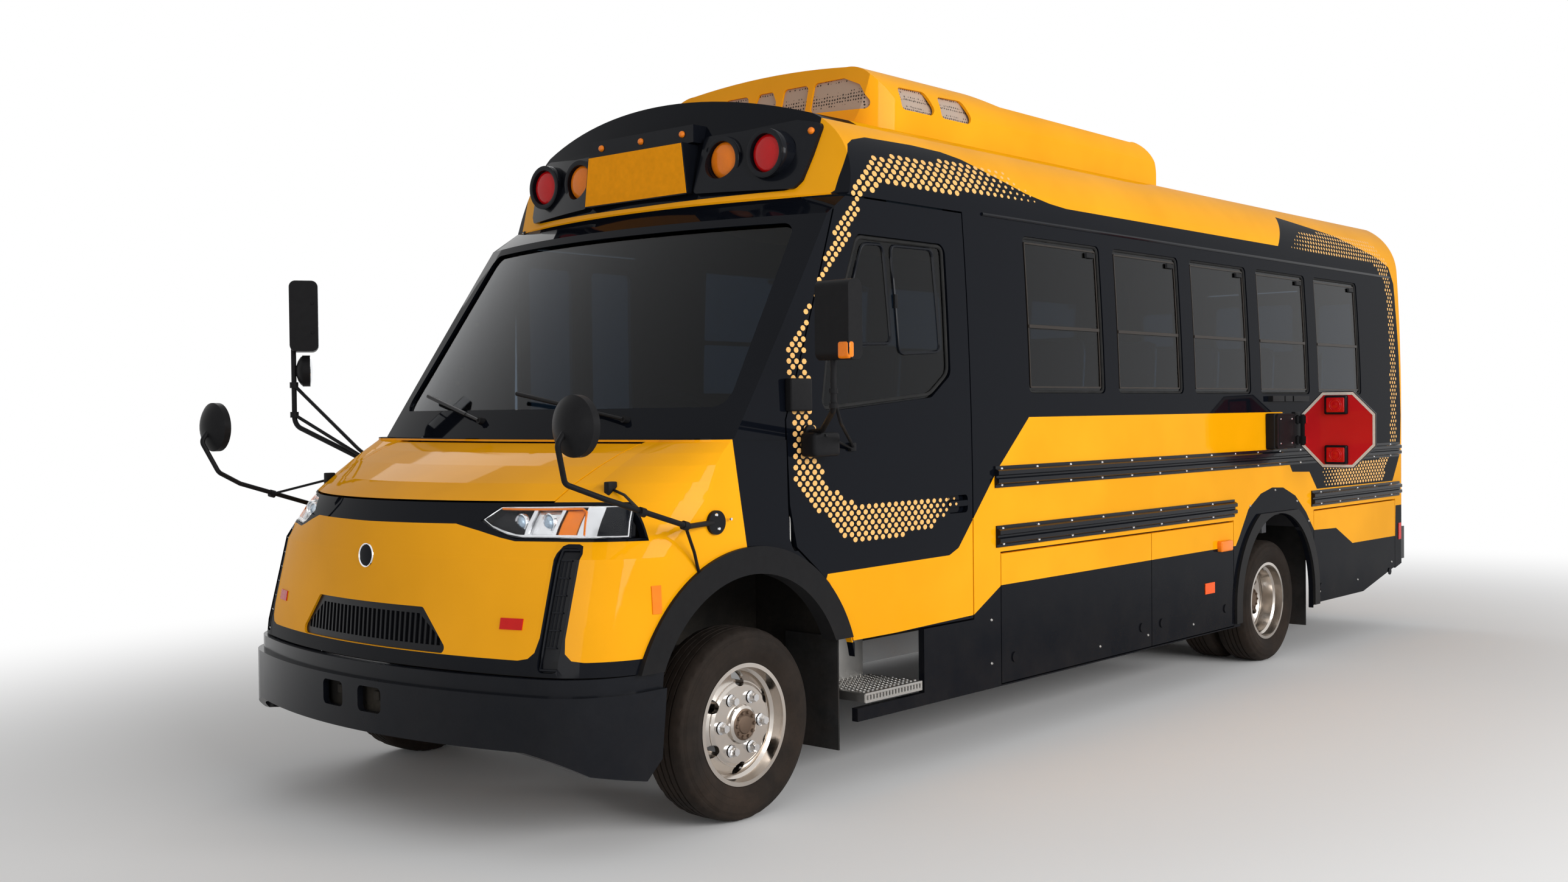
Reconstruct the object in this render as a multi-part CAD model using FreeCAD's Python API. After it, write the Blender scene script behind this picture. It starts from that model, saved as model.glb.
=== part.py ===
import FreeCAD, Part
import math
import os

# Short school bus, in millimetres.
# X is the vehicle's left, the nose points to -Y and Z is up from the floor.
# The origin is on the floor under the middle of the overall length.

V = FreeCAD.Vector

# Driving dimensions of the vehicle
WHEELBASE = 4800.0
FRONT_OVERHANG = 1040.0
REAR_OVERHANG = 2150.0
BODY_WIDTH = 2240.0
TYRE_RADIUS = 370.0
TYRE_WIDTH = 215.0
ROOF_TOP_Z = 2955.0
SKIRT_BOTTOM_Z = 285.0
FLOOR_TOP_Z = 960.0
CAB_FLOOR_Z = 690.0

HALF_WIDTH = BODY_WIDTH / 2
OVERALL_LENGTH = FRONT_OVERHANG + WHEELBASE + REAR_OVERHANG
FRONT_AXLE_Y = FRONT_OVERHANG - OVERALL_LENGTH / 2
REAR_AXLE_Y = FRONT_AXLE_Y + WHEELBASE
REAR_Y = REAR_AXLE_Y + REAR_OVERHANG
AXLE_Z = TYRE_RADIUS

# Walls, gaps and clearances
WALL = 45.0
SKIRT_WALL = 30.0
NOSE_WALL = 25.0
DOOR_GAP = 8.0
SEAT_GAP = 0.3
GLASS_THICKNESS = 6.0
GLASS_INSET = 14.0

# Body section: upright to the sill, leaning in above it, with an arched roof
LEAN_START_Z = 1080.0
SHOULDER_X = HALF_WIDTH - 52.0
SHOULDER_Z = 2500.0
LEAN_MID_X = HALF_WIDTH - 14.0
LEAN_MID_Z = 1830.0
CROWN_EDGE_X = 850.0
CROWN_EDGE_Z = ROOF_TOP_Z - 127.0
SHOULDER_MID_X = 1005.0
SHOULDER_MID_Z = ROOF_TOP_Z - 265.0

# Stations along the body, from the front axle
REAR_WALL_Y = REAR_Y - 60.0
REAR_SPLIT_Y = REAR_WALL_Y - 110.0
REAR_CORNER_RADIUS = 90.0
REAR_ROOF_RADIUS = 140.0
ROOF_SEAM_Z = 2600.0
CAP_REAR_Y = FRONT_AXLE_Y + 950.0
DOOR_REAR_Y = FRONT_AXLE_Y + 1480.0
DOOR_TOP_Z = 2455.0
COWL_Z = 1455.0
FRONT_SAG = 300.0
FRONT_SAG_HALF = 1300.0
FIREWALL_Y = FRONT_AXLE_Y + 215.0

# Arches
FRONT_ARCH_Z = 420.0
FRONT_ARCH_RADIUS = 635.0
FRONT_LIP_RADIUS = FRONT_ARCH_RADIUS
FRONT_OPENING_RADIUS = 530.0
REAR_ARCH_Z = 390.0
REAR_ARCH_RADIUS = 525.0
REAR_LIP_RADIUS = 600.0
LIP_PROUD = 16.0


def fy(offset):
    """Y of a point given from the front axle."""
    return FRONT_AXLE_Y + offset


def ry(offset):
    """Y of a point given from the rear axle."""
    return REAR_AXLE_Y + offset


def box(x0, x1, y0, y1, z0, z1):
    """Block between two corners, in any order of each pair."""
    low = V(min(x0, x1), min(y0, y1), min(z0, z1))
    return Part.makeBox(abs(x1 - x0), abs(y1 - y0), abs(z1 - z0), low)


def closed_wire(points):
    """Wire through points; a pair (mid, end) adds an arc to end."""
    edges = []
    here = points[0]
    for item in points[1:] + [points[0]]:
        if isinstance(item, tuple):
            edges.append(Part.Arc(here, item[0], item[1]).toShape())
            here = item[1]
        elif (item - here).Length > 1e-6:
            edges.append(Part.makeLine(here, item))
            here = item
    return Part.Wire(edges)


def rounded(points, radius):
    """Closed wire through corner points, each rounded by one radius."""
    count = len(points)
    trail = []
    for i, corner in enumerate(points):
        before = (points[i - 1] - corner).normalize()
        after = (points[(i + 1) % count] - corner).normalize()
        half = before.getAngle(after) / 2
        cut = radius / math.tan(half)
        start = corner + before * cut
        end = corner + after * cut
        middle_direction = (before + after).normalize()
        reach = radius / math.sin(half) - radius
        trail.append((start, corner + middle_direction * reach, end))
    edges = []
    for i, (start, mid, end) in enumerate(trail):
        edges.append(Part.Arc(start, mid, end).toShape())
        following = trail[(i + 1) % count][0]
        if (following - end).Length > 1e-6:
            edges.append(Part.makeLine(end, following))
    return Part.Wire(edges)


def extrude(wire, direction):
    return Part.Face(wire).extrude(direction)


def plate_x(points, x0, x1, radius=0.0):
    """Plate from (y, z) corners, between two x planes."""
    corners = [V(x0, y, z) for y, z in points]
    wire = rounded(corners, radius) if radius else closed_wire(corners)
    return extrude(wire, V(x1 - x0, 0, 0))


def plate_y(points, y0, y1, radius=0.0):
    """Plate from (x, z) corners, between two y planes."""
    corners = [V(x, y0, z) for x, z in points]
    wire = rounded(corners, radius) if radius else closed_wire(corners)
    return extrude(wire, V(0, y1 - y0, 0))


def plate_z(points, z0, z1, radius=0.0):
    """Plate from (x, y) corners, between two z planes."""
    corners = [V(x, y, z0) for x, y in points]
    wire = rounded(corners, radius) if radius else closed_wire(corners)
    return extrude(wire, V(0, 0, z1 - z0))


def cylinder(start, end, radius):
    axis = end - start
    return Part.makeCylinder(radius, axis.Length, start, axis)


def ring_x(x0, x1, y, z, outer, inner):
    """Washer around an axis along X."""
    direction = V(1, 0, 0)
    low = V(min(x0, x1), y, z)
    length = abs(x1 - x0)
    disc = Part.makeCylinder(outer, length, low, direction)
    if not inner:
        return disc
    return disc.cut(Part.makeCylinder(inner, length, low, direction))


def mirrored(shape):
    """The same piece on the vehicle's other side."""
    return shape.mirror(V(0, 0, 0), V(1, 0, 0))


def both_sides(shape):
    return [shape, mirrored(shape)]


def fuse(shapes):
    solid = shapes[0].fuse(shapes[1:]) if len(shapes) > 1 else shapes[0]
    return solid.removeSplitter()


def cut(shape, tools):
    return shape.cut(tools) if tools else shape


def tube(points, radius, bend):
    """Round bar along straight runs joined by tangent arcs."""
    edges = []
    here = points[0]
    for i in range(1, len(points) - 1):
        corner = points[i]
        before = (here - corner).normalize()
        after = (points[i + 1] - corner).normalize()
        half = before.getAngle(after) / 2
        reach = bend / math.tan(half)
        start = corner + before * reach
        end = corner + after * reach
        middle = corner + (before + after).normalize() * (bend / math.sin(half) - bend)
        edges.append(Part.makeLine(here, start))
        edges.append(Part.Arc(start, middle, end).toShape())
        here = end
    edges.append(Part.makeLine(here, points[-1]))
    path = Part.Wire(edges)
    profile = Part.Wire([Part.makeCircle(radius, points[0], points[1] - points[0])])
    return path.makePipeShell([profile], True, False)


# Body envelope
def section_wire(y):
    """Cross-section of the body at one station."""
    points = [
        V(-HALF_WIDTH, y, 0),
        V(HALF_WIDTH, y, 0),
        V(HALF_WIDTH, y, LEAN_START_Z),
        (V(LEAN_MID_X, y, LEAN_MID_Z), V(SHOULDER_X, y, SHOULDER_Z)),
        (V(SHOULDER_MID_X, y, SHOULDER_MID_Z), V(CROWN_EDGE_X, y, CROWN_EDGE_Z)),
        (V(0, y, ROOF_TOP_Z), V(-CROWN_EDGE_X, y, CROWN_EDGE_Z)),
        (V(-SHOULDER_MID_X, y, SHOULDER_MID_Z), V(-SHOULDER_X, y, SHOULDER_Z)),
        (V(-LEAN_MID_X, y, LEAN_MID_Z), V(-HALF_WIDTH, y, LEAN_START_Z)),
    ]
    return closed_wire(points)


# Centre-line profile of the cab front: (z, y from the front axle)
FRONT_PROFILE = [(0, -350), (1400, -350), (1560, -240), (2370, 320), (2470, 475), (2800, 575), (3000, 625)]


def front_wire(z, y, inset):
    """Plan outline at one height: a shallow arc in front, open space behind."""
    front = y + inset * 1.2
    back = REAR_Y + 200.0
    return closed_wire([
        V(-FRONT_SAG_HALF, front + FRONT_SAG, z),
        (V(0, front, z), V(FRONT_SAG_HALF, front + FRONT_SAG, z)),
        V(FRONT_SAG_HALF, back, z),
        V(-FRONT_SAG_HALF, back, z),
    ])


def body_envelope(inset):
    """The body's outer form, or that form brought in by a wall."""
    section = section_wire(fy(-700))
    if inset:
        section = section.makeOffset2D(-inset)
    hull = extrude(section, V(0, REAR_WALL_Y - inset - fy(-700), 0))
    wires = [front_wire(z, fy(y), inset) for z, y in FRONT_PROFILE]
    front = Part.makeLoft(wires, True, True)
    rear = REAR_WALL_Y - inset
    half = HALF_WIDTH - inset
    radius = REAR_CORNER_RADIUS - inset if inset < REAR_CORNER_RADIUS - 10 else 10.0
    plan = closed_wire([
        V(-half, fy(-900), 0),
        V(half, fy(-900), 0),
        V(half, rear - radius, 0),
        (V(half - radius * 0.2929, rear - radius * 0.2929, 0), V(half - radius, rear, 0)),
        V(-half + radius, rear, 0),
        (V(-half + radius * 0.2929, rear - radius * 0.2929, 0), V(-half, rear - radius, 0)),
    ])
    plan_prism = extrude(plan, V(0, 0, ROOF_TOP_Z + 50))
    top = ROOF_TOP_Z - inset
    bend = REAR_ROOF_RADIUS - inset if inset < REAR_ROOF_RADIUS - 10 else 10.0
    side = closed_wire([
        V(-2000, fy(-900), 0),
        V(-2000, rear, 0),
        V(-2000, rear, top - bend),
        (V(-2000, rear - bend * 0.2929, top - bend * 0.2929), V(-2000, rear - bend, top)),
        V(-2000, fy(-900), top),
    ])
    side_prism = extrude(side, V(4000, 0, 0))
    return hull.common(front).common(plan_prism).common(side_prism)


OUTER = body_envelope(0)
INNER = body_envelope(WALL)
SHELL = OUTER.cut(INNER)
GLASS_SHEET = body_envelope(GLASS_INSET).cut(body_envelope(GLASS_INSET + GLASS_THICKNESS))

# Door outlines in side view, from the front axle: the seam's own line
DRIVER_DOOR_SEAM = [
    (590, DOOR_TOP_Z),
    (209, 1533),
    (222, 1200),
    (262, 1030),
    (385, 935),
    (460, 872),
    (545, 765),
    (612, 620),
    (1480, 620),
    (1480, DOOR_TOP_Z),
]
ENTRY_FRONT = 640.0
ENTRY_REAR = 1480.0
ENTRY_BOTTOM_Z = 390.0
ENTRY_TOP_Z = 2400.0


def offset_outline(points, distance):
    """Outline of (y, z) points moved out by a distance, or in if negative."""
    wire = closed_wire([V(0, y, z) for y, z in points])
    return wire.makeOffset2D(distance)


def outline_prism(wire, x0, x1):
    moved = wire.copy()
    moved.translate(V(x0, 0, 0))
    return Part.Face(moved).extrude(V(x1 - x0, 0, 0))


DOOR_POINTS = [(fy(y), z) for y, z in DRIVER_DOOR_SEAM]

# Windows
WINDOW_COUNT = 5
WINDOW_FIRST_Y = fy(1972)
WINDOW_PITCH = 853.0
WINDOW_WIDTH = 716.0
WINDOW_BOTTOM_Z = 1640.0
WINDOW_TOP_Z = 2388.0
WINDOW_DIVIDER_Z = 1960.0
WINDOW_CORNER = 30.0
FRAME_FACE = 28.0


def window_outline(index, grow=0.0):
    y0 = WINDOW_FIRST_Y + index * WINDOW_PITCH - grow
    y1 = y0 + WINDOW_WIDTH + 2 * grow
    return [(y0, WINDOW_BOTTOM_Z - grow), (y1, WINDOW_BOTTOM_Z - grow),
            (y1, WINDOW_TOP_Z + grow), (y0, WINDOW_TOP_Z + grow)]


def window_prisms(sign, grow=0.0):
    return [plate_x(window_outline(i, grow), sign * 950.0, sign * 1200.0, WINDOW_CORNER)
            for i in range(WINDOW_COUNT)]


# Skirt compartment doors: (name end, front y, rear y), each hung from its top edge
SKIRT_DOOR_TOP_Z = 897.0
SKIRT_HINGE_DROP = 6.0
SKIRT_TOP_GAP = 10.0
SKIRT_DOOR_BOTTOM_Z = SKIRT_BOTTOM_Z + 12.0
SKIRT_DOORS = {
    "front": (fy(1703), fy(3145)),
    "middle": (fy(3145), fy(4130)),
    "rear": (ry(480), ry(1890)),
}
SKIRT_DOOR_SIDES = (("left", 1, ("front", "middle", "rear")), ("right", -1, ("front", "rear")))
SKIRT_GAP = 6.0
REAR_SKIRT_Z = 300.0
SKIRT_HINGE_X = HALF_WIDTH - 9.0
SKIRT_HINGE_RADIUS = 4.0


def skirt_profile():
    """Side outline of the lower body, with both arches left out."""
    return [
        (fy(-900), SKIRT_BOTTOM_Z),
        (ry(470), SKIRT_BOTTOM_Z),
        (ry(470), REAR_SKIRT_Z),
        (ry(1300), REAR_SKIRT_Z),
        (ry(2010), 445),
        (REAR_Y + 100, 445),
        (REAR_Y + 100, 3200),
        (fy(-900), 3200),
    ]


def arch_tool(y, z, radius, sign, depth=300.0):
    """Round top and straight sides down to below the sill."""
    reach = V(sign * depth, 0, 0)
    start = sign * (HALF_WIDTH + 40.0 - depth)
    wire = closed_wire([
        V(start, y - radius, 0),
        V(start, y - radius, z),
        (V(start, y, z + radius), V(start, y + radius, z)),
        V(start, y + radius, 0),
    ])
    return extrude(wire, reach)


def skirt_door_outline(front, rear):
    half = SKIRT_GAP / 2
    low, high = SKIRT_DOOR_BOTTOM_Z, SKIRT_DOOR_TOP_Z
    return [(front + half, low), (rear - half, low), (rear - half, high), (front + half, high)]


def skirt_doorway(front, rear):
    """Opening in the skirt: the seams' lines, with swing room over the hinge."""
    half = SKIRT_GAP / 2
    low, high = SKIRT_DOOR_BOTTOM_Z - SKIRT_GAP, SKIRT_DOOR_TOP_Z + SKIRT_TOP_GAP
    return [(front - half, low), (rear + half, low), (rear + half, high), (front - half, high)]


def skirt_trim():
    """Everything of the lower body that stands above the sill's lower edge."""
    return plate_x(skirt_profile(), -1400.0, 1400.0)


def skirt_door(name, sign):
    front, rear = SKIRT_DOORS[name]
    outline = skirt_door_outline(front, rear)
    x1 = sign * HALF_WIDTH
    leaf = plate_x(outline, x1 - sign * SKIRT_WALL, x1)
    if name == "rear":
        leaf = leaf.common(skirt_trim_inner())
    leaf = leaf.cut(hinge_rod(front, rear, sign, SKIRT_HINGE_RADIUS + SEAT_GAP))
    latches = []
    for y in (front + 110.0, rear - 110.0):
        z = SKIRT_DOOR_BOTTOM_Z + 110.0
        latches.append(cylinder(V(x1 - sign, y, z), V(x1 + sign * 6.0, y, z), 24.0))
    return fuse([leaf] + latches)


def skirt_trim_inner():
    lift = SKIRT_GAP + 6.0
    points = [(y, z + lift) for y, z in skirt_profile()]
    return plate_x(points, -1400.0, 1400.0)


def hinge_rod(front, rear, sign, radius):
    x = sign * SKIRT_HINGE_X
    z = SKIRT_DOOR_TOP_Z - SKIRT_HINGE_DROP
    return cylinder(V(x, front - 6.0, z), V(x, rear + 6.0, z), radius)


def side_skirt_doors(sign):
    """Front and rear stations of each skirt door on one side."""
    for _, side_sign, places in SKIRT_DOOR_SIDES:
        if side_sign == sign:
            return [SKIRT_DOORS[place] for place in places]
    return []


def skirt_hinge_rods():
    rods = []
    for sign in (1, -1):
        for front, rear in side_skirt_doors(sign):
            x = sign * SKIRT_HINGE_X
            z = SKIRT_DOOR_TOP_Z - SKIRT_HINGE_DROP
            half = SKIRT_GAP / 2
            rods.append(cylinder(V(x, front - half, z), V(x, rear + half, z), SKIRT_HINGE_RADIUS))
    return rods


def side_wall(sign):
    """One side: wall above the floor, skirt below it, and all its openings."""
    region = box(sign * 900.0, sign * 1300.0, fy(-300), REAR_SPLIT_Y, SKIRT_BOTTOM_Z, ROOF_SEAM_Z)
    wall = SHELL.common(region)
    wall = wall.common(skirt_trim())
    # The skirt below the floor is a thinner panel than the wall above it.
    thin = box(0, sign * (HALF_WIDTH - SKIRT_WALL), fy(-300), REAR_SPLIT_Y,
               SKIRT_BOTTOM_Z - 10, FLOOR_TOP_Z - 60.0)
    wall = wall.cut(thin)
    tools = list(window_prisms(sign))
    tools.append(arch_tool(fy(0), FRONT_ARCH_Z, FRONT_ARCH_RADIUS, sign))
    tools.append(arch_tool(ry(-60), REAR_ARCH_Z, REAR_ARCH_RADIUS, sign))
    ahead = [(fy(-600), 200), (fy(-600), 3200), (CAP_REAR_Y, 3200), (CAP_REAR_Y, DOOR_TOP_Z + 4),
             (fy(590) - 4, DOOR_TOP_Z + 4)]
    if sign > 0:
        ahead += [(fy(480), 1533), (fy(480), 200)]
    else:
        ahead += [(fy(205), 1533), (fy(205), COWL_Z), (fy(480), COWL_Z), (fy(480), 200)]
    tools.append(plate_x(ahead, sign * 900.0, sign * 1300.0))
    for front, rear in side_skirt_doors(sign):
        tools.append(plate_x(skirt_doorway(front, rear), sign * 1000.0, sign * 1300.0))
    if sign > 0:
        grown = offset_outline(DOOR_POINTS, DOOR_GAP / 2)
        tools.append(outline_prism(grown, 900.0, 1300.0))
        tools.append(box(1000, 1300, fy(620), fy(1100), 340, 640))
    else:
        tools.append(box(-900, -1300, fy(ENTRY_FRONT), fy(ENTRY_REAR), ENTRY_BOTTOM_Z, ENTRY_TOP_Z))
    return cut(wall, tools)



def roof():
    region = box(-1300, 1300, CAP_REAR_Y, REAR_SPLIT_Y, ROOF_SEAM_Z, ROOF_TOP_Z + 50)
    return SHELL.common(region)


# Front cap: windscreen surround, screen pillars and the panel above the screen
SCREEN_BOTTOM_Z = 1585.0
SCREEN_TOP_Z = 2335.0
SCREEN_BOTTOM_X = 1035.0
SCREEN_TOP_X = 965.0


def screen_outline(grow=0.0):
    return [
        (-SCREEN_BOTTOM_X - grow, SCREEN_BOTTOM_Z - grow),
        (SCREEN_BOTTOM_X + grow, SCREEN_BOTTOM_Z - grow),
        (SCREEN_TOP_X + grow, SCREEN_TOP_Z + grow),
        (-SCREEN_TOP_X - grow, SCREEN_TOP_Z + grow),
    ]


def cap_region():
    outline = [
        (fy(-700), COWL_Z),
        (fy(205), COWL_Z),
        (fy(205), 1533),
        (fy(590) - 4, DOOR_TOP_Z + 4),
        (CAP_REAR_Y, DOOR_TOP_Z + 4),
        (CAP_REAR_Y, ROOF_TOP_Z + 100),
        (fy(-700), ROOF_TOP_Z + 100),
    ]
    return plate_x(outline, -1400.0, 1400.0)


def cowl_ledge():
    """Flat strip between the nose's top edge and the foot of the cap."""
    row = NOSE_SECTIONS[-1]
    strip = extrude(nose_wire(row, 0), V(0, 0, 12)).cut(extrude(nose_wire(row, 70), V(0, 0, 12)))
    return strip.common(box(-1300, 1300, fy(-400), fy(-60), COWL_Z - 1, COWL_Z + 20))


def front_cap():
    cap = SHELL.common(cap_region())
    screen = plate_y(screen_outline(), fy(-700), fy(900), 60.0)
    door = outline_prism(offset_outline(DOOR_POINTS, DOOR_GAP / 2), 900.0, 1300.0)
    buckets = [lamp_seat(x, y, z, BUCKET_RADIUS, -80.0, BUCKET_DEPTH) for x, y, z in lamp_places()]
    return cut(cap.fuse(cowl_ledge()), [screen, door, hinge_relief(RELIEF_HIGH), door_pin(0.0)] + buckets)


def windscreen():
    screen = plate_y(screen_outline(-SEAT_GAP), fy(-700), fy(900), 60.0)
    return GLASS_SHEET.common(screen)


# Driver's door, hung on two upright pins in line
DOOR_AXIS_X = HALF_WIDTH - 15.0
DOOR_AXIS_Y = fy(240)
DOOR_PIN_RADIUS = 4.0
DOOR_PIN_LOW_Z = (1014.0, 1220.0)
DOOR_PIN_HIGH_Z = (1545.0, 1685.0)
# Where the seam crosses the hinge line the bodywork stands back, so that the turning edge clears it
RELIEF_LOW = [(207, 1460), (213, 1205), (218, 1130), (222, 1070), (236, 1036), (250, 1018), (274, 1018), (250, 1460)]
RELIEF_HIGH = [(214, 1565), (216, 1600), (216, 1622), (232, 1650), (258, 1650), (240, 1565)]
DOOR_WINDOW = [
    (fy(700), 2300),
    (fy(470), 1800),
    (fy(420), 1560),
    (fy(1180), 1620),
    (fy(1330), 1720),
    (fy(1330), 2300),
]


def hinge_relief(points):
    return plate_x([(fy(y), z) for y, z in points], 1050.0, 1200.0)


def door_pin(clearance):
    low, high = DOOR_PIN_HIGH_Z
    x = DOOR_AXIS_X
    return cylinder(V(x, DOOR_AXIS_Y, low), V(x, DOOR_AXIS_Y, high), DOOR_PIN_RADIUS + clearance)


def driver_door():
    leaf = SHELL.common(outline_prism(offset_outline(DOOR_POINTS, -DOOR_GAP / 2), 900.0, 1300.0))
    window = plate_x(DOOR_WINDOW, 900.0, 1300.0, 50.0)
    handle = plate_x([(fy(1290), 1105), (fy(1440), 1105), (fy(1440), 1185), (fy(1290), 1185)],
                     HALF_WIDTH - 28.0, HALF_WIDTH + 20.0, 20.0)
    leaf = cut(leaf, [window, handle, door_pin(SEAT_GAP), lower_door_pin(SEAT_GAP)])
    grip = plate_x([(fy(1296), 1135), (fy(1434), 1135), (fy(1434), 1160), (fy(1296), 1160)],
                   HALF_WIDTH - 14.0, HALF_WIDTH + 4.0, 6.0)
    pad = plate_x([(fy(1291), 1106), (fy(1439), 1106), (fy(1439), 1184), (fy(1291), 1184)],
                  HALF_WIDTH - 30.0, HALF_WIDTH - 24.0, 19.0)
    post = box(HALF_WIDTH - 26, HALF_WIDTH - 10, fy(1400), fy(1425), 1137, 1158)
    return fuse([leaf, pad, post, grip])


def lower_door_pin(clearance):
    low, high = DOOR_PIN_LOW_Z
    x = DOOR_AXIS_X
    return cylinder(V(x, DOOR_AXIS_Y, low), V(x, DOOR_AXIS_Y, high), DOOR_PIN_RADIUS + clearance)


def driver_door_glass():
    return GLASS_SHEET.common(plate_x(DOOR_WINDOW, 900.0, 1300.0, 50.0))


# Nose: plan sections lofted from the bumper line up to the cowl
# Each row: height, front at the centre, front at the corner start, corner middle, side start
NOSE_SECTIONS = [
    (560, -990, -865, -750, -520),
    (700, -978, -850, -730, -500),
    (1050, -950, -765, -630, -420),
    (1165, -935, -690, -535, -330),
    (1245, -900, -620, -460, -250),
    (1310, -790, -525, -385, -220),
    (1370, -630, -420, -310, -190),
    (1415, -480, -330, -245, -155),
    (COWL_Z, -310, -222, -180, -110),
]
NOSE_CORNER_X = 850.0
NOSE_MIDDLE_X = 1045.0


def nose_wire(row, inset):
    z, front, corner, middle, side = row
    back = fy(520)
    half = HALF_WIDTH - inset
    corner_x = NOSE_CORNER_X - inset * 0.4
    middle_x = NOSE_MIDDLE_X - inset * 0.7
    slope = inset if z < 1200 else inset * 2.0
    return closed_wire([
        V(half, back, z),
        V(half, fy(side) + inset, z),
        (V(middle_x, fy(middle) + slope, z), V(corner_x, fy(corner) + slope, z)),
        (V(0, fy(front) + slope, z), V(-corner_x, fy(corner) + slope, z)),
        (V(-middle_x, fy(middle) + slope, z), V(-half, fy(side) + inset, z)),
        V(-half, back, z),
    ])


def nose_envelope(inset):
    return Part.makeLoft([nose_wire(row, inset) for row in NOSE_SECTIONS], True, True)


NOSE_BOTTOM_Z = 645.0
HOOD_FRONT_Z = 1243.0
HOOD_GAP = 7.0
HOOD_REAR_HALF = 800.0
HOOD_FRONT_HALF = 760.0
NOSE_SHELL = nose_envelope(0).cut(nose_envelope(NOSE_WALL))


def hood_prism(gap):
    rear = HOOD_REAR_HALF - gap
    front = HOOD_FRONT_HALF - gap
    return plate_z([(-rear, fy(0)), (rear, fy(0)), (front, fy(-960)), (-front, fy(-960))],
                   HOOD_FRONT_Z + gap, 1600.0)


GRILLE_TOP_Z = 862.0
GRILLE_BOTTOM_Z = 700.0
GRILLE_SLOTS = 33
GRILLE_PITCH = 28.0


def grille_outline(grow=0.0):
    return [
        (-485 - grow, GRILLE_BOTTOM_Z - grow),
        (485 + grow, GRILLE_BOTTOM_Z - grow),
        (340 + grow, GRILLE_TOP_Z + grow),
        (-340 - grow, GRILLE_TOP_Z + grow),
    ]


# Headlamp opening, seen from in front: tip towards the centre, wrapping the corner
HEADLAMP = [(545, 1180), (600, 1232), (1075, 1238), (1125, 1225), (1125, 1120), (700, 1118), (640, 1135)]
HEADLAMP_END_Y = fy(-512)
LOUVRE = [(872, 660), (946, 660), (946, 1088), (872, 1088)]


def headlamp_prism(sign):
    points = [V(sign * x, fy(-1100), z) for x, z in HEADLAMP]
    prism = extrude(closed_wire(points), V(0, HEADLAMP_END_Y - fy(-1100), 0))
    return prism


def louvre_prism(sign):
    return plate_y([(sign * x, z) for x, z in LOUVRE], fy(-1100), fy(-400), 20.0)


def nose():
    body = NOSE_SHELL.common(box(-1400, 1400, fy(-1100), fy(480), NOSE_BOTTOM_Z, COWL_Z))
    door = outline_prism(offset_outline(DOOR_POINTS, DOOR_GAP / 2), 900.0, 1300.0)
    tools = [hood_prism(0), plate_y(grille_outline(), fy(-1100), fy(-700), 20.0), door,
             hinge_relief(RELIEF_LOW), lower_door_pin(0.0)]
    for sign in (1, -1):
        tools.append(headlamp_prism(sign))
        tools.append(louvre_prism(sign))
        tools.append(arch_tool(fy(0), FRONT_ARCH_Z, FRONT_ARCH_RADIUS, sign, 500.0))
    body = cut(body, tools)
    return body


HOOD_AXIS_Y = fy(-330)
HOOD_AXIS_Z = 1410.0
HOOD_HINGE_XS = (-340.0, 340.0)
HOOD_POST = 14.0
HOOD_EAR = 12.0
HOOD_PIN_RADIUS = 5.0


def hood():
    """Lid over the front bay, with a pair of ears for each hinge post."""
    lid = NOSE_SHELL.common(hood_prism(HOOD_GAP)).common(
        box(-1000, 1000, fy(-1000), fy(0), HOOD_FRONT_Z, COWL_Z - HOOD_GAP))
    ears = []
    bores = []
    for x in HOOD_HINGE_XS:
        for x0 in (x - HOOD_POST / 2 - 1 - HOOD_EAR, x + HOOD_POST / 2 + 1):
            ears.append(box(x0, x0 + HOOD_EAR, HOOD_AXIS_Y - 12, HOOD_AXIS_Y + 12, HOOD_AXIS_Z - 12, COWL_Z))
        bores.append(cylinder(V(x - 40, HOOD_AXIS_Y, HOOD_AXIS_Z), V(x + 40, HOOD_AXIS_Y, HOOD_AXIS_Z),
                              HOOD_PIN_RADIUS + SEAT_GAP))
    ears = fuse(ears).common(nose_envelope(5.0))
    return fuse([lid, ears]).cut(bores)


def hood_posts():
    """Pins for the hood on posts carried back to the firewall."""
    posts = []
    for x in HOOD_HINGE_XS:
        half = HOOD_POST / 2
        low = HOOD_AXIS_Z - 90
        posts.append(fuse([
            box(x - half, x + half, HOOD_AXIS_Y - 9, HOOD_AXIS_Y + 9, low, HOOD_AXIS_Z),
            cylinder(V(x - half, HOOD_AXIS_Y, HOOD_AXIS_Z), V(x + half, HOOD_AXIS_Y, HOOD_AXIS_Z), 9.0),
            cylinder(V(x - 20, HOOD_AXIS_Y, HOOD_AXIS_Z), V(x + 20, HOOD_AXIS_Y, HOOD_AXIS_Z), HOOD_PIN_RADIUS),
            box(x - 20, x + 20, HOOD_AXIS_Y - 9, fy(135), low - 15, low),
        ]))
    return posts


def headlamps():
    """Clear housings that fill the lamp openings, both sides."""
    solid = nose_envelope(2.0).cut(nose_envelope(NOSE_WALL + 40.0))
    return [solid.common(headlamp_prism(sign)) for sign in (1, -1)]


def lower_grille():
    """Frame, close-set upright bars and a dark backing sheet in the lower opening."""
    sheet = nose_envelope(10.0).cut(nose_envelope(22.0))
    outline = plate_y(grille_outline(), fy(-1100), fy(-700), 20.0)
    panel = sheet.common(outline)
    slots = []
    for i in range(GRILLE_SLOTS):
        x = (i - (GRILLE_SLOTS - 1) / 2) * GRILLE_PITCH
        slots.append(box(x - 9, x + 9, fy(-1100), fy(-700), GRILLE_BOTTOM_Z + 14, GRILLE_TOP_Z - 14))
    tool_area = plate_y(grille_outline(-26.0), fy(-1100), fy(-700), 12.0)
    backing = nose_envelope(21.0).cut(nose_envelope(26.0)).common(outline)
    return panel.cut([slot.common(tool_area) for slot in slots]).fuse(backing)


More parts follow.
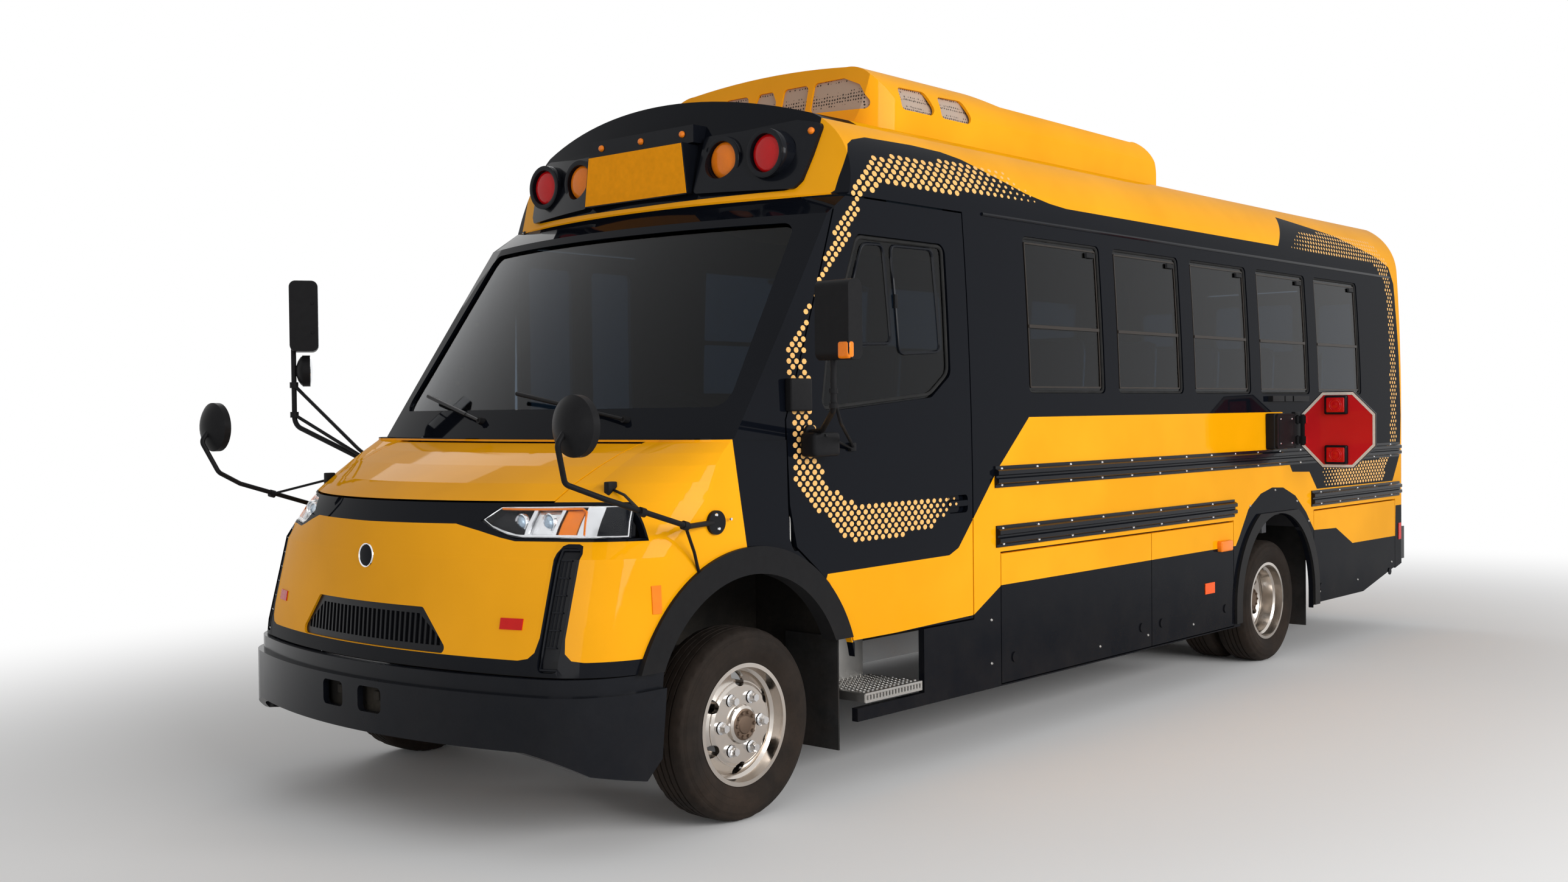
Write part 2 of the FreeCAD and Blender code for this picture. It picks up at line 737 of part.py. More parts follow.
def corner_louvres():
    pieces = []
    sheet = nose_envelope(12.0).cut(nose_envelope(24.0))
    for sign in (1, -1):
        panel = sheet.common(louvre_prism(sign))
        pieces.append(panel)
    return pieces


# Front bumper
BUMPER_TOP_Z = 640.0
BUMPER_BOTTOM_Z = 385.0
BUMPER_LEDGE_Z = 580.0


def bumper_wire(z, inset):
    half = HALF_WIDTH + 2.0 - inset
    return closed_wire([
        V(half, fy(-300), z),
        V(half, fy(-560) + inset, z),
        (V(1060 - inset * 0.7, fy(-765) + inset * 0.8, z), V(900 - inset * 0.4, fy(-885) + inset, z)),
        (V(0, fy(-1035) + inset, z), V(-900 + inset * 0.4, fy(-885) + inset, z)),
        (V(-1060 + inset * 0.7, fy(-765) + inset * 0.8, z), V(-half, fy(-560) + inset, z)),
        V(-half, fy(-300), z),
    ])


def front_bumper():
    def block(z0, z1, inset):
        return extrude(bumper_wire(z0, inset), V(0, 0, z1 - z0))
    face = block(250, BUMPER_LEDGE_Z, 0).cut(block(240, BUMPER_LEDGE_Z - 20, 25)).cut(block(500, 700, 60))
    ledge = block(BUMPER_LEDGE_Z - 20, BUMPER_TOP_Z, 22).cut(block(BUMPER_LEDGE_Z - 30, BUMPER_TOP_Z + 10, 60))
    bar = face.fuse(ledge)
    side = [
        (fy(-1100), 700), (fy(-440), 700), (fy(-455), 600), (fy(-484), 330), (fy(-560), 262),
        (fy(-770), 305), (fy(-900), BUMPER_BOTTOM_Z), (fy(-1100), BUMPER_BOTTOM_Z),
    ]
    bar = bar.common(plate_x(side, -1300.0, 1300.0))
    for sign in (1, -1):
        bar = bar.cut(plate_y([(sign * 50, 460), (sign * 190, 460), (sign * 190, 556), (sign * 50, 556)],
                              fy(-1100), fy(-900), 22.0))
    return bar.removeSplitter()


# Rear end
REAR_DOOR_HALF = 400.0
REAR_DOOR_BOTTOM_Z = 900.0
REAR_DOOR_TOP_Z = 2420.0


def rear_wall():
    region = box(-1300, 1300, REAR_SPLIT_Y, REAR_Y + 50, SKIRT_BOTTOM_Z, ROOF_TOP_Z + 50)
    wall = SHELL.common(region).common(skirt_trim())
    tools = [plate_y([(-REAR_DOOR_HALF, REAR_DOOR_BOTTOM_Z), (REAR_DOOR_HALF, REAR_DOOR_BOTTOM_Z),
                      (REAR_DOOR_HALF, REAR_DOOR_TOP_Z), (-REAR_DOOR_HALF, REAR_DOOR_TOP_Z)],
                     REAR_WALL_Y - 80, REAR_Y + 50, 40.0)]
    for sign in (1, -1):
        tools.append(plate_y(rear_window(sign), REAR_WALL_Y - 80, REAR_Y + 50, 40.0))
    return cut(wall, tools)


def rear_window(sign, grow=0.0):
    x0, x1 = 500.0 - grow, 930.0 + grow
    return [(sign * x0, 1640 - grow), (sign * x1, 1640 - grow), (sign * x1, 2300 + grow), (sign * x0, 2300 + grow)]


REAR_DOOR_WINDOWS = [(1560.0, 2320.0), (1000.0, 1380.0)]


def rear_door_window(z0, z1, grow=0.0):
    x = REAR_DOOR_HALF - 90.0 + grow
    return [(-x, z0 - grow), (x, z0 - grow), (x, z1 + grow), (-x, z1 + grow)]


REAR_HINGE_X = -REAR_DOOR_HALF - 14.0
REAR_HINGE_Y = REAR_WALL_Y + 18.0
REAR_HINGE_ZS = (1120.0, 1660.0, 2200.0)


def rear_door():
    half = REAR_DOOR_HALF - DOOR_GAP
    leaf = plate_y([(-half, REAR_DOOR_BOTTOM_Z + DOOR_GAP), (half, REAR_DOOR_BOTTOM_Z + DOOR_GAP),
                    (half, REAR_DOOR_TOP_Z - DOOR_GAP), (-half, REAR_DOOR_TOP_Z - DOOR_GAP)],
                   REAR_WALL_Y - WALL, REAR_WALL_Y, 34.0)
    windows = [plate_y(rear_door_window(z0, z1), REAR_WALL_Y - 80, REAR_Y, 40.0) for z0, z1 in REAR_DOOR_WINDOWS]
    leaf = cut(leaf, windows)
    straps = []
    for z in REAR_HINGE_ZS:
        straps.append(box(-half, -half + 60, REAR_WALL_Y - 1, REAR_WALL_Y + 12, z - 20, z + 20))
        straps.append(box(REAR_HINGE_X, -half + 1, REAR_WALL_Y + 6, REAR_WALL_Y + 12, z - 20, z + 20))
        straps.append(cylinder(V(REAR_HINGE_X, REAR_HINGE_Y, z - 20), V(REAR_HINGE_X, REAR_HINGE_Y, z + 20), 11.0))
    bores = [cylinder(V(REAR_HINGE_X, REAR_HINGE_Y, z - 30), V(REAR_HINGE_X, REAR_HINGE_Y, z + 30), 5.0 + SEAT_GAP)
             for z in REAR_HINGE_ZS]
    handle = [box(half - 120, half - 30, REAR_WALL_Y, REAR_WALL_Y + 10, 1440, 1500),
              tube([V(half - 105, REAR_WALL_Y + 5, 1470), V(half - 105, REAR_WALL_Y + 50, 1470),
                    V(half - 260, REAR_WALL_Y + 50, 1470)], 9.0, 18.0)]
    return fuse([leaf] + straps + handle).cut(bores)


def rear_hinges():
    """Pins and their leaves on the rear wall, above and below each door strap."""
    pieces = []
    for z in REAR_HINGE_ZS:
        pin = cylinder(V(REAR_HINGE_X, REAR_HINGE_Y, z - 38), V(REAR_HINGE_X, REAR_HINGE_Y, z + 38), 5.0)
        leaves = [box(REAR_HINGE_X - 50, REAR_HINGE_X + 6, REAR_WALL_Y, REAR_HINGE_Y + 4, z + a, z + b)
                  for a, b in ((-38, -21), (21, 38))]
        pieces.append(fuse([pin] + leaves))
    return pieces


def rear_glass():
    y0 = REAR_WALL_Y - GLASS_INSET - GLASS_THICKNESS
    y1 = REAR_WALL_Y - GLASS_INSET
    return [plate_y(rear_window(sign, -SEAT_GAP), y0, y1, 40.0) for sign in (1, -1)]


def rear_door_glass():
    y0 = REAR_WALL_Y - GLASS_INSET - GLASS_THICKNESS
    y1 = REAR_WALL_Y - GLASS_INSET
    return [plate_y(rear_door_window(a, b, -SEAT_GAP), y0, y1, 40.0) for a, b in REAR_DOOR_WINDOWS]


REAR_LAMPS = [
    (560.0, 2560.0, 82.0), (800.0, 2540.0, 82.0),
    (900.0, 1100.0, 88.0), (900.0, 1330.0, 88.0), (900.0, 900.0, 55.0),
]


def rear_lamps():
    lamps = []
    for x, z, radius in REAR_LAMPS:
        for sign in (1, -1):
            start = V(sign * x, REAR_WALL_Y, z)
            lamps.append(cylinder(start, start + V(0, 30, 0), radius))
    return lamps


def rear_bumper():
    section = [(REAR_WALL_Y, 470), (REAR_Y, 470), (REAR_Y, 700), (REAR_WALL_Y, 700)]
    bar = plate_x(section, -HALF_WIDTH + 30, HALF_WIDTH - 30)
    hollow = plate_x([(REAR_WALL_Y - 1, 480), (REAR_Y - 10, 480), (REAR_Y - 10, 690), (REAR_WALL_Y - 1, 690)],
                     -HALF_WIDTH + 40, HALF_WIDTH - 40)
    return bar.cut(hollow)


# Side glass and window frames
def side_glass():
    panes = []
    for sign in (1, -1):
        for prism in window_prisms(sign, -SEAT_GAP):
            panes.append(GLASS_SHEET.common(prism))
    return panes


def window_frames():
    """Sash frames with a divider rail, set in each side opening inside the glass."""
    frames = []
    sheet = body_envelope(GLASS_INSET + GLASS_THICKNESS + SEAT_GAP).cut(body_envelope(WALL - 5.0))
    for sign in (1, -1):
        for i in range(WINDOW_COUNT):
            outer = plate_x(window_outline(i, -SEAT_GAP), sign * 950.0, sign * 1200.0, WINDOW_CORNER)
            upper = plate_x(window_pane(i, WINDOW_DIVIDER_Z + 12, WINDOW_TOP_Z - FRAME_FACE),
                            sign * 950.0, sign * 1200.0, 12.0)
            lower = plate_x(window_pane(i, WINDOW_BOTTOM_Z + FRAME_FACE, WINDOW_DIVIDER_Z - 12),
                            sign * 950.0, sign * 1200.0, 12.0)
            frames.append(sheet.common(outer.cut([upper, lower])))
    return frames


def window_pane(index, z0, z1):
    y0 = WINDOW_FIRST_Y + index * WINDOW_PITCH + FRAME_FACE
    y1 = y0 + WINDOW_WIDTH - 2 * FRAME_FACE
    return [(y0, z0), (y1, z0), (y1, z1), (y0, z1)]


# Rub rails: (lower edge, upper edge, front y, rear y)
RAIL_PROUD = 26.0
RAILS = [
    (1204.0, 1304.0, fy(1657), REAR_SPLIT_Y - 20),
    (929.0, 1029.0, fy(1663), fy(4133)),
    (929.0, 1029.0, ry(440), REAR_SPLIT_Y - 20),
]


def rub_rails():
    rails = []
    for z0, z1, y0, y1 in RAILS:
        skin = HALF_WIDTH if z1 < 1100 else HALF_WIDTH - 2.0
        middle = (z0 + z1) / 2
        profile = [
            V(skin, y0, z0), V(skin + 8, y0, z0), V(skin + 8, y0, z0 + 12), V(skin + RAIL_PROUD, y0, z0 + 22),
            V(skin + RAIL_PROUD, y0, z0 + 40), V(skin + 12, y0, middle - 4), V(skin + 12, y0, middle + 4),
            V(skin + RAIL_PROUD, y0, z1 - 40), V(skin + RAIL_PROUD, y0, z1 - 22), V(skin + 8, y0, z1 - 12),
            V(skin + 8, y0, z1), V(skin, y0, z1),
        ]
        rail = extrude(closed_wire(profile), V(0, y1 - y0, 0))
        rails += both_sides(rail.cut(OUTER) if z1 > 1100 else rail)
    return rails


def arch_ring(y, z, outer, inner, sign, low_z):
    """Flat ring sector on the body's side, down to a lower height."""
    x0 = sign * (HALF_WIDTH - 55.0)
    x1 = sign * (HALF_WIDTH + LIP_PROUD)
    ring = arch_outline_solid(y, z, outer, x0, x1).cut(arch_outline_solid(y, z, inner, x0, x1))
    return ring.common(box(-1400, 1400, y - 900, y + 900, low_z, 2000))


def arch_outline_solid(y, z, radius, x0, x1):
    wire = closed_wire([
        V(x0, y - radius, 0),
        V(x0, y - radius, z),
        (V(x0, y, z + radius), V(x0, y + radius, z)),
        V(x0, y + radius, 0),
    ])
    return extrude(wire, V(x1 - x0, 0, 0))


def arch_lips():
    lips = []
    for sign in (1, -1):
        lips.append(arch_ring(fy(0), FRONT_ARCH_Z, FRONT_LIP_RADIUS, FRONT_OPENING_RADIUS, sign, BUMPER_TOP_Z + 2))
    return lips


def rear_arch_lips():
    lips = []
    for sign in (1, -1):
        x0 = sign * HALF_WIDTH
        x1 = sign * (HALF_WIDTH + LIP_PROUD)
        y, z = ry(-60), REAR_ARCH_Z
        ring = arch_outline_solid(y, z, REAR_LIP_RADIUS, x0, x1)
        ring = ring.cut(arch_outline_solid(y, z, REAR_ARCH_RADIUS, x0, x1))
        lips.append(ring.common(box(-1400, 1400, y - 900, y + 900, REAR_SKIRT_Z + 5, 925)))
    return lips


# Entry door: two leaves hung at the doorway's ends
ENTRY_PLANE_X = HALF_WIDTH - 60.0
ENTRY_LEAF = 34.0
ENTRY_PIN_RADIUS = 5.0
ENTRY_PIN_INSET = 8.0
ENTRY_PIN_REACH = 18.0


def entry_axis_y(which):
    return fy(ENTRY_FRONT) + ENTRY_PIN_REACH if which == "front" else fy(ENTRY_REAR) - ENTRY_PIN_REACH


def entry_leaf(which):
    middle = fy((ENTRY_FRONT + ENTRY_REAR) / 2)
    edge = fy(ENTRY_FRONT) + DOOR_GAP if which == "front" else fy(ENTRY_REAR) - DOOR_GAP
    seam = middle - DOOR_GAP / 2 if which == "front" else middle + DOOR_GAP / 2
    z0, z1 = ENTRY_BOTTOM_Z + DOOR_GAP, ENTRY_TOP_Z - DOOR_GAP
    x0, x1 = -ENTRY_PLANE_X, -ENTRY_PLANE_X + ENTRY_LEAF
    y0, y1 = min(edge, seam), max(edge, seam)
    leaf = box(x0, x1, y0, y1, z0, z1)
    panes = [plate_x([(y0 + 60, a), (y1 - 60, a), (y1 - 60, b), (y0 + 60, b)], x0 - 10, x1 + 10, 30.0)
             for a, b in ((z0 + 90, z0 + 860), (z0 + 960, z1 - 90))]
    axis = entry_axis_y(which)
    pin_x = x0 + ENTRY_PIN_INSET
    pins = cylinder(V(pin_x, axis, z0 - 50), V(pin_x, axis, z1 + 50), ENTRY_PIN_RADIUS + SEAT_GAP)
    return leaf.cut(panes + [pins])


def entry_glass(which):
    middle = fy((ENTRY_FRONT + ENTRY_REAR) / 2)
    edge = fy(ENTRY_FRONT) + DOOR_GAP if which == "front" else fy(ENTRY_REAR) - DOOR_GAP
    seam = middle - DOOR_GAP / 2 if which == "front" else middle + DOOR_GAP / 2
    z0, z1 = ENTRY_BOTTOM_Z + DOOR_GAP, ENTRY_TOP_Z - DOOR_GAP
    y0, y1 = min(edge, seam), max(edge, seam)
    x0 = -ENTRY_PLANE_X + 12
    g = SEAT_GAP
    return [plate_x([(y0 + 60 + g, a + g), (y1 - 60 - g, a + g), (y1 - 60 - g, b - g), (y0 + 60 + g, b - g)],
                    x0, x0 + 6, 30.0) for a, b in ((z0 + 90, z0 + 860), (z0 + 960, z1 - 90))]


def entry_pins():
    """Upright pins at the ends of the doorway, top and bottom."""
    pins = []
    for which in ("front", "rear"):
        axis = entry_axis_y(which)
        x = -ENTRY_PLANE_X + ENTRY_PIN_INSET
        for z0, z1 in ((ENTRY_BOTTOM_Z, ENTRY_BOTTOM_Z + 50), (ENTRY_TOP_Z - 50, ENTRY_TOP_Z)):
            pins.append(cylinder(V(x, axis, z0), V(x, axis, z1), ENTRY_PIN_RADIUS))
    return pins


# Chassis
RAIL_X = 430.0
RAIL_BOTTOM_Z = 460.0
RAIL_TOP_Z = 650.0
RAIL_FLANGE = 70.0
RAIL_WEB = 8.0


def chassis_frame():
    """Two channel rails joined by crossmembers."""
    pieces = []
    y0, y1 = fy(-860), REAR_WALL_Y - 60
    for sign in (1, -1):
        web = sign * (RAIL_X + RAIL_FLANGE / 2)
        inner = sign * (RAIL_X - RAIL_FLANGE / 2)
        rail = box(web, inner, y0, y1, RAIL_BOTTOM_Z, RAIL_TOP_Z)
        hollow = box(web - sign * RAIL_WEB, inner - sign, y0 - 1, y1 + 1,
                     RAIL_BOTTOM_Z + RAIL_WEB, RAIL_TOP_Z - RAIL_WEB)
        pieces.append(rail.cut(hollow))
    inside = RAIL_X + RAIL_FLANGE / 2 - RAIL_WEB
    for y in (y0, fy(-250), fy(1400), fy(4050), ry(450), ry(1300), y1 - 60):
        pieces.append(box(-inside, inside, y, y + 60, RAIL_BOTTOM_Z + 30, RAIL_TOP_Z - 40))
    behind_bumper = extrude(bumper_wire(RAIL_BOTTOM_Z, 25), V(0, 0, 120))
    for x in (RAIL_X, -RAIL_X):
        horn = box(x - 35, x + 35, fy(-1040), y0 + 1, RAIL_BOTTOM_Z, BUMPER_LEDGE_Z - 20)
        pieces.append(horn.common(behind_bumper))
    return fuse(pieces)


SPRING_X = 503.0


def leaf_spring(sign, y, base_z):
    """Leaf pack on its axle pad, with hangers on the rail's outer face."""
    pieces = []
    x = sign * SPRING_X
    for i, half in enumerate((620.0, 520.0, 400.0, 270.0)):
        top = base_z + 60 - i * 13
        rise = 60.0 * (half / 620.0) ** 2
        profile = [
            V(x - 32, y - half, top - 13 + rise), (V(x - 32, y, top - 13), V(x - 32, y + half, top - 13 + rise)),
            V(x - 32, y + half, top + rise), (V(x - 32, y, top), V(x - 32, y - half, top + rise)),
        ]
        pieces.append(extrude(closed_wire(profile), V(64, 0, 0)))
    pieces.append(box(x - 34, x + 34, y - 60, y + 60, base_z, base_z + 66))
    web = sign * (RAIL_X + RAIL_FLANGE / 2)
    for end in (-1, 1):
        pieces.append(box(web, x + sign * 25, y + end * 620 - 25, y + end * 620 + 25, base_z + 90, base_z + 150))
    return fuse(pieces)


# Front axle and steering
KINGPIN_X = 900.0
KINGPIN_RADIUS = 18.0
EYE_RADIUS = 45.0
FRONT_WHEEL_X = 990.0
BEAM_TOP_Z = AXLE_Z + 5.0


def front_axle():
    pieces = []
    beam = plate_y([(-KINGPIN_X, 395), (-780, BEAM_TOP_Z), (780, BEAM_TOP_Z), (KINGPIN_X, 395),
                    (KINGPIN_X, 335), (760, 290), (-760, 290), (-KINGPIN_X, 335)], fy(-38), fy(38))
    pieces.append(beam)
    bores = []
    for sign in (1, -1):
        x = sign * KINGPIN_X
        pieces.append(cylinder(V(x, fy(0), 325), V(x, fy(0), 415), EYE_RADIUS))
        bores.append(cylinder(V(x, fy(0), 300), V(x, fy(0), 440), KINGPIN_RADIUS + SEAT_GAP))
    beam = fuse(pieces)
    for sign in (1, -1):
        x = sign * KINGPIN_X
        beam = beam.cut(box(x, x + sign * 100, fy(-100), fy(100), 280, 500).cut(
            cylinder(V(x, fy(0), 280), V(x, fy(0), 500), EYE_RADIUS)))
    return beam.cut(bores).removeSplitter()


def knuckle(sign):
    x = sign * KINGPIN_X
    pieces = [cylinder(V(x, fy(0), 283), V(x, fy(0), 457), KINGPIN_RADIUS)]
    for z0, z1 in ((283, 319), (421, 457)):
        pieces.append(cylinder(V(x, fy(0), z0), V(x, fy(0), z1), EYE_RADIUS - 3))
        pieces.append(box(x, x + sign * 78, fy(-38), fy(38), z0, z1))
    pieces.append(box(x + sign * 52, x + sign * 78, fy(-38), fy(38), 283, 457))
    pieces.append(cylinder(V(x + sign * 70, fy(0), AXLE_Z), V(sign * 1048, fy(0), AXLE_Z), SPINDLE_RADIUS))
    # Steering arm, reaching back and in to the track rod
    pieces.append(plate_z([(x + sign * 20, fy(30)), (x + sign * 60, fy(30)), (x - sign * 20, fy(190)),
                           (x - sign * 60, fy(190))], 285, 303))
    return fuse(pieces)


SPINDLE_RADIUS = 30.0
RIM_RADIUS = 235.0
RIM_HALF = 88.0


TYRE_FACETS = 48
TYRE_SECTION = [(-84, 227), (-84, RIM_RADIUS + SEAT_GAP), (-107.5, 300), (-97, 346), (-68, TYRE_RADIUS),
                (68, TYRE_RADIUS), (97, 346), (107.5, 300), (84, RIM_RADIUS + SEAT_GAP), (84, 227)]


def tyre(x, y):
    """Tyre of flat facets; the bore's flats, and not its corners, are what clear the rim."""
    spread = 1 / math.cos(math.pi / TYRE_FACETS)
    rings = []
    for axial, radial in TYRE_SECTION:
        reach = radial * spread if radial < RIM_RADIUS + 1 else radial
        ring = []
        for i in range(TYRE_FACETS):
            angle = 2 * math.pi * i / TYRE_FACETS
            ring.append(V(x + axial, y + reach * math.cos(angle), AXLE_Z + reach * math.sin(angle)))
        rings.append(ring)
    faces = []
    for a, b in zip(rings, rings[1:] + rings[:1]):
        for i in range(TYRE_FACETS):
            j = (i + 1) % TYRE_FACETS
            faces.append(Part.Face(Part.makePolygon([a[i], a[j], b[j], b[i], a[i]])))
    solid = Part.Solid(Part.makeShell(faces))
    if solid.Volume < 0:
        solid.reverse()
    return solid


def turned(points, x, y):
    """Solid turned around the axle line from (axial, radial) points."""
    wire = closed_wire([V(a, 0, r) for a, r in points])
    solid = Part.Face(wire).revolve(V(0, 0, 0), V(1, 0, 0), 360)
    solid.translate(V(x, y, AXLE_Z))
    return solid


def rim_barrel(x, y):
    bead = RIM_RADIUS - 8.0
    h = RIM_HALF
    return turned([(-h, RIM_RADIUS), (-h + 4, RIM_RADIUS), (-h + 4, bead - SEAT_GAP), (-40, bead - SEAT_GAP),
                   (-32, bead - 17), (32, bead - 17), (40, bead - SEAT_GAP), (h - 4, bead - SEAT_GAP),
                   (h - 4, RIM_RADIUS), (h, RIM_RADIUS), (h, bead - 8), (44, bead - 14), (34, bead - 26),
                   (-34, bead - 26), (-44, bead - 14), (-h, bead - 8)], x, y)


NUT_CIRCLE_RADIUS = 111.125
NUT_COUNT = 6
HAND_HOLE_RADIUS = 27.0
HAND_HOLE_CIRCLE = 172.0


def around(x, y, radius, index, count, phase=0.0):
    angle = math.radians(360.0 * index / count + phase)
    return V(x, y + radius * math.cos(angle), AXLE_Z + radius * math.sin(angle))


def front_wheel(sign):
    """Rim, outboard disc, drum and hub of one front wheel."""
    x, y = sign * FRONT_WHEEL_X, fy(0)
    disc = turned([(sign * a, r) for a, r in ((24, 204), (66, 150), (66, 60), (54, 60), (54, 146), (14, 200))], x, y)
    drum = turned([(sign * a, r) for a, r in ((-38, 165), (58, 165), (58, 60), (44, 60), (44, 152), (-38, 152))], x, y)
    hub = turned([(sign * a, r) for a, r in ((62, 0), (62, 10), (62, 78), (78, 72), (84, 60), (84, 0))], x, y)
    sleeve = ring_x(x, x + sign * 62, y, AXLE_Z, 62, SPINDLE_RADIUS + SEAT_GAP)
    body = fuse([rim_barrel(x, y), disc, drum, hub, sleeve])
    holes = []
    for i in range(NUT_COUNT):
        point = around(x, y, HAND_HOLE_CIRCLE, i, NUT_COUNT, 30.0)
        holes.append(cylinder(point + V(sign * 10, 0, 0), point + V(sign * 80, 0, 0), HAND_HOLE_RADIUS))
    body = body.cut(holes)
    nuts = []
    for i in range(NUT_COUNT):
        point = around(x, y, NUT_CIRCLE_RADIUS, i, NUT_COUNT)
        nuts.append(cylinder(point + V(sign * 60, 0, 0), point + V(sign * 88, 0, 0), 16.0))
    return fuse([body] + nuts)


REAR_OUTER_X = 936.0
DUAL_SPACING = 240.0
REAR_SPINDLE_RADIUS = 45.0
AXLE_TUBE_RADIUS = 62.0


def rear_wheel(sign):
    """Twin rims back to back on one drum and hub."""
    y = ry(0)
    outer = sign * REAR_OUTER_X
    inner = sign * (REAR_OUTER_X - DUAL_SPACING)
    middle = (outer + inner) / 2
    pieces = [rim_barrel(outer, y), rim_barrel(inner, y)]
    disc = [(0, 60), (14, 60), (14, 140), (66, 205), (66, 222), (48, 222), (0, 152)]
    pieces.append(turned([(sign * a, r) for a, r in disc], middle, y))
    disc_in = [(0, 60), (-14, 60), (-14, 140), (-66, 205), (-66, 222), (-48, 222), (0, 152)]
    pieces.append(turned([(sign * a, r) for a, r in disc_in], middle, y))
    drum = [(-150, 165), (-6, 165), (-6, 60), (-20, 60), (-20, 152), (-150, 152)]
    pieces.append(turned([(sign * a, r) for a, r in drum], middle, y))
    pieces.append(ring_x(middle - sign * 60, middle + sign * 104, y, AXLE_Z, 72, REAR_SPINDLE_RADIUS + SEAT_GAP))
    pieces.append(turned([(sign * a, r) for a, r in ((100, 0), (100, 72), (112, 66), (112, 0))], middle, y))
    body = fuse(pieces)
    holes = []
    for i in range(NUT_COUNT):
        point = around(middle, y, HAND_HOLE_CIRCLE, i, NUT_COUNT, 30.0)
        holes.append(cylinder(point - V(sign * 90, 0, 0), point + V(sign * 90, 0, 0), HAND_HOLE_RADIUS - 2))
    body = body.cut(holes)
    nuts = []
    for i in range(NUT_COUNT):
        point = around(middle, y, NUT_CIRCLE_RADIUS, i, NUT_COUNT)
        nuts.append(cylinder(point + V(sign * 10, 0, 0), point + V(sign * 42, 0, 0), 16.0))
    return fuse([body] + nuts)


def rear_axle():
    """Axle tube with its final drive, and the spindles that carry the wheels."""
    middle = REAR_OUTER_X - DUAL_SPACING / 2
    end = middle + 96.0
    pieces = [
        cylinder(V(-end, ry(0), AXLE_Z), V(end, ry(0), AXLE_Z), REAR_SPINDLE_RADIUS),
        cylinder(V(-540, ry(0), AXLE_Z), V(540, ry(0), AXLE_Z), AXLE_TUBE_RADIUS),
        cylinder(V(-85, ry(0), AXLE_Z), V(85, ry(0), AXLE_Z), 165.0),
        cylinder(V(0, ry(0), AXLE_Z), V(0, ry(-200), AXLE_Z), 75.0),
        cylinder(V(0, ry(-200), AXLE_Z), V(0, ry(-520), AXLE_Z), 150.0),
    ]
    return fuse(pieces)


def battery_pack():
    return box(-380, 380, fy(1460), fy(4050), 330, 600)


def mudflaps():
    flaps = []
    for sign in (1, -1):
        flaps.append(box(sign * 780, sign * 1064, fy(577), fy(585), 170, 640))
        flaps.append(box(sign * 600, sign * 1055, ry(500), ry(508), 165, 800))
    return flaps


# Floor and entry
FLOOR_THICKNESS = 60.0
INNER_HALF = HALF_WIDTH - WALL
WELL_X = -560.0
SILL_HEIGHT = 100.0
SILL_PITCH = 610.0


def floor():
    """Raised saloon floor on cross sills, with the lower cab floor ahead of it."""
    half = INNER_HALF
    end = REAR_WALL_Y - WALL
    corner = REAR_CORNER_RADIUS * 2 / 3
    slab = plate_z([(-half, fy(1100)), (half, fy(1100)), (half, end - corner), (half - corner, end),
                    (corner - half, end), (-half, end - corner)], FLOOR_TOP_Z - FLOOR_THICKNESS, FLOOR_TOP_Z)
    riser = box(-half, half, fy(1100), fy(1125), CAB_FLOOR_Z - 40, FLOOR_TOP_Z)
    cab = box(-half, half, fy(600), fy(1125), CAB_FLOOR_Z - 40, CAB_FLOOR_Z)
    tunnel = box(-590, 590, fy(150), fy(600), CAB_FLOOR_Z - 40, CAB_FLOOR_Z)
    sills = []
    y = fy(1560)
    low = FLOOR_TOP_Z - FLOOR_THICKNESS - SILL_HEIGHT
    while y < REAR_WALL_Y - 200:
        sills.append(box(-half, half, y, y + 60, low, FLOOR_TOP_Z - FLOOR_THICKNESS))
        y += SILL_PITCH
    sills.append(box(-half, half, ry(474), ry(534), low, FLOOR_TOP_Z - FLOOR_THICKNESS))
    for x in (RAIL_X, -RAIL_X):
        sills.append(box(x - 30, x + 30, fy(1125), REAR_WALL_Y - WALL - 40, RAIL_TOP_Z, FLOOR_TOP_Z - FLOOR_THICKNESS))
    body = fuse([slab, riser, cab, tunnel] + sills)
    well = box(-half - 1, WELL_X, fy(ENTRY_FRONT) - 40, fy(ENTRY_REAR), 200, FLOOR_TOP_Z + 1)
    room = [
        box(half - DOOR_GAP, half + 1, fy(150), fy(1490), CAB_FLOOR_Z - 41, FLOOR_TOP_Z + 1),
        box(-REAR_DOOR_HALF - 10, REAR_DOOR_HALF + 10, REAR_WALL_Y - WALL - DOOR_GAP, REAR_WALL_Y,
            FLOOR_TOP_Z - FLOOR_THICKNESS - 1, FLOOR_TOP_Z + 1),
    ]
    return fuse([cut(body, [well] + room), stepwell()])


STEP_PLATE = 20.0


def stepwell():
    """Two treads and their risers inside the entry door."""
    outer = -ENTRY_PLANE_X + ENTRY_LEAF + 8.0
    y0, y1 = fy(ENTRY_FRONT) - 40, fy(ENTRY_REAR)
    t = STEP_PLATE
    low, mid, top = ENTRY_BOTTOM_Z, 540.0, CAB_FLOOR_Z
    profile = [
        (outer, low - t), (outer, low), (-780, low), (-780, mid), (WELL_X - t, mid), (WELL_X - t, top),
        (WELL_X, top), (WELL_X, mid - t), (-780 + t, mid - t), (-780 + t, low - t),
    ]
    steps = plate_y(profile, y0, y1)
    rear = box(outer, WELL_X, y1 - t, y1, low - t, FLOOR_TOP_Z)
    front = box(outer, WELL_X, y0, y0 + t, low - t, CAB_FLOOR_Z)
    side = box(WELL_X - t, WELL_X, fy(1100), y1, CAB_FLOOR_Z - 1, FLOOR_TOP_Z)
    return fuse([steps, rear, front, side])


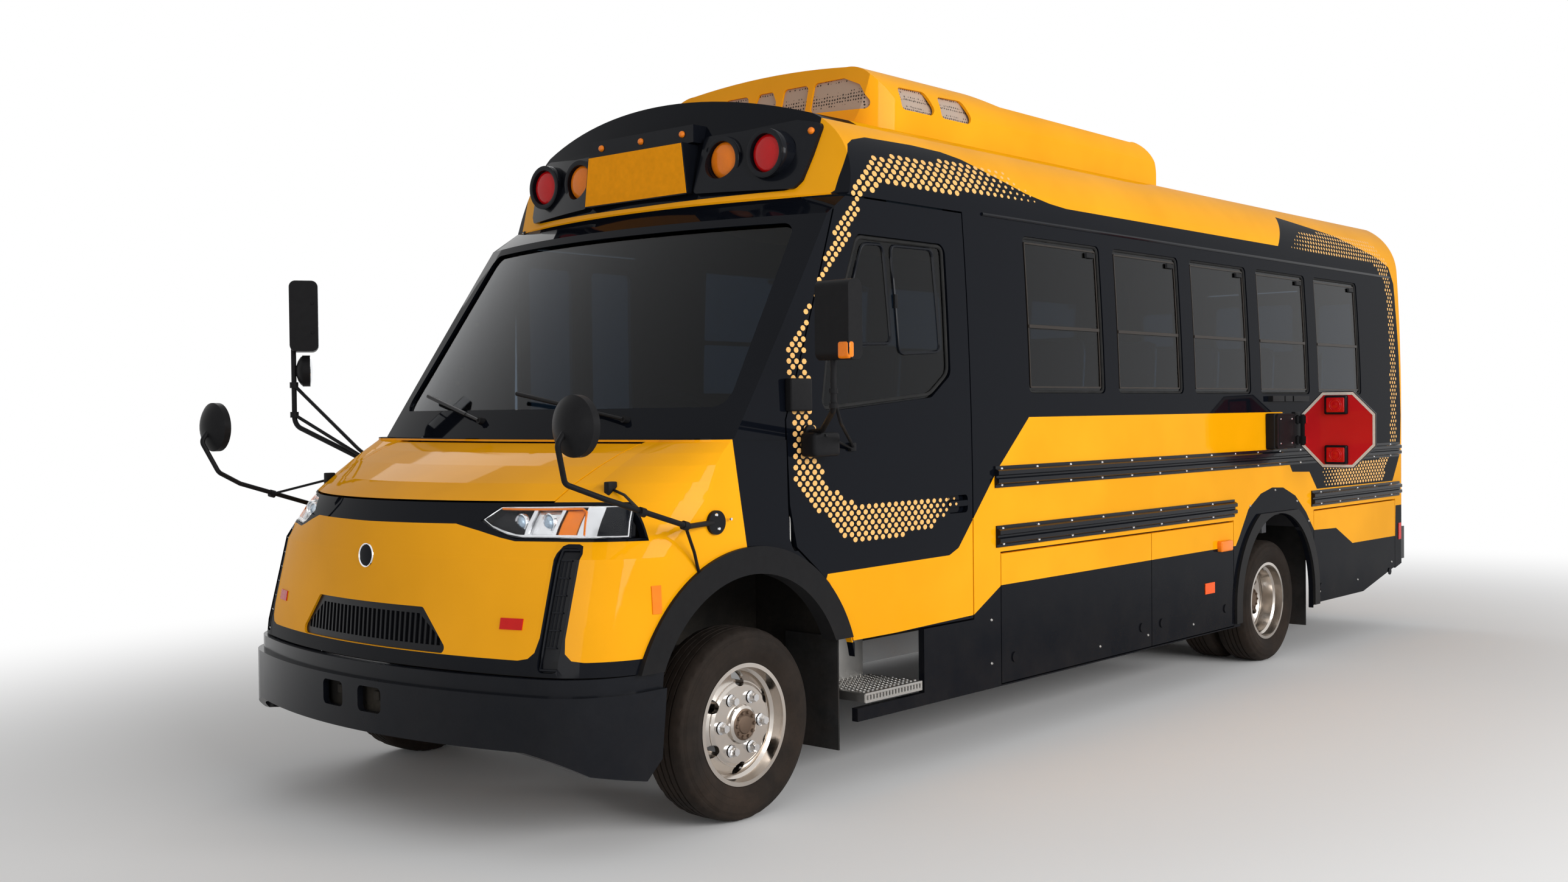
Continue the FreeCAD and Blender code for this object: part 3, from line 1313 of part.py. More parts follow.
def firewall():
    """Upright panel ahead of the cab floor, with the wheelhouse boxes at its ends."""
    t = 15.0
    pieces = [box(-590, 590, fy(135), fy(150), CAB_FLOOR_Z - 40, 1440)]
    for sign in (1, -1):
        x0, x1 = sign * 590, sign * 1045
        pieces.append(box(x0, x0 + sign * t, fy(-450), fy(600), 620, 1100))
        pieces.append(box(x0, x1, fy(-450), fy(600), 1085, 1100))
        pieces.append(box(x0, x1, fy(585), fy(600), 560, 1100))
        pieces.append(box(x0, x1, fy(135), fy(150), 1085, 1440))
    return fuse(pieces)


# Cab inside
def dashboard():
    profile = [(fy(150), 1100), (fy(150), 1440), (fy(10), 1440), (fy(10), 1540), (fy(60), 1556), (fy(260), 1470),
               (fy(290), 1400), (fy(210), 1300), (fy(190), 1100)]
    centre = steering_centre()
    axis = steering_axis()
    column = cylinder(centre - axis * 260.0, centre - axis * 30.0, 28.0)
    return fuse([plate_x(profile, -985, 985), column])


STEERING_X = 480.0
STEERING_CENTRE = (330.0, 1530.0)
STEERING_TILT = 35.0


def steering_axis():
    angle = math.radians(STEERING_TILT)
    return V(0, math.sin(angle), math.cos(angle))


def steering_centre():
    return V(STEERING_X, fy(STEERING_CENTRE[0]), STEERING_CENTRE[1])


def steering_wheel():
    centre = steering_centre()
    axis = steering_axis()
    rim = Part.makeTorus(215.0, 15.0, centre, axis)
    hub = cylinder(centre - axis * 29.7, centre + axis * 12.0, 45.0)
    side = V(1, 0, 0)
    down = axis.cross(side)
    spokes = []
    for direction in (side, side * -1, down):
        spokes.append(cylinder(centre + direction * 30.0, centre + direction * 210.0, 9.0))
    return fuse([rim, hub] + spokes)


def seat(x0, x1, y, z, back_height, depth=400.0):
    """Cushion and back on a plain frame, facing forward."""
    cushion = box(x0, x1, y, y + depth, z + 320, z + 420)
    back = plate_x([(y + depth - 40, z + 320), (y + depth + 50, z + 320), (y + depth + 110, z + 420 + back_height),
                    (y + depth + 40, z + 420 + back_height)], x0, x1)
    legs = [box(x - 15, x + 15, y + 60, y + depth - 20, z, z + 330) for x in (x0 + 60, x1 - 60)]
    return fuse([cushion, back] + legs)


SEAT_ROWS = 5
SEAT_PITCH = 760.0
SEAT_FIRST_Y = fy(2180)
SEAT_WIDTH = 880.0


def passenger_seats():
    seats = []
    outer = INNER_HALF - 45.0
    for row in range(SEAT_ROWS):
        y = SEAT_FIRST_Y + row * SEAT_PITCH
        seats.append(seat(outer - SEAT_WIDTH, outer, y, FLOOR_TOP_Z, 560.0))
        seats.append(seat(-outer, -outer + SEAT_WIDTH, y, FLOOR_TOP_Z, 560.0))
    return seats


def driver_seat():
    base = box(STEERING_X - 180, STEERING_X + 180, fy(660), fy(1020), CAB_FLOOR_Z, CAB_FLOOR_Z + 260)
    return fuse([base, seat(STEERING_X - 250, STEERING_X + 250, fy(620), CAB_FLOOR_Z + 60, 620.0, 440.0)])


# Roof fairing
FAIRING_FRONT = 1390.0
FAIRING_REAR = 3990.0
FAIRING_HALF = 715.0
FAIRING_TOP_HALF = 560.0
FAIRING_SKIN = 10.0


def fairing_form(inset):
    half, top = FAIRING_HALF - inset, FAIRING_TOP_HALF - inset
    section = closed_wire([
        V(-half, fy(1000), 2700), V(half, fy(1000), 2700), V(half, fy(1000), 2925),
        (V(half - 45, fy(1000), 3100 - inset), V(top - 60, fy(1000), 3180 - inset)),
        (V(0, fy(1000), 3207 - inset), V(-top + 60, fy(1000), 3180 - inset)),
        (V(-half + 45, fy(1000), 3100 - inset), V(-half, fy(1000), 2925)),
    ])
    body = extrude(section, V(0, 3200, 0))
    side = closed_wire([
        V(-1000, fy(FAIRING_FRONT - 60) + inset, 2700),
        V(-1000, fy(FAIRING_FRONT - 60) + inset, 2900),
        V(-1000, fy(FAIRING_FRONT) + inset, 3300),
        V(-1000, fy(2050), 3300),
        V(-1000, fy(2050), 3207 - inset),
        (V(-1000, fy(2230), 3160 - inset), V(-1000, fy(2430), 3118 - inset)),
        V(-1000, fy(3760), 3100 - inset),
        (V(-1000, fy(3930) - inset, 3060 - inset), V(-1000, fy(FAIRING_REAR) - inset, 2940)),
        V(-1000, fy(FAIRING_REAR) - inset, 2700),
    ])
    side_prism = extrude(side, V(2000, 0, 0))
    r = 170.0
    front = fy(FAIRING_FRONT - 60) + inset
    plan = closed_wire([
        V(-half, fy(FAIRING_REAR + 50), 2700), V(-half, front + r, 2700),
        (V(-half + r * 0.2929, front + r * 0.2929, 2700), V(-half + r, front, 2700)),
        (V(0, front - 25, 2700), V(half - r, front, 2700)),
        (V(half - r * 0.2929, front + r * 0.2929, 2700), V(half, front + r, 2700)),
        V(half, fy(FAIRING_REAR + 50), 2700),
    ])
    return body.common(side_prism).common(extrude(plan, V(0, 0, 700)))


# Openings of the fairing, on the +X half: an end one, a middle one and half of the one on the centre line
FAIRING_END = [(292, 2985), (310, 3128), (490, 3128), (590, 3085), (648, 3000), (640, 2965)]
FAIRING_MIDDLE = [(98, 2990), (118, 3126), (276, 3126), (262, 2986)]
FAIRING_CENTRE = [(-70, 2990), (70, 2990), (70, 3075), (45, 3126), (-45, 3126), (-70, 3075)]
FAIRING_SIDES = [(1512, 1795), (1830, 2105)]


def roof_fairing():
    shell = fairing_form(0).cut(fairing_form(FAIRING_SKIN)).cut(OUTER)
    front = (fy(1200), fy(1560))
    tools = [plate_y(FAIRING_CENTRE, *front, 20.0)]
    for sign in (1, -1):
        tools.append(plate_y([(sign * x, z) for x, z in FAIRING_END], *front, 25.0))
        tools.append(plate_y([(sign * x, z) for x, z in FAIRING_MIDDLE], *front, 25.0))
        for y0, y1 in FAIRING_SIDES:
            tools.append(plate_x([(fy(y0), 2975), (fy(y1), 2975), (fy(y1 - 60), 3090), (fy(y0), 3082)],
                                 sign * 500, sign * 800, 32.0))
    return shell.cut(tools)


def fairing_mesh():
    """Perforated sheet behind the front openings."""
    sheet = fairing_form(FAIRING_SKIN + SEAT_GAP).cut(fairing_form(FAIRING_SKIN + 3.0))
    area = plate_y([(-690, 2945), (-285, 2975), (285, 2975), (690, 2945), (690, 3155), (-690, 3155)],
                   fy(1200), fy(1560))
    return [sheet.common(area)]


# Warning lamps over the windscreen
HOOD_LAMPS = [(716.0, 571.0, 2657.0), (463.0, 575.0, 2655.0)]
LAMP_RADIUS = 82.0
BUCKET_RADIUS = 104.0
BUCKET_DEPTH = 60.0
LENS_THICKNESS = 14.0


def lamp_seat(x, y, z, radius, front, back):
    """Cylinder on a lamp's own line, from its front plane to its back."""
    return cylinder(V(x, fy(y) + front, z), V(x, fy(y) + back, z), radius)


def lamp_places():
    return [(sign * x, y, z) for x, y, z in HOOD_LAMPS for sign in (1, -1)]


POD_OUTLINE = [(345, 2515), (838, 2497), (868, 2530), (892, 2636), (915, 2776), (800, 2800), (545, 2775), (350, 2770)]
POD_PROUD = 16.0


def lamp_panel():
    """A moulded pod for each pair of lamps, the blank sign board and the marker strip."""
    pieces = []
    skin = body_envelope(-POD_PROUD).cut(OUTER)
    for sign in (1, -1):
        outline = plate_y([(sign * x, z) for x, z in POD_OUTLINE], fy(300), fy(790), 25.0)
        rings = []
        bores = []
        for x, y, z in HOOD_LAMPS:
            rings.append(lamp_seat(sign * x, y, z, BUCKET_RADIUS, -24.0, BUCKET_DEPTH))
            bores.append(lamp_seat(sign * x, y, z, LAMP_RADIUS + SEAT_GAP, -70.0, LENS_THICKNESS))
        pieces.append(fuse([skin.common(outline)] + rings).cut(bores))
    board = plate_y([(-335, 2515), (335, 2515), (305, 2745), (-305, 2745)], fy(470), fy(640), 12.0)
    strip = box(-330, 330, fy(515), fy(640), 2745, 2822)
    return pieces + [fuse([board, strip]).cut(OUTER)]


def front_roof_lamps():
    return [lamp_seat(x, y, z, LAMP_RADIUS, 0.0, LENS_THICKNESS) for x, y, z in lamp_places()]


# Stop arm
STOP_HINGE_X = HALF_WIDTH + 58.0
STOP_HINGE_Y = fy(4900)
STOP_Z = 1420.0
STOP_SIZE = 460.0
STOP_PIN_RADIUS = 7.0


def octagon(centre_x, centre_z, across):
    radius = across / 2 / math.cos(math.radians(22.5))
    return [(centre_x + radius * math.cos(math.radians(22.5 + 45 * i)),
             centre_z + radius * math.sin(math.radians(22.5 + 45 * i))) for i in range(8)]


def stop_arm():
    x, y = STOP_HINGE_X, STOP_HINGE_Y
    blade = plate_y(octagon(x + 252.0, STOP_Z, STOP_SIZE), y - 4, y + 4)
    lamps = []
    for dz in (150.0, -150.0):
        lamps.append(box(x + 180, x + 310, y - 24, y + 24, STOP_Z + dz - 52, STOP_Z + dz + 52))
    arms = [box(x - 8, x + 60, y - 10, y + 10, STOP_Z + dz - 22, STOP_Z + dz + 22) for dz in (62.0, -62.0)]
    barrels = [cylinder(V(x, y, STOP_Z + dz - 22), V(x, y, STOP_Z + dz + 22), 16.0) for dz in (62.0, -62.0)]
    bore = cylinder(V(x, y, STOP_Z - 200), V(x, y, STOP_Z + 200), STOP_PIN_RADIUS + SEAT_GAP)
    return fuse([blade] + lamps + arms + barrels).cut(bore)


def stop_arm_base():
    x, y = STOP_HINGE_X, STOP_HINGE_Y
    skin = HALF_WIDTH - 22.0
    case = plate_x([(y - 320, STOP_Z - 110), (y - 60, STOP_Z - 110), (y - 60, STOP_Z + 100), (y - 320, STOP_Z + 100)],
                   skin, HALF_WIDTH + 70.0, 25.0)
    pin = cylinder(V(x, y, STOP_Z - 110), V(x, y, STOP_Z + 110), STOP_PIN_RADIUS)
    ears = [box(x - 12, x + 12, y - 61, y + 10, STOP_Z + a, STOP_Z + b)
            for a, b in ((-110, -90), (-34, 34), (90, 110))]
    base = fuse([case, pin] + ears)
    pads = [box(skin, HALF_WIDTH + 24, y + a, y + b, STOP_Z + 175, STOP_Z + 208) for a, b in ((-275, -110), (-95, 10), (30, 260))]
    return [base.cut(OUTER).cut(rail_space())] + [pad.cut(OUTER) for pad in pads]


def rail_space():
    z0, z1, y0, y1 = RAILS[0]
    return box(0, HALF_WIDTH + RAIL_PROUD + SEAT_GAP, y0, y1, z0 - SEAT_GAP, z1 + SEAT_GAP)


# Mirrors
def crossview_mirrors():
    centre = V(1174.0, fy(-914), 1524.0)
    bowl = Part.makeSphere(165.0, centre + V(0, 110.0, 0)).common(
        cylinder(centre - V(0, 80, 0), centre + V(0, 12, 0), 105.0))
    arm = tube([centre + V(-10, -30, 0), centre + V(-12, -75, -60), V(1130, fy(-930), 1330), V(1185, fy(-800), 1275),
                V(1200, fy(-420), 1160), V(1118, fy(-200), 1158)], 10.0, 30.0)
    plate = cylinder(V(HALF_WIDTH - 5, fy(-200), 1158), V(HALF_WIDTH + 14, fy(-200), 1158), 45.0)
    mirror = fuse([bowl, arm, plate]).cut(nose_envelope(0))
    return both_sides(mirror)


def left_mirror():
    """Main mirror on its bracket from the driver's door."""
    x, y, z = 1491.0, fy(80), 1900.0
    head = plate_x([(y - 40, z - 147), (y + 40, z - 147), (y + 40, z + 147), (y - 40, z + 147)], x - 80, x + 80, 30.0)
    post = tube([V(x - 26, y, z - 130), V(x - 26, y, z - 330), V(1200, fy(330), 1490), V(1105, fy(345), 1480)], 11.0, 40.0)
    foot = cylinder(V(1100, fy(345), 1480), V(1130, fy(345), 1480), 32.0)
    return fuse([head, post, foot]).cut(OUTER)


def right_mirror():
    """Main mirror and a round wide-view mirror, both turned toward the driver, on a bent post."""
    x, y, z = -1568.0, fy(-237), 2045.0
    head = plate_x([(y - 66, z - 168), (y + 66, z - 168), (y + 66, z + 168), (y - 66, z + 168)], x - 84, x + 84, 30.0)
    low = cylinder(V(x, y - 10, z - 260), V(x, y + 26, z - 260), 75.0)
    stem = cylinder(V(x, y - 60, z - 260), V(x, y, z - 260), 8.0)
    turned_pieces = []
    for piece in (head, low, stem):
        piece.rotate(V(x, y, z), V(0, 0, 1), -32.0)
        turned_pieces.append(piece)
    post_x, post_y = x - 20.0, y - 46.0
    post = tube([V(post_x, post_y, z - 150), V(post_x, post_y, z - 520), V(-1108, fy(-150), 1330)], 12.0, 60.0)
    foot = cylinder(V(-1100, fy(-150), 1330), V(-1134, fy(-150), 1330), 34.0)
    return fuse(turned_pieces + [post, foot]).cut(nose_envelope(0))


def driver_step():
    tread = box(HALF_WIDTH - 260, HALF_WIDTH + 32, fy(640), fy(1040), 368, 402)
    bracket = box(HALF_WIDTH - 260, HALF_WIDTH - 245, fy(700), fy(980), 368, CAB_FLOOR_Z - 40)
    return fuse([tread, bracket])


def front_surface(x, z):
    """Point on the outside of the cab front."""
    for (z0, y0), (z1, y1) in zip(FRONT_PROFILE, FRONT_PROFILE[1:]):
        if z0 <= z <= z1:
            centre = y0 + (y1 - y0) * (z - z0) / (z1 - z0)
    radius = (FRONT_SAG_HALF ** 2 + FRONT_SAG ** 2) / (2 * FRONT_SAG)
    return V(x, fy(centre) + radius - math.sqrt(radius ** 2 - x ** 2), z)


WIPERS = [(-180.0, -700.0), (640.0, 60.0)]


def wipers():
    """Pivot, arm and blade of each wiper, parked along the foot of the screen."""
    sets = []
    for pivot_x, tip_x in WIPERS:
        pivot = front_surface(pivot_x, 1535)
        tip = front_surface(tip_x, 1640) + V(0, -22, 0)
        knee = pivot + V(0, -24, 8)
        boss = cylinder(pivot + V(0, 16, 0), knee, 14.0)
        arm = cylinder(knee, tip, 7.0)
        heel = tip + (knee - tip) * 0.75
        blade = cylinder(tip + (tip - knee) * 0.12, heel, 9.0)
        sets.append(fuse([boss, arm, blade]).cut(OUTER))
    return sets


PARTS = {}


def keep(name, shapes):
    """Hold one node: a single solid, or several that do not touch."""
    if isinstance(shapes, list):
        shapes = Part.makeCompound(shapes) if len(shapes) > 1 else shapes[0]
    PARTS[name] = shapes


keep("chassis_frame", chassis_frame())
keep("leaf_springs", [leaf_spring(sign, fy(0), BEAM_TOP_Z) for sign in (1, -1)]
     + [leaf_spring(sign, ry(0), AXLE_Z + AXLE_TUBE_RADIUS) for sign in (1, -1)])
keep("front_axle", front_axle())
keep("rear_axle", rear_axle())
keep("battery_pack", battery_pack())
keep("floor", floor())
keep("firewall", firewall())
keep("roof", roof())
keep("left_side_wall", side_wall(1))
keep("right_side_wall", side_wall(-1))
keep("front_cap", front_cap())
keep("body_glass", [windscreen()] + side_glass() + rear_glass())
keep("window_frames", window_frames())
keep("nose", nose())
keep("hood", hood())
keep("headlamps", headlamps())
keep("grilles", [lower_grille()] + corner_louvres() + fairing_mesh())
keep("front_bumper", front_bumper())
keep("arch_lips", arch_lips() + rear_arch_lips())
keep("rub_rails", rub_rails())
keep("rear_wall", rear_wall())
keep("rear_bumper", rear_bumper())
keep("rear_door", rear_door())
keep("rear_door_glass", rear_door_glass())
keep("driver_door", driver_door())
keep("driver_door_glass", driver_door_glass())
keep("left_mirror", left_mirror())
keep("entry_door_front", entry_leaf("front"))
keep("entry_door_rear", entry_leaf("rear"))
keep("entry_glass_front", entry_glass("front"))
keep("entry_glass_rear", entry_glass("rear"))
keep("hinge_pins", [door_pin(0.0), lower_door_pin(0.0)] + entry_pins() + skirt_hinge_rods()
     + rear_hinges() + hood_posts())
for side, sign, places in SKIRT_DOOR_SIDES:
    for where in places:
        keep("skirt_door_" + side + "_" + where, skirt_door(where, sign))
keep("mudflaps", mudflaps())
keep("driver_step", driver_step())
keep("dashboard", dashboard())
keep("steering_wheel", steering_wheel())
keep("seats", [driver_seat()] + passenger_seats())
keep("roof_fairing", roof_fairing())
keep("lamp_panel", lamp_panel())
keep("warning_lamps", front_roof_lamps() + rear_lamps())
keep("body_mirrors", crossview_mirrors() + [right_mirror()])
keep("stop_arm", stop_arm())
keep("stop_arm_base", stop_arm_base())
keep("wipers", wipers())
for side, sign in (("left", 1), ("right", -1)):
    keep("knuckle_" + side, knuckle(sign))
    keep("tyre_front_" + side, tyre(sign * FRONT_WHEEL_X, fy(0)))
    keep("wheel_front_" + side, front_wheel(sign))
    keep("tyres_rear_" + side, [tyre(sign * x, ry(0)) for x in (REAR_OUTER_X, REAR_OUTER_X - DUAL_SPACING)])
    keep("wheel_rear_" + side, rear_wheel(sign))

os.makedirs("parts", exist_ok=True)
for name, shape in PARTS.items():
    shape.exportStep("parts/" + name + ".step")
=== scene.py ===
"""Looks of a short school bus: paint scheme, glass, lamps, trim, wheels and seats over the fixed frame."""
import math

import bmesh
import bpy
from mathutils import Matrix, Vector
from mathutils.bvhtree import BVHTree


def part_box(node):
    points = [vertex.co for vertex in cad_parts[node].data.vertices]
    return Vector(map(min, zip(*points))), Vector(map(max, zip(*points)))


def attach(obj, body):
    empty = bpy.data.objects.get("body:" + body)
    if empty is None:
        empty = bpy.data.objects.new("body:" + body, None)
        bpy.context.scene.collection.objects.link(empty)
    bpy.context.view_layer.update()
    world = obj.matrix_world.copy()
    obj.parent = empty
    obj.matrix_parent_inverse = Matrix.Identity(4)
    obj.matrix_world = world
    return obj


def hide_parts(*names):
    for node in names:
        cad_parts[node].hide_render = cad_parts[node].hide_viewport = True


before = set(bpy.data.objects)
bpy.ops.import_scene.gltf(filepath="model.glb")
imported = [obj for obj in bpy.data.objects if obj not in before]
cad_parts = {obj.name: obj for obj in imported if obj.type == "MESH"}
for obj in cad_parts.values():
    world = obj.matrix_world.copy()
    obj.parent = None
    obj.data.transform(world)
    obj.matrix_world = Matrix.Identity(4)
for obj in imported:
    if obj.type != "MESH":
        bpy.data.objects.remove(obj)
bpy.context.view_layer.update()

# Places along the body are given from the front axle, in metres
FRONT_AXLE = -2.955
REAR_AXLE = 1.845
WHEEL_HEIGHT = 0.370
SIDES = ((1, "left"), (-1, "right"))

# Colours as they are under plain light
SCHOOL_YELLOW = (0.95, 0.40, 0.002)
GLOSS_BLACK = (0.004, 0.005, 0.008)
TRIM_BLACK = (0.010, 0.010, 0.011)
VINYL_YELLOW = (0.88, 0.50, 0.17)
LAMP_RED = (0.55, 0.004, 0.006)
LAMP_AMBER = (0.90, 0.22, 0.008)
WHITE = (1.0, 1.0, 1.0)


# Node building
class Tree:
    """Short hand for one node tree."""

    def __init__(self, tree):
        self.tree = tree

    def add(self, kind, inputs=None, **settings):
        made = self.tree.nodes.new(kind)
        for name, value in settings.items():
            setattr(made, name, value)
        for key, value in (inputs or {}).items():
            self.put(made.inputs[key], value)
        return made

    def put(self, socket, value):
        if isinstance(value, bpy.types.NodeSocket):
            self.tree.links.new(value, socket)
        elif value is not None:
            socket.default_value = value

    def calc(self, operation, *values, clamp=False):
        made = self.add("ShaderNodeMath", operation=operation, use_clamp=clamp)
        for socket, value in zip(made.inputs, values):
            self.put(socket, value)
        return made.outputs[0]

    def chain(self, operation, values):
        total = values[0]
        for value in values[1:]:
            total = self.calc(operation, total, value)
        return total

    def times(self, *values):
        return self.chain("MULTIPLY", values)

    def plus(self, *values):
        return self.chain("ADD", values)

    def either(self, *masks):
        return self.chain("MAXIMUM", masks)

    def above(self, value, edge):
        return self.calc("GREATER_THAN", value, edge)

    def below(self, value, edge):
        return self.calc("LESS_THAN", value, edge)

    def stretch(self, vector, factors):
        return self.add("ShaderNodeVectorMath", {0: vector, 1: factors}, operation="MULTIPLY").outputs[0]

    def remap(self, value, low, high, to_low=0.0, to_high=1.0, smooth=False):
        spans = {"Value": value, "From Min": low, "From Max": high, "To Min": to_low, "To Max": to_high}
        kind = "SMOOTHSTEP" if smooth else "LINEAR"
        return self.add("ShaderNodeMapRange", spans, interpolation_type=kind).outputs[0]

    def blend(self, factor, first, second):
        made = self.add("ShaderNodeMix", {0: factor}, data_type="RGBA")
        for socket, value in ((made.inputs[6], first), (made.inputs[7], second)):
            self.put(socket, (*value, 1.0) if isinstance(value, tuple) else value)
        return made.outputs[2]

    def noise(self, vector, scale, detail, roughness, distortion=0.0):
        settings = {"Vector": vector, "Scale": scale, "Detail": detail, "Roughness": roughness}
        return self.add("ShaderNodeTexNoise", {**settings, "Distortion": distortion}).outputs[0]

    def polyline(self, value, points):
        """Height of a line of straight runs, read at value."""
        runs = zip(points, points[1:])
        steps = [self.remap(value, x0, x1, 0.0, h1 - h0) for (x0, h0), (x1, h1) in runs]
        return self.plus(*steps, points[0][1])

    def place(self):
        return self.add("ShaderNodeTexCoord").outputs["Object"]

    def part(self, vector, axis):
        return self.add("ShaderNodeSeparateXYZ", {"Vector": vector}).outputs[axis]

    def side(self, place):
        """Distance from the middle."""
        return self.calc("ABSOLUTE", self.part(place, "X"))

    def along(self, place):
        """Distance behind the front axle."""
        return self.calc("SUBTRACT", self.part(place, "Y"), FRONT_AXLE)

    def group(self, tree, place, **numbers):
        """Outputs of a node group laid over a place."""
        return self.add("ShaderNodeGroup", {"Place": place, **numbers}, node_tree=tree).outputs

    def stored(self, name, kind="FLOAT_VECTOR"):
        return self.add("GeometryNodeInputNamedAttribute", {"Name": name}, data_type=kind).outputs[0]

    def facing(self):
        """Rotation that turns up to a point's stored way."""
        way = self.stored("way")
        return self.add("FunctionNodeAlignRotationToVector", {"Vector": way}, axis="Z").outputs[0]

    def facing_and(self, axis, vector):
        """The same, turned about the way until an axis lies along a vector."""
        turns = {"Rotation": self.facing(), "Vector": vector}
        return self.add("FunctionNodeAlignRotationToVector", turns, axis=axis, pivot_axis="Z").outputs[0]


def node_group(name, build, outputs, **numbers):
    """A shader node group over a place and some numbers; build gives its outputs in order."""
    tree = bpy.data.node_groups.new(name, "ShaderNodeTree")
    make = tree.interface.new_socket
    make("Place", in_out="INPUT", socket_type="NodeSocketVector")
    for label, value in numbers.items():
        make(label, in_out="INPUT", socket_type="NodeSocketFloat").default_value = value
    for label in outputs:
        make(label, in_out="OUTPUT", socket_type="NodeSocketFloat")
    wrap = Tree(tree)
    entry = wrap.add("NodeGroupInput").outputs
    leave = wrap.add("NodeGroupOutput").inputs
    made = build(wrap, *(entry[label] for label in ("Place", *numbers)))
    for label, socket in zip(outputs, made):
        wrap.put(leave[label], socket)
    return tree


# Effects shared by several finishes
def build_grain(wrap, place, scale):
    fine = wrap.noise(place, scale, 2.0, 0.6)
    broad = wrap.noise(place, wrap.times(scale, 0.08), 2.0, 0.5)
    return wrap.plus(fine, wrap.times(broad, 0.6)), wrap.plus(wrap.times(broad, 0.5), wrap.times(fine, 0.5))


def build_dust(wrap, place, amount):
    """Road dust, thick low down and thin above the wheels."""
    low = wrap.remap(wrap.part(place, "Z"), 0.15, 1.1, 1.0, 0.0, smooth=True)
    patchy = wrap.remap(wrap.noise(place, 3.5, 5.0, 0.65), 0.35, 0.75)
    spots = wrap.remap(wrap.noise(place, 90.0, 2.0, 0.6), 0.3, 0.7, 0.6, 1.0)
    return (wrap.calc("MULTIPLY", wrap.times(low, patchy, spots), amount, clamp=True),)


def build_lacquer(wrap, place):
    """Orange peel of sprayed lacquer, and its faint haze."""
    peel = wrap.noise(place, 55.0, 1.0, 0.4)
    wave = wrap.noise(place, 2.2, 2.0, 0.5)
    haze = wrap.noise(place, 9.0, 4.0, 0.6)
    return wrap.plus(wrap.times(peel, 0.05), wrap.times(wave, 0.8)), wrap.remap(haze, 0.4, 0.7)


GRAIN = node_group("moulded_grain", build_grain, ("Height", "Shade"), Scale=400.0)
DUST = node_group("road_dust", build_dust, ("Dust",), Amount=0.3)
LACQUER = node_group("sprayed_lacquer", build_lacquer, ("Height", "Haze"))

# Borders of the paint scheme on the sides: distance behind the front axle, height
DARK_FOOT = [
    (-0.10, 1.463), (-0.063, 1.26), (-0.023, 1.044), (0.02, 0.85), (0.40, 0.80), (0.452, 0.911),
    (1.295, 0.922), (1.366, 0.95), (1.688, 1.292), (1.961, 1.527), (4.824, 1.530), (4.915, 1.206),
    (4.956, 1.159), (5.215, 1.150), (5.332, 1.037), (6.643, 1.035), (6.773, 1.201), (6.796, 1.308),
    (6.815, 1.493), (6.83, 3.2),
]
DARK_HEAD = [
    (0.56, 2.458), (0.640, 2.463), (0.655, 2.480), (0.675, 2.538), (0.694, 2.590), (0.712, 2.641),
    (0.740, 2.682), (0.792, 2.709), (0.907, 2.735), (1.25, 2.744), (1.464, 2.738), (1.60, 2.718),
    (1.782, 2.665), (2.05, 2.598), (2.25, 2.568), (2.403, 2.556), (4.894, 2.553), (5.112, 2.760),
    (5.9, 2.700), (6.55, 2.590), (6.727, 2.535), (6.80, 2.420), (6.83, 1.60),
]
SKIRT_HEAD = [
    (0.40, 0.30), (0.56, 0.616), (1.481, 0.638), (1.706, 0.752), (3.90, 0.757), (4.158, 0.757),
    (4.20, 0.80), (4.33, 0.962), (4.50, 1.045), (4.66, 1.075), (4.82, 1.068), (5.00, 1.010), (5.16, 0.900),
    (5.285, 0.778), (5.639, 0.769), (5.916, 0.651), (6.693, 0.647), (6.70, 0.860),
]
SKIRT_START = -0.2
FENDER_FOOT = DARK_FOOT[:6]


def build_scheme(wrap, place):
    """Mask of the dark areas: window band, pillars and skirt, the same on both sides."""
    along, z = wrap.along(place), wrap.part(place, "Z")
    above_foot = wrap.above(z, wrap.polyline(along, DARK_FOOT))
    band = wrap.times(above_foot, wrap.below(z, wrap.polyline(along, DARK_HEAD)))
    skirt = wrap.times(wrap.below(z, wrap.polyline(along, SKIRT_HEAD)), wrap.above(along, SKIRT_START))
    return (wrap.either(band, skirt),)


SCHEME = node_group("paint_scheme", build_scheme, ("Dark",))

# Edge of the dark field round the front lamps: height, distance from the middle
LAMP_FIELD = [
    (2.486, 0.0), (2.494, 0.790), (2.502, 0.837), (2.523, 0.847), (2.652, 0.869), (2.767, 0.893),
    (3.0, 0.895),
]


def build_cap_scheme(wrap, place):
    """The sides' scheme with the dark field that holds the front lamps."""
    field = wrap.below(wrap.side(place), wrap.polyline(wrap.part(place, "Z"), LAMP_FIELD))
    return (wrap.either(wrap.group(SCHEME, place)["Dark"], field),)


CAP_SCHEME = node_group("cap_paint_scheme", build_cap_scheme, ("Dark",))

# The same on the nose: distance from the middle, height
BAND_FOOT = [(0.0, 1.165), (0.45, 1.168), (0.55, 1.145), (0.64, 1.122), (0.70, 1.110), (1.13, 1.110)]
LOUVRE_HEAD = [
    (0.861, 0.0), (0.866, 1.070), (0.878, 1.096), (0.892, 1.103), (0.930, 1.103), (0.944, 1.096),
    (0.954, 1.070), (0.958, 0.0),
]
NOSE_FOOT = [
    (0.0, 0.698), (0.79, 0.698), (0.83, 0.706), (0.853, 0.728), (0.866, 0.785), (0.954, 0.785),
    (0.962, 0.728), (0.985, 0.704), (1.02, 0.698),
]
BAND_TOP, RIM_TOP, BAND_REACH, RIM_START = 1.252, 1.246, 0.60, 0.55
RIM_BACK, FRONT_BACK = -0.505, -0.45


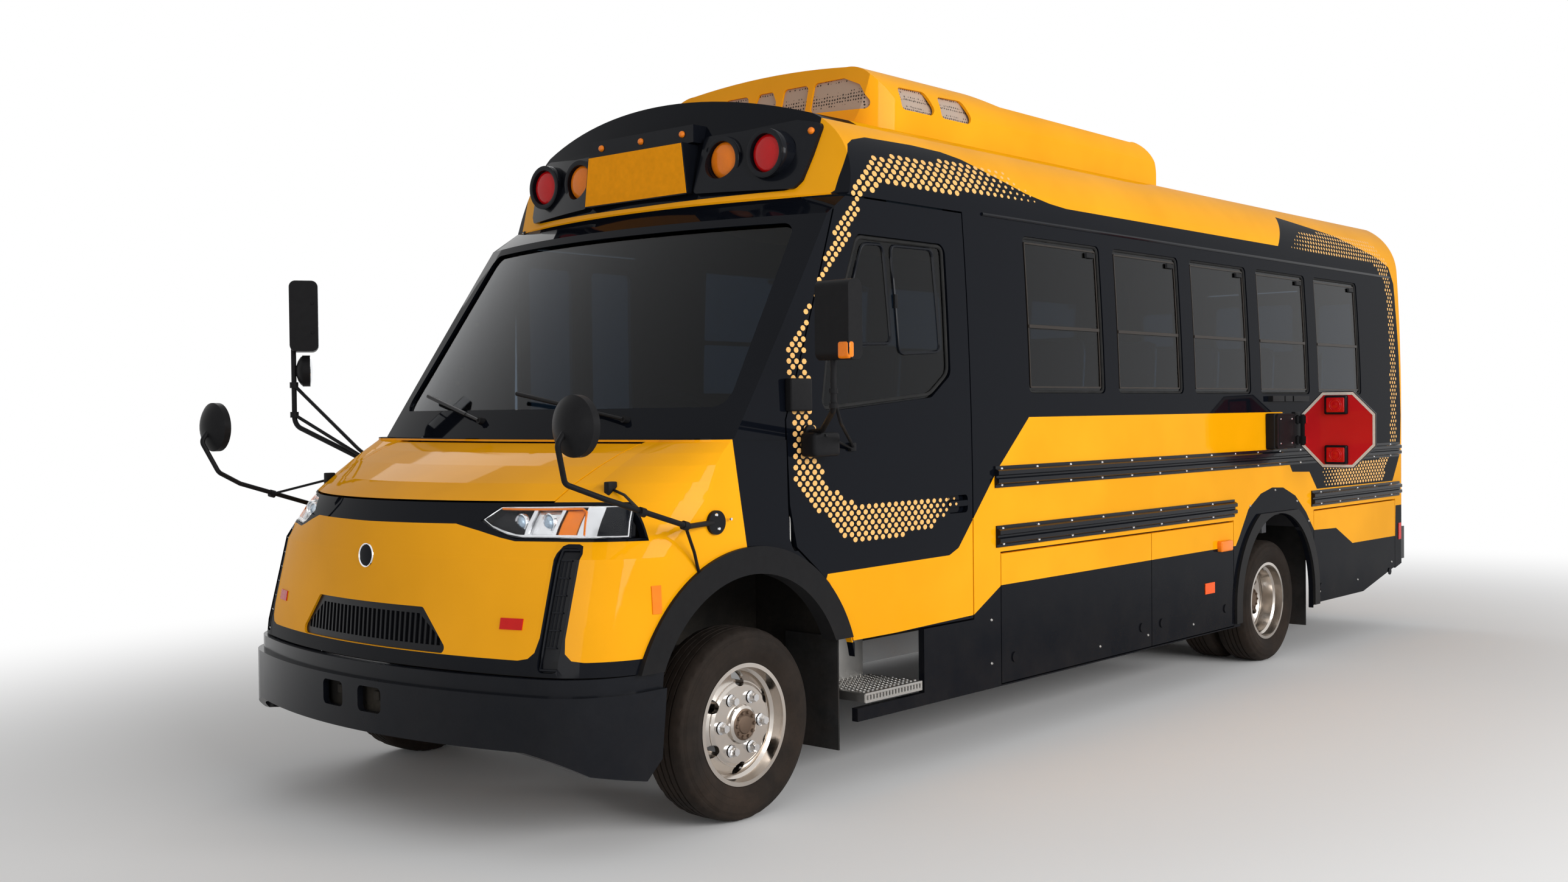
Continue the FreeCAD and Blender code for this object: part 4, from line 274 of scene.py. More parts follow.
def build_nose_scheme(wrap, place):
    """Mask of the dark areas on the nose: lamp band, louvre surrounds, foot and rear fender."""
    side, along, z = wrap.side(place), wrap.along(place), wrap.part(place, "Z")
    over_foot = wrap.above(z, wrap.polyline(side, BAND_FOOT))
    band = wrap.times(over_foot, wrap.below(z, BAND_TOP), wrap.below(side, BAND_REACH))
    rim = wrap.times(wrap.below(z, RIM_TOP), wrap.below(along, RIM_BACK), wrap.above(side, RIM_START))
    louvre = wrap.below(z, wrap.polyline(side, LOUVRE_HEAD))
    low = wrap.below(z, wrap.polyline(side, NOSE_FOOT))
    front = wrap.times(wrap.either(louvre, low), wrap.below(along, FRONT_BACK))
    rear = wrap.above(z, wrap.polyline(along, FENDER_FOOT))
    return (wrap.either(band, wrap.times(over_foot, rim), front, rear),)


NOSE_SCHEME = node_group("nose_paint_scheme", build_nose_scheme, ("Dark",))


def build_perforation(wrap, place):
    """Round holes in a fine sheet, high on the roof only: the holes are not cut but painted dark, as painted
    shade of the space behind the sheet.
    """
    holes = {"Vector": place, "Scale": 62.0, "Randomness": 0.22}
    cells = wrap.add("ShaderNodeTexVoronoi", holes, feature="F1").outputs["Distance"]
    high = wrap.above(wrap.part(place, "Z"), 2.75)
    # Dark is 1 on the sheet and 0 in the holes, which take a near black colour as painted shade.
    return wrap.times(high, wrap.above(cells, 0.30)), high


def build_lens_places(wrap, place):
    """Mask of the amber lamps: the inner pair high on the back and the middle pair lower down."""
    z = wrap.part(place, "Z")
    inner = wrap.times(wrap.below(wrap.side(place), 0.66), wrap.above(z, 2.3))
    middle = wrap.calc("COMPARE", z, 1.33, 0.10)
    return wrap.either(inner, middle), wrap.below(z, 0.98)


PERFORATION_WITH_HOLE_SHADE = node_group("perforated_sheet_painted_hole_shade", build_perforation, ("Dark", "High"))
LENS_PLACES = node_group("lens_places", build_lens_places, ("Amber", "Foot"))


# Finishes
def new_material(name):
    """A material with its tree, its shader and the place that its effects are laid over."""
    material = bpy.data.materials.new(name)
    material.use_nodes = True
    wrap = Tree(material.node_tree)
    return material, wrap, material.node_tree.nodes["Principled BSDF"], wrap.place()


LEVELS = {"specular": "Specular IOR Level", "coat": "Coat Weight", "haze": "Coat Roughness",
          "metallic": "Metallic", "transmission": "Transmission Weight", "index": "IOR"}


def fill(wrap, shader, colour, roughness, relief, **levels):
    """Sets a shader; relief is the height, strength and distance of its bump, levels are further inputs."""
    height, strength, distance = relief
    bump = wrap.add("ShaderNodeBump", {"Height": height, "Strength": strength, "Distance": distance})
    wrap.put(shader.inputs["Base Color"], colour)
    wrap.put(shader.inputs["Roughness"], roughness)
    wrap.put(shader.inputs["Normal"], bump.outputs[0])
    for label, value in levels.items():
        wrap.put(shader.inputs[LEVELS[label]], value)


def toned(colour, gain, lift=0.0):
    return tuple(c * gain + lift for c in colour)


def lacquered(name, colour, scheme=None, dust=0.07):
    """Sprayed and lacquered panel, in one colour or two by a scheme."""
    material, wrap, shader, place = new_material(name)
    film = wrap.group(LACQUER, place)
    dusty = wrap.group(DUST, place, Amount=dust)["Dust"]
    tint = wrap.remap(wrap.noise(place, 1.4, 3.0, 0.5), 0.35, 0.65)
    pale = tuple(min(1.0, c) for c in toned(colour, 1.06, 0.004))
    base = wrap.blend(tint, toned(colour, 0.93), pale)
    if scheme:
        base = wrap.blend(wrap.group(scheme, place)["Dark"], base, GLOSS_BLACK)
    base = wrap.blend(dusty, base, (0.16, 0.13, 0.10))
    rough = wrap.plus(wrap.times(film["Haze"], 0.05), 0.16, wrap.times(dusty, 0.5))
    fill(wrap, shader, base, rough, (film["Height"], 0.25, 0.002), specular=0.0, coat=0.20, haze=0.04)
    return material


def moulded(name, colour, roughness, scale, depth, dust=0.12, coat=0.0):
    """Moulded plastic with its grain."""
    material, wrap, shader, place = new_material(name)
    grain = wrap.group(GRAIN, place, Scale=scale)
    dusty = wrap.group(DUST, place, Amount=dust)["Dust"]
    base = wrap.blend(grain["Shade"], toned(colour, 0.8), toned(colour, 1.25, 0.003))
    base = wrap.blend(dusty, base, (0.13, 0.11, 0.085))
    rough = wrap.plus(wrap.times(grain["Shade"], 0.15), roughness - 0.07, wrap.times(dusty, 0.3))
    fill(wrap, shader, base, rough, (grain["Height"], 0.5, depth), specular=0.06, coat=coat, haze=0.08)
    return material


def metal(name, colour, roughness, streak=(1.0, 1.0, 1.0), dust=0.2):
    """Bare or plated metal with fine streaks along the way it was worked."""
    material, wrap, shader, place = new_material(name)
    lines = wrap.noise(wrap.stretch(place, streak), 260.0, 4.0, 0.7)
    stain = wrap.noise(place, 7.0, 4.0, 0.6)
    dusty = wrap.group(DUST, place, Amount=dust)["Dust"]
    base = wrap.blend(wrap.remap(stain, 0.3, 0.7), toned(colour, 0.86), colour)
    base = wrap.blend(dusty, base, (0.22, 0.18, 0.14))
    rough = wrap.plus(wrap.times(lines, 0.14), roughness - 0.07, wrap.times(stain, 0.06))
    fill(wrap, shader, base, rough, (lines, 0.15, 0.0002), metallic=1.0)
    return material


def glazing(name, tint, index=1.50):
    """Tinted safety glass with faint roll waves and smears."""
    material, wrap, shader, place = new_material(name)
    smear = wrap.noise(place, 4.0, 4.0, 0.65, 0.8)
    wave = wrap.noise(place, 2.0, 1.0, 0.4)
    base = wrap.blend(smear, toned(tint, 0.92), tint)
    rough = wrap.plus(wrap.times(smear, 0.03), 0.02)
    fill(wrap, shader, base, rough, (wave, 0.08, 0.003), transmission=1.0, index=index)
    return material


def rubber(name, colour, roughness):
    material, wrap, shader, place = new_material(name)
    grain = wrap.group(GRAIN, place, Scale=300.0)
    blotch = wrap.noise(place, 12.0, 5.0, 0.7)
    dusty = wrap.group(DUST, place, Amount=0.30)["Dust"]
    base = wrap.blend(wrap.remap(blotch, 0.3, 0.7), colour, toned(colour, 1.8))
    base = wrap.blend(dusty, base, (0.10, 0.060, 0.038))
    rough = wrap.plus(wrap.times(blotch, 0.2), roughness - 0.1)
    fill(wrap, shader, base, rough, (grain["Height"], 0.4, 0.0006), specular=0.10)
    return material


def grille_moulding(name):
    """Gloss black bars low down, pale perforated sheet in the roof fairing whose holes are painted dark as
    painted shade.
    """
    material, wrap, shader, place = new_material(name)
    grain = wrap.group(GRAIN, place, Scale=260.0)
    holes = wrap.group(PERFORATION_WITH_HOLE_SHADE, place)
    # Holes coloured near black: painted shade of the space behind the sheet.
    sheet = wrap.blend(holes["Dark"], (0.030, 0.022, 0.018), (0.46, 0.36, 0.29))
    base = wrap.blend(holes["High"], wrap.blend(grain["Shade"], GLOSS_BLACK, TRIM_BLACK), sheet)
    rough = wrap.plus(wrap.times(grain["Shade"], 0.1), 0.26)
    fill(wrap, shader, base, rough, (holes["Dark"], 0.5, 0.0015), specular=0.14)
    return material


def rear_lenses(name):
    """Ribbed lamp lenses, red and amber by their places, darkened along the ribs as painted shade."""
    material, wrap, shader, place = new_material(name)
    ribs = wrap.add("ShaderNodeTexWave", {"Vector": place, "Scale": 70.0, "Distortion": 0.4},
                    wave_type="BANDS", bands_direction="Z").outputs["Fac"]
    masks = wrap.group(LENS_PLACES, place)
    base = wrap.blend(masks["Amber"], LAMP_RED, LAMP_AMBER)
    base = wrap.blend(masks["Foot"], base, (0.70, 0.70, 0.68))
    # Darkens the lens along its ribs toward near black: painted shade in the rib grooves.
    shade = wrap.blend(wrap.times(ribs, 0.35), base, (0.02, 0.01, 0.01))
    fill(wrap, shader, shade, wrap.remap(ribs, 0.0, 1.0, 0.12, 0.22), (ribs, 0.4, 0.001), coat=0.5)
    return material


YELLOW_PAINT = lacquered("school_bus_yellow", SCHOOL_YELLOW)
SIDE_PAINT = lacquered("side_panels_two_tone", SCHOOL_YELLOW, SCHEME)
NOSE_PAINT = lacquered("nose_two_tone", SCHOOL_YELLOW, NOSE_SCHEME)
CAP_PAINT = lacquered("cap_two_tone", SCHOOL_YELLOW, CAP_SCHEME)
BLACK_LACQUER = lacquered("black_lacquer", GLOSS_BLACK)
SATIN_BLACK = moulded("satin_black_plastic", TRIM_BLACK, 0.42, 500.0, 0.0003)
GLOSS_TRIM = moulded("gloss_black_moulding", GLOSS_BLACK, 0.22, 200.0, 0.0001, dust=0.05, coat=0.16)
CHASSIS_BLACK = moulded("chassis_black", (0.014, 0.013, 0.012), 0.6, 120.0, 0.0008, dust=0.6)
POLISHED_ALLOY = metal("polished_wheel_alloy", (0.66, 0.61, 0.56), 0.16, (0.1, 1.0, 1.0), dust=0.12)
BATTERY_ALLOY = metal("battery_case_alloy", (0.42, 0.43, 0.44), 0.45, (1.0, 0.05, 1.0), dust=0.5)
STEEL = metal("plated_steel", (0.55, 0.54, 0.52), 0.32)
CHROME = metal("lamp_chrome", (0.85, 0.86, 0.88), 0.08, dust=0.0)
DARK_GLASS = glazing("dark_safety_glass", (0.060, 0.085, 0.115), 1.24)
CLEAR_LENS = glazing("clear_lamp_lens", (0.97, 0.98, 1.0))
TYRE_RUBBER = rubber("tyre_rubber", (0.013, 0.0105, 0.009), 0.75)
FLAP_RUBBER = rubber("flap_rubber", (0.016, 0.016, 0.016), 0.8)
FLOOR_COVER = moulded("ribbed_floor_covering", (0.07, 0.07, 0.075), 0.7, 60.0, 0.001, dust=0.0)
CAB_PLASTIC = moulded("cab_plastic", (0.045, 0.046, 0.050), 0.6, 350.0, 0.0005, dust=0.0)
SEAT_CLOTH = moulded("seat_cloth", (0.05, 0.07, 0.12), 0.85, 900.0, 0.0006, dust=0.0)
SIGN_RED = lacquered("sign_red", (0.62, 0.012, 0.016), dust=0.1)
RED_LENS = moulded("red_lens", LAMP_RED, 0.18, 260.0, 0.0008, dust=0.0, coat=0.35)
AMBER_LENS = moulded("amber_lens", LAMP_AMBER, 0.18, 260.0, 0.0008, dust=0.0, coat=0.35)
PROJECTOR_GLASS = metal("projector_lens", (0.42, 0.52, 0.62), 0.06, dust=0.0)
CLEAR_COVER = glazing("clear_lamp_cover", (0.97, 0.98, 1.0), 1.38)
CLEAR_COVER.node_tree.nodes["Principled BSDF"].inputs["Alpha"].default_value = 0.30
REFLECTIVE_WHITE = moulded("reflective_border", (0.72, 0.66, 0.60), 0.35, 800.0, 0.0002, dust=0.1)
MIRROR_GLASS = metal("mirror_glass", (0.88, 0.90, 0.92), 0.04, dust=0.0)
SASH_BRONZE = moulded("sash_bronze", (0.028, 0.022, 0.018), 0.35, 300.0, 0.0001, dust=0.0, coat=0.2)
HUB_IRON = metal("hub_iron", (0.16, 0.11, 0.08), 0.55, dust=0.3)
DOT_VINYL = moulded("pale_yellow_vinyl", VINYL_YELLOW, 0.45, 700.0, 0.0001, dust=0.1)
BOARD_YELLOW = moulded("blank_board_vinyl", (0.92, 0.34, 0.004), 0.5, 500.0, 0.0002, dust=0.1)
ORANGE_REFLECTOR = moulded("orange_reflector", (0.90, 0.10, 0.003), 0.25, 240.0, 0.0012, dust=0.0, coat=0.25)
RED_REFLECTOR = moulded("red_reflector", (0.60, 0.008, 0.006), 0.25, 240.0, 0.0012, dust=0.0, coat=0.25)
GRILLE_MOULDING = grille_moulding("grille_moulding")
REAR_LENSES = rear_lenses("rear_lamp_lenses")

SKIRT_DOORS = "skirt_door_left_front skirt_door_left_middle skirt_door_left_rear " \
              "skirt_door_right_front skirt_door_right_rear"
NODE_FINISH = [
    (CHASSIS_BLACK, "chassis_frame leaf_springs front_axle rear_axle firewall knuckle_left knuckle_right"),
    (SIDE_PAINT, "roof left_side_wall right_side_wall rear_wall driver_door rear_door " + SKIRT_DOORS),
    (CAP_PAINT, "front_cap"),
    (NOSE_PAINT, "nose"),
    (YELLOW_PAINT, "hood roof_fairing"),
    (BLACK_LACQUER, "entry_door_front entry_door_rear"),
    (DARK_GLASS, "body_glass driver_door_glass entry_glass_front entry_glass_rear rear_door_glass"),
    (SATIN_BLACK, "window_frames arch_lips body_mirrors stop_arm_base wipers left_mirror"),
    (GLOSS_TRIM, "front_bumper rub_rails rear_bumper lamp_panel"),
    (GRILLE_MOULDING, "grilles"),
    (CLEAR_LENS, "headlamps"),
    (REAR_LENSES, "warning_lamps"),
    (SIGN_RED, "stop_arm"),
    (BATTERY_ALLOY, "battery_pack"),
    (STEEL, "hinge_pins driver_step"),
    (FLAP_RUBBER, "mudflaps"),
    (FLOOR_COVER, "floor"),
    (CAB_PLASTIC, "dashboard steering_wheel"),
    (SEAT_CLOTH, "seats"),
    (TYRE_RUBBER, "tyre_front_left tyre_front_right tyres_rear_left tyres_rear_right"),
    (POLISHED_ALLOY, "wheel_front_left wheel_front_right wheel_rear_left wheel_rear_right"),
]


def finish_nodes():
    """Gives every carried piece its finish."""
    for material, names in NODE_FINISH:
        for name in names.split():
            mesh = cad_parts[name].data
            mesh.materials.clear()
            mesh.materials.append(material)


finish_nodes()


# Mesh building
def new_object(name, data):
    made = bpy.data.objects.new(name, data)
    bpy.context.collection.objects.link(made)
    return made


def baked(holder):
    """The mesh that an object's modifiers make; the object itself goes."""
    graph = bpy.context.evaluated_depsgraph_get()
    mesh = bpy.data.meshes.new_from_object(holder.evaluated_get(graph), depsgraph=graph)
    bpy.data.objects.remove(holder)
    return mesh


def link_piece(name, mesh, material, body, smooth=40.0):
    """Links a finished mesh as a piece that rides on a body; smooth is the angle that stays sharp."""
    mesh.materials.clear()
    mesh.materials.append(material)
    for polygon in mesh.polygons:
        polygon.use_smooth = True
    if smooth:
        mesh.set_sharp_from_angle(angle=math.radians(smooth))
    piece = new_object(name, mesh)
    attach(piece, body)
    return piece


def mesh_from(name, bm):
    bmesh.ops.remove_doubles(bm, verts=bm.verts, dist=1e-6)
    bmesh.ops.recalc_face_normals(bm, faces=bm.faces)
    mesh = bpy.data.meshes.new(name)
    bm.to_mesh(mesh)
    bm.free()
    return mesh


def build_piece(name, bm, material, smooth=40.0, body="coach"):
    return link_piece(name, mesh_from(name, bm), material, body, smooth)


def at(x, along, z):
    """A place given by its distance behind the front axle."""
    return (x, FRONT_AXLE + along, z)


def between(first, second, share):
    return tuple(a * (1 - share) + b * share for a, b in zip(first, second))


def collar(half, radius):
    """Profile of a plain round collar."""
    return [(-half, 0.0), (-half, radius), (half, radius), (half, 0.0)]


def add_ring(bm, points):
    return [bm.verts.new(p) for p in points]


def bridge(bm, first, second, closed=True):
    """Quads between two rows of as many points."""
    count = len(first)
    for i in range(count if closed else count - 1):
        j = (i + 1) % count
        bm.faces.new((first[i], first[j], second[j], second[i]))


def close_sheet(bm, outer, inner):
    """Faces of a thin sheet between two grids of points."""
    for first, second in zip(outer, outer[1:]):
        bridge(bm, first, second, closed=False)
    for first, second in zip(inner, inner[1:]):
        bridge(bm, second, first, closed=False)
    bridge(bm, outer[0], inner[0], closed=False)
    bridge(bm, inner[-1], outer[-1], closed=False)
    bridge(bm, [row[0] for row in inner], [row[0] for row in outer], closed=False)
    bridge(bm, [row[-1] for row in outer], [row[-1] for row in inner], closed=False)


def add_revolve(bm, centre, axis, profile, segments, across=None, shape=None):
    """Turns (distance along the axis, radius) round it; shape may change a radius by segment and row."""
    axis = Vector(axis).normalized()
    side = (Vector(across) if across else axis.orthogonal()).normalized()
    other = axis.cross(side)
    centre = Vector(centre)
    rows = []
    for step in range(segments):
        angle = 2 * math.pi * step / segments
        way = math.cos(angle) * side + math.sin(angle) * other
        row = []
        for index, (along, radius) in enumerate(profile):
            if shape:
                radius = shape(step, index, radius)
            row.append(bm.verts.new(centre + axis * along + way * radius))
        rows.append(row)
    for step in range(segments):
        bridge(bm, rows[step], rows[(step + 1) % segments], closed=False)


def add_tube(bm, points, radius, sides=10, closed=False):
    """Round bar along a path, with its ends closed."""
    points = [Vector(p) for p in points]
    count = len(points)
    frames = []
    normal = None
    for i in range(count):
        behind = points[i] - points[i - 1]
        ahead = points[(i + 1) % count] - points[i] if closed or i < count - 1 else behind
        behind = behind if closed or i > 0 else ahead
        way = (ahead.normalized() + behind.normalized()).normalized()
        if normal is None:
            normal = way.orthogonal().normalized()
        normal = (normal - way * normal.dot(way)).normalized()
        stretch = 1.0 / max(0.5, way.dot(behind.normalized()))
        frames.append((points[i], normal, way.cross(normal), radius * min(stretch, 1.3)))
    rows = []
    angles = [2 * math.pi * k / sides for k in range(sides)]
    for place, first, second, reach in frames:
        ring = [place + (first * math.cos(a) + second * math.sin(a)) * reach for a in angles]
        rows.append(add_ring(bm, ring))
    for i in range(len(rows) - (0 if closed else 1)):
        bridge(bm, rows[i], rows[(i + 1) % len(rows)])
    if not closed:
        bm.faces.new(reversed(rows[0]))
        bm.faces.new(rows[-1])


def rounded_path(points, radius, steps=5, closed=False):
    """The path with each corner turned by an arc."""
    points = [Vector(p) for p in points]
    count = len(points)
    path = []
    for i, corner in enumerate(points):
        if not closed and i in (0, count - 1):
            path.append(corner)
            continue
        before = points[i - 1] - corner
        after = points[(i + 1) % count] - corner
        reach = min(radius, before.length * 0.45, after.length * 0.45)
        start = corner + before.normalized() * reach
        end = corner + after.normalized() * reach
        for k in range(steps + 1):
            t = k / steps
            path.append(start * (1 - t) ** 2 + corner * 2 * t * (1 - t) + end * t ** 2)
    return path


def add_block(bm, low, high, bevel=0.0, segments=2):
    """Box between two corners, with its edges rounded."""
    low, high = Vector(low), Vector(high)
    made = bmesh.ops.create_cube(bm, size=1.0)["verts"]
    size = high - low
    for vert in made:
        vert.co = low + Vector([(share + 0.5) * length for share, length in zip(vert.co, size)])
    if bevel:
        edges = {edge for vert in made for edge in vert.link_edges}
        bmesh.ops.bevel(bm, geom=list(edges), offset=bevel, segments=segments, profile=0.6, affect="EDGES")


def add_slab(bm, outline, push):
    """Closed prism from a flat outline pushed along a vector."""
    push = Vector(push)
    first = add_ring(bm, [Vector(p) for p in outline])
    second = add_ring(bm, [Vector(p) + push for p in outline])
    bridge(bm, first, second)
    bm.faces.new(reversed(first))
    bm.faces.new(second)


# Solids set out on points by Geometry Nodes
def point_tree(name, result, inputs, solid):
    """Tree that sets a solid on each point of a mesh; solid gives the instance, its turn and its size."""
    tree = bpy.data.node_groups.new(name, "GeometryNodeTree")
    make = tree.interface.new_socket
    make("Points", in_out="INPUT", socket_type="NodeSocketGeometry")
    for label, kind, value in inputs:
        socket = make(label, in_out="INPUT", socket_type="NodeSocket" + kind)
        if value is not None:
            socket.default_value = value
    make("Finish", in_out="INPUT", socket_type="NodeSocketMaterial")
    make(result, in_out="OUTPUT", socket_type="NodeSocketGeometry")
    wrap = Tree(tree)
    entry = wrap.add("NodeGroupInput").outputs
    cloud = wrap.add("GeometryNodeMeshToPoints", {"Mesh": entry["Points"]}).outputs[0]
    placed = wrap.add("GeometryNodeInstanceOnPoints", {"Points": cloud, **solid(wrap, entry)}).outputs[0]
    whole = wrap.add("GeometryNodeRealizeInstances", {"Geometry": placed}).outputs[0]
    painted = wrap.add("GeometryNodeSetMaterial", {"Geometry": whole, "Material": entry["Finish"]})
    wrap.put(wrap.add("NodeGroupOutput").inputs[result], painted.outputs[0])
    return tree


def bolt_head(wrap, entry):
    """Domed head, turned to face along its point's stored way."""
    radius = entry["Head radius"]
    sizes = {"Vertices": entry["Head sides"], "Radius Bottom": radius, "Depth": entry["Head height"],
             "Radius Top": wrap.times(radius, 0.72)}
    head = wrap.add("GeometryNodeMeshCone", sizes, fill_type="NGON").outputs[0]
    return {"Instance": head, "Rotation": wrap.facing()}


BOLT_INPUTS = [("Head radius", "Float", 0.006), ("Head height", "Float", 0.004), ("Head sides", "Int", 12)]
BOLT_TREE = point_tree("bolt_heads", "Bolts", BOLT_INPUTS, bolt_head)


def socket_name(tree, label):
    """The identifier by which a modifier knows an input."""
    for item in tree.interface.items_tree:
        if item.item_type == "SOCKET" and item.in_out == "INPUT" and item.name == label:
            return item.identifier
    raise KeyError(label)


def grown(name, tree, cloud, values):
    """Runs a node tree over a mesh of points, and returns the plain mesh that it makes."""
    holder = new_object(name + "_points", cloud)
    modifier = holder.modifiers.new("grow", "NODES")
    modifier.node_group = tree
    for label, value in values.items():
        modifier[socket_name(tree, label)] = value
    mesh = baked(holder)
    mesh.name = name
    return mesh


def point_cloud(name, rows):
    """Mesh of loose points, each with the way that it faces."""
    mesh = bpy.data.meshes.new(name + "_cloud")
    mesh.from_pydata([place for place, _ in rows], [], [])
    stored = mesh.attributes.new("way", "FLOAT_VECTOR", "POINT")
    for point, (_, way) in zip(stored.data, rows):
        point.vector = way
    return mesh


def bolts(name, rows, radius, height, sides, material, body):
    """One piece with a bolt head at each (place, way)."""
    values = {"Head radius": radius, "Head height": height, "Head sides": sides, "Finish": material}
    link_piece(name, grown(name, BOLT_TREE, point_cloud(name, rows), values), material, body, 30.0)


# Finding the skin
def skin_of(*nodes):
    """Ray finder over some carried pieces."""
    verts, faces = [], []
    for name in nodes:
        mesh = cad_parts[name].data
        base = len(verts)
        verts += [vert.co.copy() for vert in mesh.vertices]
        faces += [[base + i for i in polygon.vertices] for polygon in mesh.polygons]
    return BVHTree.FromPolygons(verts, faces)


def outside(skin, y, z, sign):
    """Point and way out of the skin, looking at it from one side."""
    hit, normal = skin.ray_cast(Vector((sign * 4.0, y, z)), Vector((-sign, 0, 0)))[:2]
    if hit is None:
        return None, None
    return hit, (-normal if normal.x * sign < 0 else normal)


def ahead_of(skin, x, z):
    """Point and way out of the skin, looking at it from in front."""
    hit, normal = skin.ray_cast(Vector((x, -8.0, z)), Vector((0, 1, 0)))[:2]
    if hit is None:
        return None, None
    return hit, (-normal if normal.y > 0 else normal)


# Wheels: label, body, node that the tyre replaces, sign, distance from the middle, place along, tyre shifts
WHEELS = [
    ("front_left", "wheel_front_left", "tyre_front_left", 1, 0.990, FRONT_AXLE, [0.0]),
    ("front_right", "wheel_front_right", "tyre_front_right", -1, 0.990, FRONT_AXLE, [0.0]),
    ("rear_left", "wheels_rear_left", "tyres_rear_left", 1, 0.936, REAR_AXLE, [0.0, -0.240]),
    ("rear_right", "wheels_rear_right", "tyres_rear_right", -1, 0.936, REAR_AXLE, [0.0, -0.240]),
]
TYRE_STEPS = 144
TYRE_HALF = [
    (0.0, 0.3700), (0.0105, 0.3700), (0.0115, 0.3620), (0.0175, 0.3620), (0.0185, 0.3699), (0.0400, 0.3696),
    (0.0410, 0.3615), (0.0475, 0.3615), (0.0485, 0.3692), (0.0660, 0.3684), (0.0690, 0.3668),
    (0.0800, 0.3640), (0.0900, 0.3570), (0.0955, 0.3480), (0.0965, 0.3440), (0.0985, 0.3420),
    (0.1005, 0.3360), (0.1012, 0.3352), (0.1030, 0.3330), (0.1048, 0.3230), (0.1060, 0.3120),
    (0.1066, 0.3060), (0.1072, 0.3052), (0.1070, 0.2960), (0.1040, 0.2800), (0.1046, 0.2790),
    (0.1030, 0.2730), (0.0990, 0.2620), (0.0930, 0.2500), (0.0895, 0.2430), (0.0880, 0.2385),
    (0.0845, 0.2360), (0.0840, 0.2275),
]
RIB_ROWS, SIPE_ROWS = (9, 10, 11), (4, 5)


def tyre_notch(step, index, radius):
    """Cuts the shoulder ribs and prints shallow sipes round the tread."""
    mirrored = index if index < len(TYRE_HALF) else 2 * len(TYRE_HALF) - 1 - index
    place = len(TYRE_HALF) - 1 - mirrored
    if place in RIB_ROWS and step % 4 == 0:
        return radius - 0.0035
    if place in SIPE_ROWS and step % 6 == 3:
        return radius - 0.0018
    return radius


def dress_tyres():
    """Road tyres with ribs and sipes in place of the plain ones."""
    profile = TYRE_HALF[::-1] + [(-along, radius) for along, radius in TYRE_HALF]
    inside_band = [(-0.0840, 0.2275), (-0.0840, 0.2400), (0.0840, 0.2400), (0.0840, 0.2275)]
    for label, body, node, sign, x, y, shifts in WHEELS:
        bm = bmesh.new()
        for shift in shifts:
            centre = (sign * (x + shift), y, WHEEL_HEIGHT)
            add_revolve(bm, centre, (1, 0, 0), profile, TYRE_STEPS, (0, 0, -1), tyre_notch)
            add_revolve(bm, centre, (1, 0, 0), inside_band, TYRE_STEPS, (0, 0, -1))
        piece = build_piece("tyre_tread_" + label, bm, TYRE_RUBBER, 28.0, body)
        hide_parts(node)


def round_wheel(sign, x, y, radius, count):
    """Points round a wheel's centre, with the way out of it."""
    rows = []
    for i in range(count):
        angle = 2 * math.pi * i / count
        place = (sign * x, y + radius * math.cos(angle), WHEEL_HEIGHT + radius * math.sin(angle))
        rows.append((Vector(place), Vector((sign, 0, 0))))
    return rows


NUT_CIRCLE = 0.111125
REAR_HUB = 0.816


def wheel_trim():
    """Flanged nuts, hub covers with their ring of screws, and valve stems."""
    for label, body, _, sign, x, y, _ in WHEELS:
        front = label.startswith("front")
        seat = x + 0.066 if front else REAR_HUB + 0.015
        end = x + 0.084 if front else REAR_HUB + 0.112
        hub = 0.060 if front else 0.066
        rows = round_wheel(sign, seat + 0.004, y, NUT_CIRCLE, 6)
        bolts("nut_flanges_" + label, rows, 0.0245, 0.006, 24, CHROME, body)
        rows = round_wheel(sign, seat + 0.005, y, NUT_CIRCLE, 6)
        bolts("wheel_nuts_" + label, rows, 0.0212, 0.026, 6, CHROME, body)
        rows = round_wheel(sign, end + 0.001, y, hub * 0.80, 10)
        bolts("hub_screws_" + label, rows, 0.0085, 0.010, 6, HUB_IRON, body)
        bm = bmesh.new()
        dish = [(end - 0.012, hub + 0.0015), (end + 0.001, hub + 0.0005), (end + 0.004, hub - 0.006),
                (end + 0.002, hub * 0.62), (end + 0.006, hub * 0.55), (end + 0.008, hub * 0.30),
                (end + 0.008, 0.0)]
        rows = [(sign * along, radius) for along, radius in dish]
        add_revolve(bm, (0, y, WHEEL_HEIGHT), (1, 0, 0), rows, 48, (0, 0, 1))
        build_piece("hub_cover_" + label, bm, HUB_IRON, 30.0, body)
        bm = bmesh.new()
        stem = [(x + 0.030, 0.206), (x + 0.060, 0.200), (x + 0.072, 0.186)]
        add_tube(bm, [(sign * across, y, WHEEL_HEIGHT + rise) for across, rise in stem], 0.0042, 8)
        build_piece("valve_stem_" + label, bm, STEEL, 40.0, body)


dress_tyres()
wheel_trim()


# Small round and square parts that sit on the skin
BODY_SKIN = skin_of("left_side_wall", "right_side_wall", "front_cap", "nose", "hood", "driver_door",
                    "roof", "skirt_door_left_front", "skirt_door_left_middle", "skirt_door_left_rear",
                    "skirt_door_right_front", "skirt_door_right_rear", "rear_wall")
RAIL_SKIN = skin_of("rub_rails")


def rail_runs(y, sign):
    """Spans of height in which a rub rail stands at a place along the body."""
    runs, open_run = [], False
    z = 0.6
    while z < 1.7:
        hit, _ = outside(RAIL_SKIN, y, z, sign)
        on_rail = hit is not None and abs(hit.x) > 1.0
        if on_rail and not open_run:
            runs.append([z, z])
        if on_rail:
            runs[-1][1] = z
        open_run = on_rail
        z += 0.004
    return [(start, end) for start, end in runs if end - start > 0.05]


